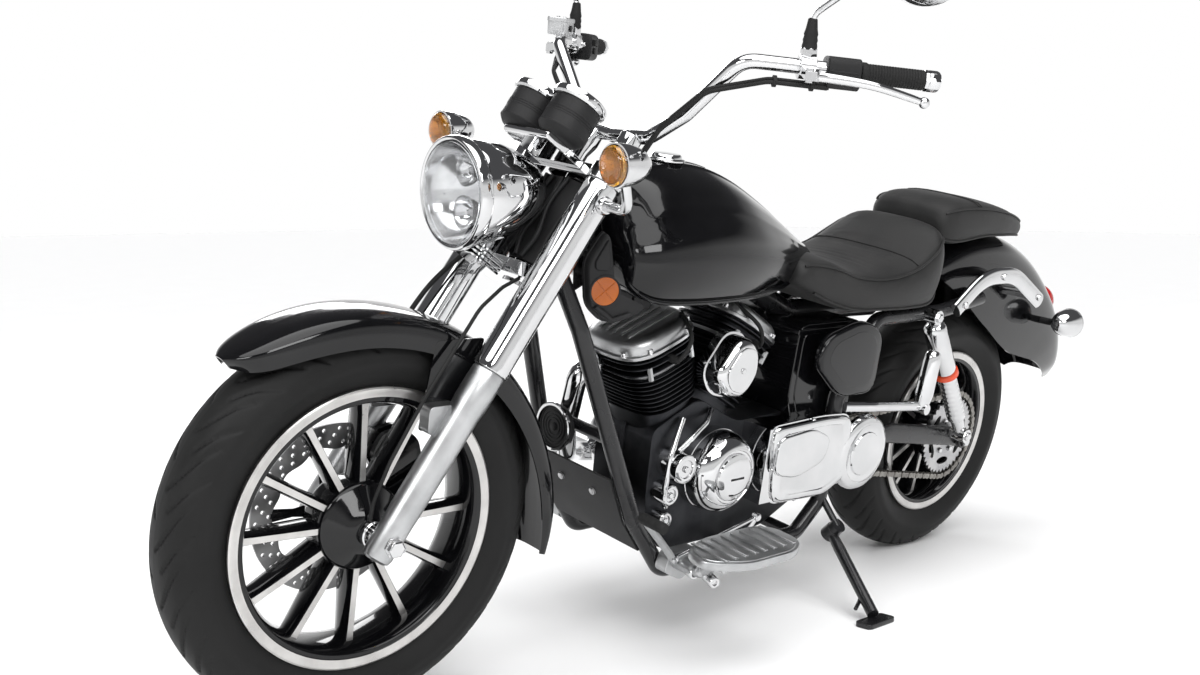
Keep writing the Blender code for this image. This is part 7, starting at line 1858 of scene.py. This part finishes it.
def add_shocks():
    """The rear shocks: a bright shroud and ring over the covered spring, with an eye each end."""
    for side, hand in HANDS:
        top = on_side(side, *SHOCK_TOP)
        foot = on_side(side, *SHOCK_FOOT)
        run = foot - top
        length = run.length
        shroud = turned([(0.020, 0.0100), (0.026, 0.0180), (0.032, 0.0240), (0.038, 0.0255),
                         (0.165, 0.0262), (0.168, 0.0250)], top, run, 64)
        ring = ring_body([(0.1670, 0.0230), (0.1675, 0.0288), (0.1785, 0.0290),
                          (0.1790, 0.0230)], top, run, 64)
        rings = [(0.178, 0.0215)]
        for step in range(9):
            start = 0.182 + step * 0.0145
            rings += [(start, 0.0212), (start + 0.0018, 0.0221), (start + 0.0110, 0.0221),
                      (start + 0.0128, 0.0212)]
        rings += [(0.318, 0.0212), (0.322, 0.0160), (length - 0.020, 0.0140),
                  (length - 0.010, 0.0100)]
        body = turned(rings, top, run, 64)
        eyes = []
        for place, near in ((top, 0.1412), (foot, 0.1289)):
            eyes.append(across_rod((place.x, place.z), side * near, side * 0.170, 0.0168))
            eyes.append(turned([(0, 0.0110), (0.006, 0.0108), (0.0085, 0.0080)],
                               Vector((place.x, side * 0.168, place.z)), AXLE_LINE * side, 6))
        piece("shock_body_" + hand, together([shroud, body] + eyes), CHROME, "chassis",
              "shock_" + hand, sharp=40, bevel=0.0005)
        piece("shock_ring_" + hand, ring, ORANGE_RED, "chassis")


def add_side_stand():
    """The side stand, out and down, with its sole level on the ground."""
    foot = STAND_PIVOT + Vector((0.080, 0.195, -0.09735))
    boss = turned([(-0.014, 0.0165), (-0.0125, 0.0178), (0.0125, 0.0178), (0.014, 0.0165)],
                  STAND_PIVOT, STAND_AXIS, 40)
    leg = swept([STAND_PIVOT, STAND_PIVOT.lerp(foot, 0.2), STAND_PIVOT.lerp(foot, 0.97)],
                [0.0105, 0.0124, 0.0124], 32)
    outline = rounded_outline([(-0.045, -0.018), (0.045, -0.018), (0.045, 0.022),
                               (-0.045, 0.022)], 0.012, 8)
    sole = level_plate(outline, (0, 0), [(-0.0140, 0.98), (-0.0132, 1.0), (-0.0048, 1.0),
                                         (-0.0040, 0.98)])
    sole = moved(moved(sole, Matrix.Rotation(LEAN, 4, "X")), Matrix.Translation(foot))
    hook_root = STAND_PIVOT.lerp(foot, 0.72)
    hook = swept(smooth_line([hook_root, hook_root + Vector((0.012, 0.006, -0.016)),
                              STAND_PIVOT.lerp(foot, 0.78) + Vector((0.034, 0.006, -0.016))]),
                 0.0042, 16)
    nut = bolt(STAND_PIVOT - STAND_AXIS * 0.0135, -STAND_AXIS, 0.0095, 0.006)
    piece("stand_leg", together([boss, leg, sole, hook, nut]), FRAME_BLACK, "stand",
          "side_stand", sharp=40, bevel=0.0006)


# Rear fender, struts, lamps and rear signals
def fender_place(degrees, radius):
    """A point over the rear fender, by its angle round the rear axle and its radius."""
    return REAR_AXLE + radial(math.radians(degrees)) * radius


STRUT_PLACES = [(0.168, 0.1505, 0.648), (0.070, 0.1505, 0.722), (-0.062, 0.1505, 0.722),
                (-0.200, 0.1505, 0.652)]


def add_rear_fittings():
    piece("rear_fender_skin", fender_shape(REAR_AXLE, REAR_FENDER), GLOSS, "chassis",
          "rear_fender", sharp=50)
    for side, hand in HANDS:
        line = bent_line([on_side(side, *point) for point in STRUT_PLACES], 0.17, 12)
        strut = swept(line, 0.0198, 32, 0.55, UP)
        boss = across_rod((-0.178, 0.664), side * 0.1026, side * 0.153, 0.011)
        screws = [turned([(0, 0.0080), (0.004, 0.0080), (0.0062, 0.0062), (0.0066, 0.002)],
                         Vector((x, side * 0.1612, z)), AXLE_LINE * side, 32)
                  for x, z in ((-0.178, 0.6635), (0.004, 0.7225), (0.150, 0.662))]
        piece("fender_strut_bar_" + hand, together([strut, boss] + screws), CHROME, "chassis",
              "fender_strut_" + hand, sharp=40)
        centre = Vector((-0.323, 0.172, 0.592))
        root = Vector((-0.330, 0.1011, 0.582))
        stalk = swept(smooth_line([root, root + Vector((0.002, 0.030, 0.002)),
                                   centre + Vector((0.010, -0.022, -0.003))]), 0.0088, 24)
        washer = turned([(0, 0.0088), (0.002, 0.0088)], centre + Vector((0.010, -0.03, 0)),
                        AXLE_LINE, 16)
        shapes = signal_shapes(centre, Vector((-1, 0, 0)), washer)
        piece("rear_signal_stalk_" + hand, mirrored(stalk, side), MATTE, "chassis")
        add_signal("rear_signal_%s_" + hand, "rear_signal_" + hand, side, shapes, "chassis")


TAIL_LAMP_ANGLE = 148.5  # degrees round the rear axle


def add_tail_lamp():
    start = fender_place(TAIL_LAMP_ANGLE, 0.5471)
    along = fender_place(TAIL_LAMP_ANGLE, 0.6) - fender_place(TAIL_LAMP_ANGLE, 0.5)
    housing = turned([(0.0, 0.0445), (0.002, 0.0455), (0.012, 0.0452), (0.014, 0.0430)],
                     start, along, 72)
    piece("tail_lamp_base", housing, CHROME, "chassis")
    lens = turned([(0.0125, 0.0420), (0.016, 0.0428), (0.030, 0.0405), (0.040, 0.0340),
                   (0.0455, 0.0240), (0.0470, 0.0060)], start, along, 72)
    piece("tail_lamp_lens", lens, RED, "chassis", "tail_lamp")


# Chain and rear sprocket
CHAIN_FRONT = Vector((0.640, 0, 0.352))
CHAIN_PITCH = 0.0159
SPROCKET_RADIUS = 0.0975


BELT_STEPS = 400


def belt_length_points(rear, rear_radius, front, front_radius):
    """Closely spaced points of a belt line round two circles."""
    run = front - rear
    slope = math.atan2(run.z, run.x)
    spread = math.acos((rear_radius - front_radius) / run.length)
    points = []
    for step in range(BELT_STEPS + 1):
        angle = slope + spread + (math.tau - 2 * spread) * step / BELT_STEPS
        points.append(Vector((rear.x + rear_radius * math.cos(angle), 0,
                              rear.z + rear_radius * math.sin(angle))))
    for step in range(BELT_STEPS + 1):
        angle = slope - spread + 2 * spread * step / BELT_STEPS
        points.append(Vector((front.x + front_radius * math.cos(angle), 0,
                              front.z + front_radius * math.sin(angle))))
    return points


def spaced(points, pitch):
    """Evenly spaced places along a closed line, with the direction of travel at each."""
    closed = points + points[:1]
    total = sum((b - a).length for a, b in zip(closed, closed[1:]))
    count = int(round(total / pitch / 2)) * 2
    step = total / count
    places = []
    travelled = 0.0
    for a, b in zip(closed, closed[1:]):
        run = (b - a).length
        while run and len(places) < count and len(places) * step <= travelled + run:
            share = (len(places) * step - travelled) / run
            places.append(a.lerp(b, share))
        travelled += run
    return places


LINK_END = 0.0068
LINK_WAIST = 0.0048


def link_plate(start, end, near, far):
    """One chain link plate: a waisted oval between two pins."""
    run = end - start
    length = run.length
    ahead = run.normalized()
    upward = Vector((-ahead.z, 0, ahead.x))
    outline = []
    for centre, first, waist in ((0.0, -90, LINK_WAIST), (length, 90, -LINK_WAIST)):
        for step in range(9):
            angle = math.radians(first - 180 * step / 8)
            outline.append((centre + math.cos(angle) * LINK_END, math.sin(angle) * LINK_END))
        outline.append((length / 2, waist))
    return skin([[start + ahead * x + upward * z + AXLE_LINE * y for x, z in outline]
                 for y in (near, far)])


def add_chain():
    rear_radius = SPROCKET_RADIUS + 0.0075 + 0.0015
    places = spaced(belt_length_points(REAR_AXLE, rear_radius, CHAIN_FRONT, 0.038), CHAIN_PITCH)
    middle = 0.0885
    shapes = []
    for index, place in enumerate(places):
        after = places[(index + 1) % len(places)]
        offsets = (0.0058, 0.0074) if index % 2 else (0.0040, 0.0056)
        for side in (1, -1):
            shapes.append(link_plate(place, after, middle + side * offsets[0],
                                     middle + side * offsets[1]))
        shapes += [rod(place + AXLE_LINE * (middle - half), place + AXLE_LINE * (middle + half),
                       radius, segments)
                   for half, radius, segments in ((0.0079, 0.0026, 8), (0.0038, 0.0050, 12))]
    piece("chain_links", together(shapes), CHAIN_STEEL, "chassis", "chain", sharp=50)


def add_sprocket():
    """The rear sprocket, with slots cut between its bolts."""
    teeth = 39
    outline = []
    for index in range(teeth * 4):
        angle = math.tau * index / (teeth * 4)
        radius = (SPROCKET_RADIUS, 0.0945, 0.0895, 0.0945)[index % 4]
        outline.append((math.cos(angle) * radius, math.sin(angle) * radius))
    plate_shape = skin([[REAR_AXLE + Vector((x, y, z)) for x, z in outline]
                        for y in (0.0850, 0.0920)])
    mesh_holes = []
    for index in range(6):
        angle = math.tau * (index + 0.5) / 6
        hole = []
        for step in range(20):
            turn = math.tau * step / 20
            along = math.cos(turn) * 0.024
            outward = 0.066 + math.sin(turn) * 0.0095
            hole.append((math.cos(angle) * outward - math.sin(angle) * along,
                         math.sin(angle) * outward + math.cos(angle) * along))
        mesh_holes.append(skin([[REAR_AXLE + Vector((x, y, z)) for x, z in hole]
                                for y in (0.080, 0.097)]))
    mesh_holes.append(across_rod((REAR_AXLE.x, REAR_AXLE.z), 0.078, 0.099, 0.0150))
    shape = cut(plate_shape, together(mesh_holes))
    turns = [math.tau * index / 6 for index in range(6)]
    bolts = [bolt(REAR_AXLE + Vector((math.cos(turn) * 0.043, 0.0918, math.sin(turn) * 0.043)),
                  AXLE_LINE, 0.0068, 0.0055) for turn in turns]
    piece("rear_sprocket_plate", shape, STEEL, "rear_wheel", "rear_sprocket", sharp=35)
    piece("rear_sprocket_bolts", together(bolts), CHROME, "rear_wheel")


# Side panels, neck covers, chin panel and horn
SIDE_PANEL_OUTLINE = [(0.660, 0.560), (0.640, 0.620), (0.520, 0.650), (0.440, 0.620),
                      (0.440, 0.480), (0.560, 0.480)]
NECK_OUTLINE = [(0.0820, 0.174), (0.112, 0.1121), (0.100, 0.032), (0.065, 0.0), (0.010, 0.0219),
                (0.0, 0.0371), (0.058, 0.0619)]
NECK_SLANT = 0.44  # how fast the neck covers draw in towards the front
NECK_UPPER = [(0.0815, 0.160), (0.102, 0.113), (0.099, 0.0985), (0.071, 0.0985)]


def add_side_cover(side, hand):
    panel = covered(SIDE_PANEL_OUTLINE, side * 0.1413, side * 0.158, 0.04, 0.010)
    rib = covered([(0.630, 0.570), (0.610, 0.606), (0.520, 0.630), (0.462, 0.606),
                   (0.462, 0.502), (0.550, 0.502)], side * 0.1565, side * 0.1585, 0.03, 0.003)
    piece("side_cover_" + hand, together([panel, rib]), GLOSS, "chassis", "side_panel_" + hand,
          sharp=40)


def add_neck_cover(side, hand):
    """The slanting cover beside the steering head, with a raised panel, a ledge and a post."""
    corner = (HEAD_JOINT.x - 0.1491, HEAD_JOINT.z - 0.1267)
    lower, upper = [[(corner[0] + x, corner[1] + z) for x, z in outline]
                    for outline in (NECK_OUTLINE, NECK_UPPER)]
    slant = Matrix.Identity(4)
    slant[1][0] = -side * NECK_SLANT
    slant[1][3] = side * NECK_SLANT * (HEAD_JOINT.x - 0.1091)
    shell = moved(covered(lower, side * 0.0905, side * 0.108, 0.018, 0.007), slant)
    post = rod(HEAD_JOINT + Vector((-0.0751, side * 0.0246, 0.0033)),
               HEAD_JOINT + Vector((-0.0751, side * 0.083, -0.0047)), 0.008, 24)
    panel = moved(covered(upper, side * 0.106, side * 0.1125, 0.012, 0.004), slant)
    ledge = moved(swept([Vector((corner[0] + x, side * 0.110, corner[1] + z))
                         for x, z in ((0.030, 0.022), (0.060, 0.010), (0.092, 0.034))],
                        0.0050, 16), slant)
    piece("neck_shell_" + hand, together([shell, post, panel, ledge]), MATTE, "chassis",
          "neck_cover_" + hand, sharp=40)


def add_reflector(side, hand):
    """A round amber reflector on the neck cover, with moulded bars under its face."""
    place = Vector((1.227, side * 0.108, 0.730))
    place.y = side * (0.108 - NECK_SLANT * (place.x - HEAD_JOINT.x + 0.1091))
    facing = Vector((NECK_SLANT, side, 0)).normalized()
    rim = ring_body([(0.0005, 0.0290), (0.0022, 0.0290), (0.0026, 0.0262),
                     (0.0012, 0.0254), (0.0005, 0.0258)], place, facing, 64)
    disc = turned([(0.0003, 0.0256), (0.0013, 0.0256), (0.0016, 0.0240)], place, facing, 64)
    slope = facing.cross(UP)
    bars = [swept([place + facing * 0.0015 + line * 0.0235,
                   place + facing * 0.0015 - line * 0.0235], 0.0011, 8)
            for line in ((slope + UP).normalized(), (slope - UP).normalized())]
    piece("reflector_rim_" + hand, rim, MATTE, "chassis")
    piece("reflector_" + hand, together([disc] + bars), AMBER_SOLID, "chassis")


def add_panels():
    for side, hand in HANDS:
        add_side_cover(side, hand)
        add_neck_cover(side, hand)
        add_reflector(side, hand)


PANEL_SIZE = 1 - 0.016 / 0.11  # of the raised panels, against the box


def add_battery_box():
    """The dark box under the seat, between the frame rails, with a lid and raised panels."""
    outline = rounded_outline([(0.452, 0.415), (0.640, 0.415), (0.668, 0.470), (0.664, 0.634),
                               (0.452, 0.634)], 0.030)
    shapes = [stepped_plate(outline, (0.560, 0.525), [(near, size), (far, size)])
              for near, far, size in ((-0.102, 0.102, 1.0), (-0.104, -0.100, PANEL_SIZE),
                                      (0.100, 0.104, PANEL_SIZE))]
    lid = rounded_outline([(0.446, 0.612), (0.671, 0.612), (0.671, 0.624), (0.446, 0.624)], 0.004)
    shapes.append(plate(lid, -0.105, 0.105))
    piece("battery_box", together(shapes), GLOSS, "chassis", bevel=0.003)


CHIN_STATIONS = [(1.1593, 0.104, 0.372), (1.1224, 0.114, 0.286), (1.0713, 0.118, 0.220)]
COIL_RIB = 0.002


def add_coils():
    """The ignition coils under the front of the tank, with moulded ribs."""
    shapes = []
    for start, top in ((1.052, 0.7080), (1.104, 0.7160)):
        for near, far, grow in ((-0.040, 0.040, 0.0), (-0.034, -0.028, COIL_RIB),
                                (-0.012, -0.006, COIL_RIB), (0.006, 0.012, COIL_RIB),
                                (0.028, 0.034, COIL_RIB)):
            low, high = start - grow, start + 0.046 + grow
            outline = rounded_outline([(low, 0.6745), (high, 0.6745), (high, top), (low, top)],
                                      0.006)
            shapes.append(plate(outline, near, far))
    piece("ignition_coils", together(shapes), MATTE, "chassis", bevel=0.0008)


def add_front_panel():
    """The bent chin plate between the down tubes, with its two bolts."""
    panel = skin([[Vector((x, -y, z)), Vector((x, y, z)), Vector((x + 0.004, y, z - 0.0015)),
                   Vector((x + 0.004, -y, z - 0.0015))] for x, y, z in CHIN_STATIONS])
    facing = Vector((0.918, 0, -0.39)).normalized()
    bolts = [turned([(0, 0.0105), (0.0012, 0.0105), (0.0014, 0.0075), (0.005, 0.0072),
                     (0.006, 0.0055)], Vector((1.1430, y, 0.3270)), facing, 24)
             for y in (0.045, -0.045)]
    piece("chin_plate", together([panel] + bolts, [0, 1, 1]), [MATTE, STEEL], "chassis",
          "chin_panel", bevel=0.0012)


def add_horn():
    place = Vector((1.1853, 0, 0.450))
    ahead = Vector((1, 0, 0))
    body = turned([(0.0, 0.014), (0.016, 0.014), (0.017, 0.034), (0.022, 0.0395),
                   (0.034, 0.0440), (0.038, 0.0450)], place, ahead, 72)
    rim = ring_body([(0.036, 0.0405), (0.037, 0.0460), (0.0415, 0.0460), (0.0430, 0.0440),
                     (0.0430, 0.0400)], place, ahead, 72)
    louvres = [ring_body([(0.037, radius), (0.0395, radius + 0.001), (0.0395, radius + 0.0025),
                          (0.037, radius + 0.003)], place, ahead, 64)
               for radius in (0.014, 0.021, 0.028, 0.035)]
    middle = turned([(0.036, 0.008), (0.040, 0.008), (0.041, 0.004)], place, ahead, 40)
    piece("horn_body", together([body] + louvres + [middle]), MATTE, "chassis", "horn",
          sharp=40)
    piece("horn_rim", rim, CHROME, "chassis")


# Footboards, pedals and pegs
BOARD_OUTLINE = [(0.885, 0.238), (1.040, 0.235), (1.112, 0.268), (1.118, 0.325),
                 (1.040, 0.362), (0.905, 0.362), (0.855, 0.328), (0.855, 0.262)]


BOARD_MIDDLE = (0.9865, 0.299)
ARM_RADII = [0.026] * 3 + [0.024] * 4 + [0.018] * 4
PEDAL_RUBBER = [(0, 0.0098), (0.002, 0.0106), (0.010, 0.0106), (0.012, 0.0100), (0.014, 0.0106),
                (0.024, 0.0106), (0.026, 0.0100), (0.028, 0.0106), (0.040, 0.0106),
                (0.042, 0.0100), (0.044, 0.0106), (0.060, 0.0106), (0.0625, 0.0090)]


def board_shape():
    """A footboard with its bracket, arm, knuckle and pedal, feelers below and bright screws."""
    board = level_plate(rounded_outline(BOARD_OUTLINE, 0.03, 8), BOARD_MIDDLE,
                        [(0.268, 0.975), (0.271, 0.995), (0.275, 1.0), (0.280, 1.0),
                         (0.2835, 0.985), (0.2840, 0.960)])
    bracket = plate(rounded_outline([(1.040, 0.225), (0.960, 0.225), (0.955, 0.190),
                                     (1.000, 0.165), (1.050, 0.190)], 0.012), 0.1418, 0.170)
    arm = swept(bent_line([(1.004, 0.150, 0.205), (1.004, 0.226, 0.206),
                           (1.000, 0.285, 0.268)], 0.04), ARM_RADII, 40, 0.62,
                Vector((1, 0, 0)))
    knuckle = rod(Vector((0.975, 0.276, 0.262)), Vector((1.025, 0.276, 0.262)), 0.0090, 24)
    pedal = swept(bent_line([(1.025, 0.164, 0.208), (1.055, 0.184, 0.232),
                             (1.160, 0.200, 0.330)], 0.03), 0.0074, 24, 0.8)
    nubs = [turned([(0, 0.0042), (-0.005, 0.0042), (-0.007, 0.003)],
                   Vector((x, y, 0.269)), UP, 16)
            for x in (0.900, 0.960, 1.080, 1.130) for y in (0.258, 0.335)]
    screws = [turned([(-0.030, 0.0115), (0.008, 0.0115), (0.0100, 0.0098), (0.0100, 0.0055),
                      (0.0060, 0.0050)], Vector(place), Vector((0.35, 0.94, 0)), 32)
              for place in ((1.018, 0.212, 0.201), (0.984, 0.236, 0.186))]
    plain = [board, bracket, arm, knuckle, pedal] + nubs
    return together(plain + screws, [0] * len(plain) + [1] * len(screws))


def board_pad():
    """The footboard's ribbed top plate."""
    pad = level_plate(rounded_outline(BOARD_OUTLINE, 0.03, 8), BOARD_MIDDLE,
                      [(0.2838, 0.93), (0.2860, 0.925), (0.2866, 0.90)])
    ribs = []
    for x in [0.890 + index * 0.027 for index in range(8)]:
        ribs.append(skin([[Vector((x - 0.005, y, 0.2862)), Vector((x + 0.005, y, 0.2862)),
                           Vector((x + 0.004, y, 0.2895)), Vector((x - 0.004, y, 0.2895))]
                          for y in (0.252, 0.340)]))
    return together([pad] + ribs)


def add_footboards():
    for side, hand in HANDS:
        piece("board_and_arm_" + hand, mirrored(board_shape(), side), [SATIN, CHROME],
              "chassis", "footboard_" + hand, sharp=38, bevel=0.0006)
        piece("board_pad_" + hand, mirrored(board_pad(), side), SATIN, "chassis", bevel=0.0008)
        rubber = turned(PEDAL_RUBBER, Vector((1.160, 0.1925, 0.330)), AXLE_LINE, 28)
        piece("pedal_rubber_" + hand, mirrored(rubber, side), RUBBER, "chassis")


def add_linkage():
    """The left gear linkage: a bright rod with ball joints, from the pedal to the case."""
    front = Vector((1.036, 0.176, 0.218))
    rear = Vector((0.800, 0.172, 0.262))
    joints = [turned([(-0.008, 0.006), (-0.006, 0.0082), (0.006, 0.0082), (0.008, 0.006)],
                     place, AXLE_LINE, 24) for place in (front, rear)]
    shapes = [rod(front, rear, 0.0042, 20)] + joints
    shapes.append(rod(rear, rear + Vector((0.014, -0.012, -0.040)), 0.0060, 20))
    piece("gear_linkage", together(shapes), CHROME, "chassis")


def add_pegs():
    line = Vector((-0.012, 0, 0.136)).normalized()
    for side, hand in HANDS:
        foot = Vector((0.292, 0.184, 0.436))
        peg = turned([(0, 0.012), (0.002, 0.0145), (0.028, 0.0195), (0.036, 0.0208),
                      (0.110, 0.0192), (0.124, 0.0180), (0.132, 0.0145), (0.136, 0.0090),
                      (0.137, 0.003)], foot, line, 48)
        arm = swept(bent_line([(0.530, 0.1494, 0.457), (0.460, 0.176, 0.458),
                               (0.292, 0.184, 0.444)], 0.03), 0.0108, 32, 0.8)
        knuckle = rod(Vector((0.292, 0.168, 0.440)), Vector((0.292, 0.202, 0.440)), 0.0120, 32)
        piece("peg_and_arm_" + hand, mirrored(together([peg, arm, knuckle]), side), CHROME,
              "chassis", "pillion_peg_" + hand, sharp=40)


add_frame()
add_swingarm()
add_shocks()
add_side_stand()
add_rear_fittings()
add_tail_lamp()
add_chain()
add_sprocket()
add_panels()
add_battery_box()
add_coils()
add_front_panel()
add_horn()
add_footboards()
add_linkage()
add_pegs()


# The studio: floor, lights and camera
CAMERA_PLACE = Vector((2.86137, 1.75601, 1.20888))
CAMERA_YAW = math.radians(-134.52992)
CAMERA_PITCH = math.radians(-13.56632)
CAMERA_ROLL = math.radians(7.50850)
FOCAL_PIXELS = 1354.195
PHOTO_WIDTH = 1200
SENSOR = 36.0


def add_camera():
    """The camera where the photograph was taken from, fitted in the motorcycle's own axes."""
    ahead = Vector((math.cos(CAMERA_YAW) * math.cos(CAMERA_PITCH),
                    math.sin(CAMERA_YAW) * math.cos(CAMERA_PITCH), math.sin(CAMERA_PITCH)))
    level = Vector((math.sin(CAMERA_YAW), -math.cos(CAMERA_YAW), 0))
    upright = level.cross(ahead)
    right = level * math.cos(CAMERA_ROLL) + upright * math.sin(CAMERA_ROLL)
    up = upright * math.cos(CAMERA_ROLL) - level * math.sin(CAMERA_ROLL)
    facing = Matrix((right, up, -ahead)).transposed().to_4x4()
    lens = bpy.data.cameras.new("photo_camera")
    lens.sensor_width = SENSOR
    lens.lens = FOCAL_PIXELS / PHOTO_WIDTH * SENSOR
    lens.clip_start = 0.05
    camera = bpy.data.objects.new("photo_camera", lens)
    bpy.context.scene.collection.objects.link(camera)
    camera.matrix_world = PARKED @ Matrix.Translation(CAMERA_PLACE) @ facing
    bpy.context.scene.camera = camera
    bpy.context.scene.view_settings.view_transform = "Standard"


def add_light(name, place, target, height, width, power):
    """A soft rectangular studio light that faces its target."""
    lamp = bpy.data.lights.new(name, "AREA")
    lamp.shape = "RECTANGLE"
    lamp.size = width
    lamp.size_y = height
    lamp.energy = power
    thing = bpy.data.objects.new(name, lamp)
    bpy.context.scene.collection.objects.link(thing)
    thing.location = place
    thing.rotation_mode = "QUATERNION"
    thing.rotation_quaternion = (Vector(target) - Vector(place)).to_track_quat("-Z", "Y")


def add_floor():
    """A wide pale floor that fades into the pale surroundings."""
    shape = bmesh.new()
    bmesh.ops.create_grid(shape, x_segments=1, y_segments=1, size=30)
    mesh = bpy.data.meshes.new("studio_floor")
    shape.to_mesh(mesh)
    shape.free()
    floor = bpy.data.objects.new("studio_floor", mesh)
    bpy.context.scene.collection.objects.link(floor)
    material, shader = new_material("studio_floor", (0.93, 0.93, 0.93), 0.0, 0.6)
    two_tone(material, shader, noise_of(material, 3.0), (0.925, 0.925, 0.925),
             (0.935, 0.935, 0.935))
    mesh.materials.append(material)


def add_surroundings():
    """A studio that is bright round the horizon and darker overhead, for deep blacks."""
    world = bpy.data.worlds.new("studio")
    world.use_nodes = True
    tree = world.node_tree
    background = tree.nodes["Background"]
    place = tree.nodes.new("ShaderNodeTexCoord")
    split = tree.nodes.new("ShaderNodeSeparateXYZ")
    ramp = tree.nodes.new("ShaderNodeValToRGB")
    ramp.color_ramp.elements[0].position = 0.60
    ramp.color_ramp.elements[0].color = (1.0, 1.0, 1.0, 1)
    ramp.color_ramp.elements[1].position = 0.70
    ramp.color_ramp.elements[1].color = (0.10, 0.10, 0.105, 1)
    spread = tree.nodes.new("ShaderNodeMapRange")
    spread.inputs["From Min"].default_value = -1
    tree.links.new(place.outputs["Generated"], split.inputs["Vector"])
    tree.links.new(split.outputs["Z"], spread.inputs["Value"])
    tree.links.new(spread.outputs["Result"], ramp.inputs["Fac"])
    tree.links.new(ramp.outputs["Color"], background.inputs["Color"])
    background.inputs["Strength"].default_value = 1.0
    bpy.context.scene.world = world


LIGHTS = [  # name, place, target, height, width and power
    ("key_left", (2.0, 4.2, 3.4), (0, 0, 0.5), 1.4, 3.2, 120),
    ("front_high", (5.2, 1.0, 3.0), (0.3, 0, 0.5), 1.0, 2.4, 70),
    ("rim_right", (-2.0, -4.5, 3.0), (0, 0, 0.7), 1.2, 3.0, 70),
]


SKY_POWER = 3.1
SKY_SPREAD = 70  # degrees


def add_sky_light():
    """An even, very soft light from above that whitens the floor out to the horizon."""
    lamp = bpy.data.lights.new("sky_light", "SUN")
    lamp.energy = SKY_POWER
    lamp.angle = math.radians(SKY_SPREAD)
    thing = bpy.data.objects.new("sky_light", lamp)
    bpy.context.scene.collection.objects.link(thing)
    thing.rotation_euler = (math.radians(-12), math.radians(10), 0)


def dress_studio():
    add_floor()
    add_surroundings()
    add_sky_light()
    for light in LIGHTS:
        add_light(*light)
    add_camera()


dress_studio()
bpy.context.view_layer.update()
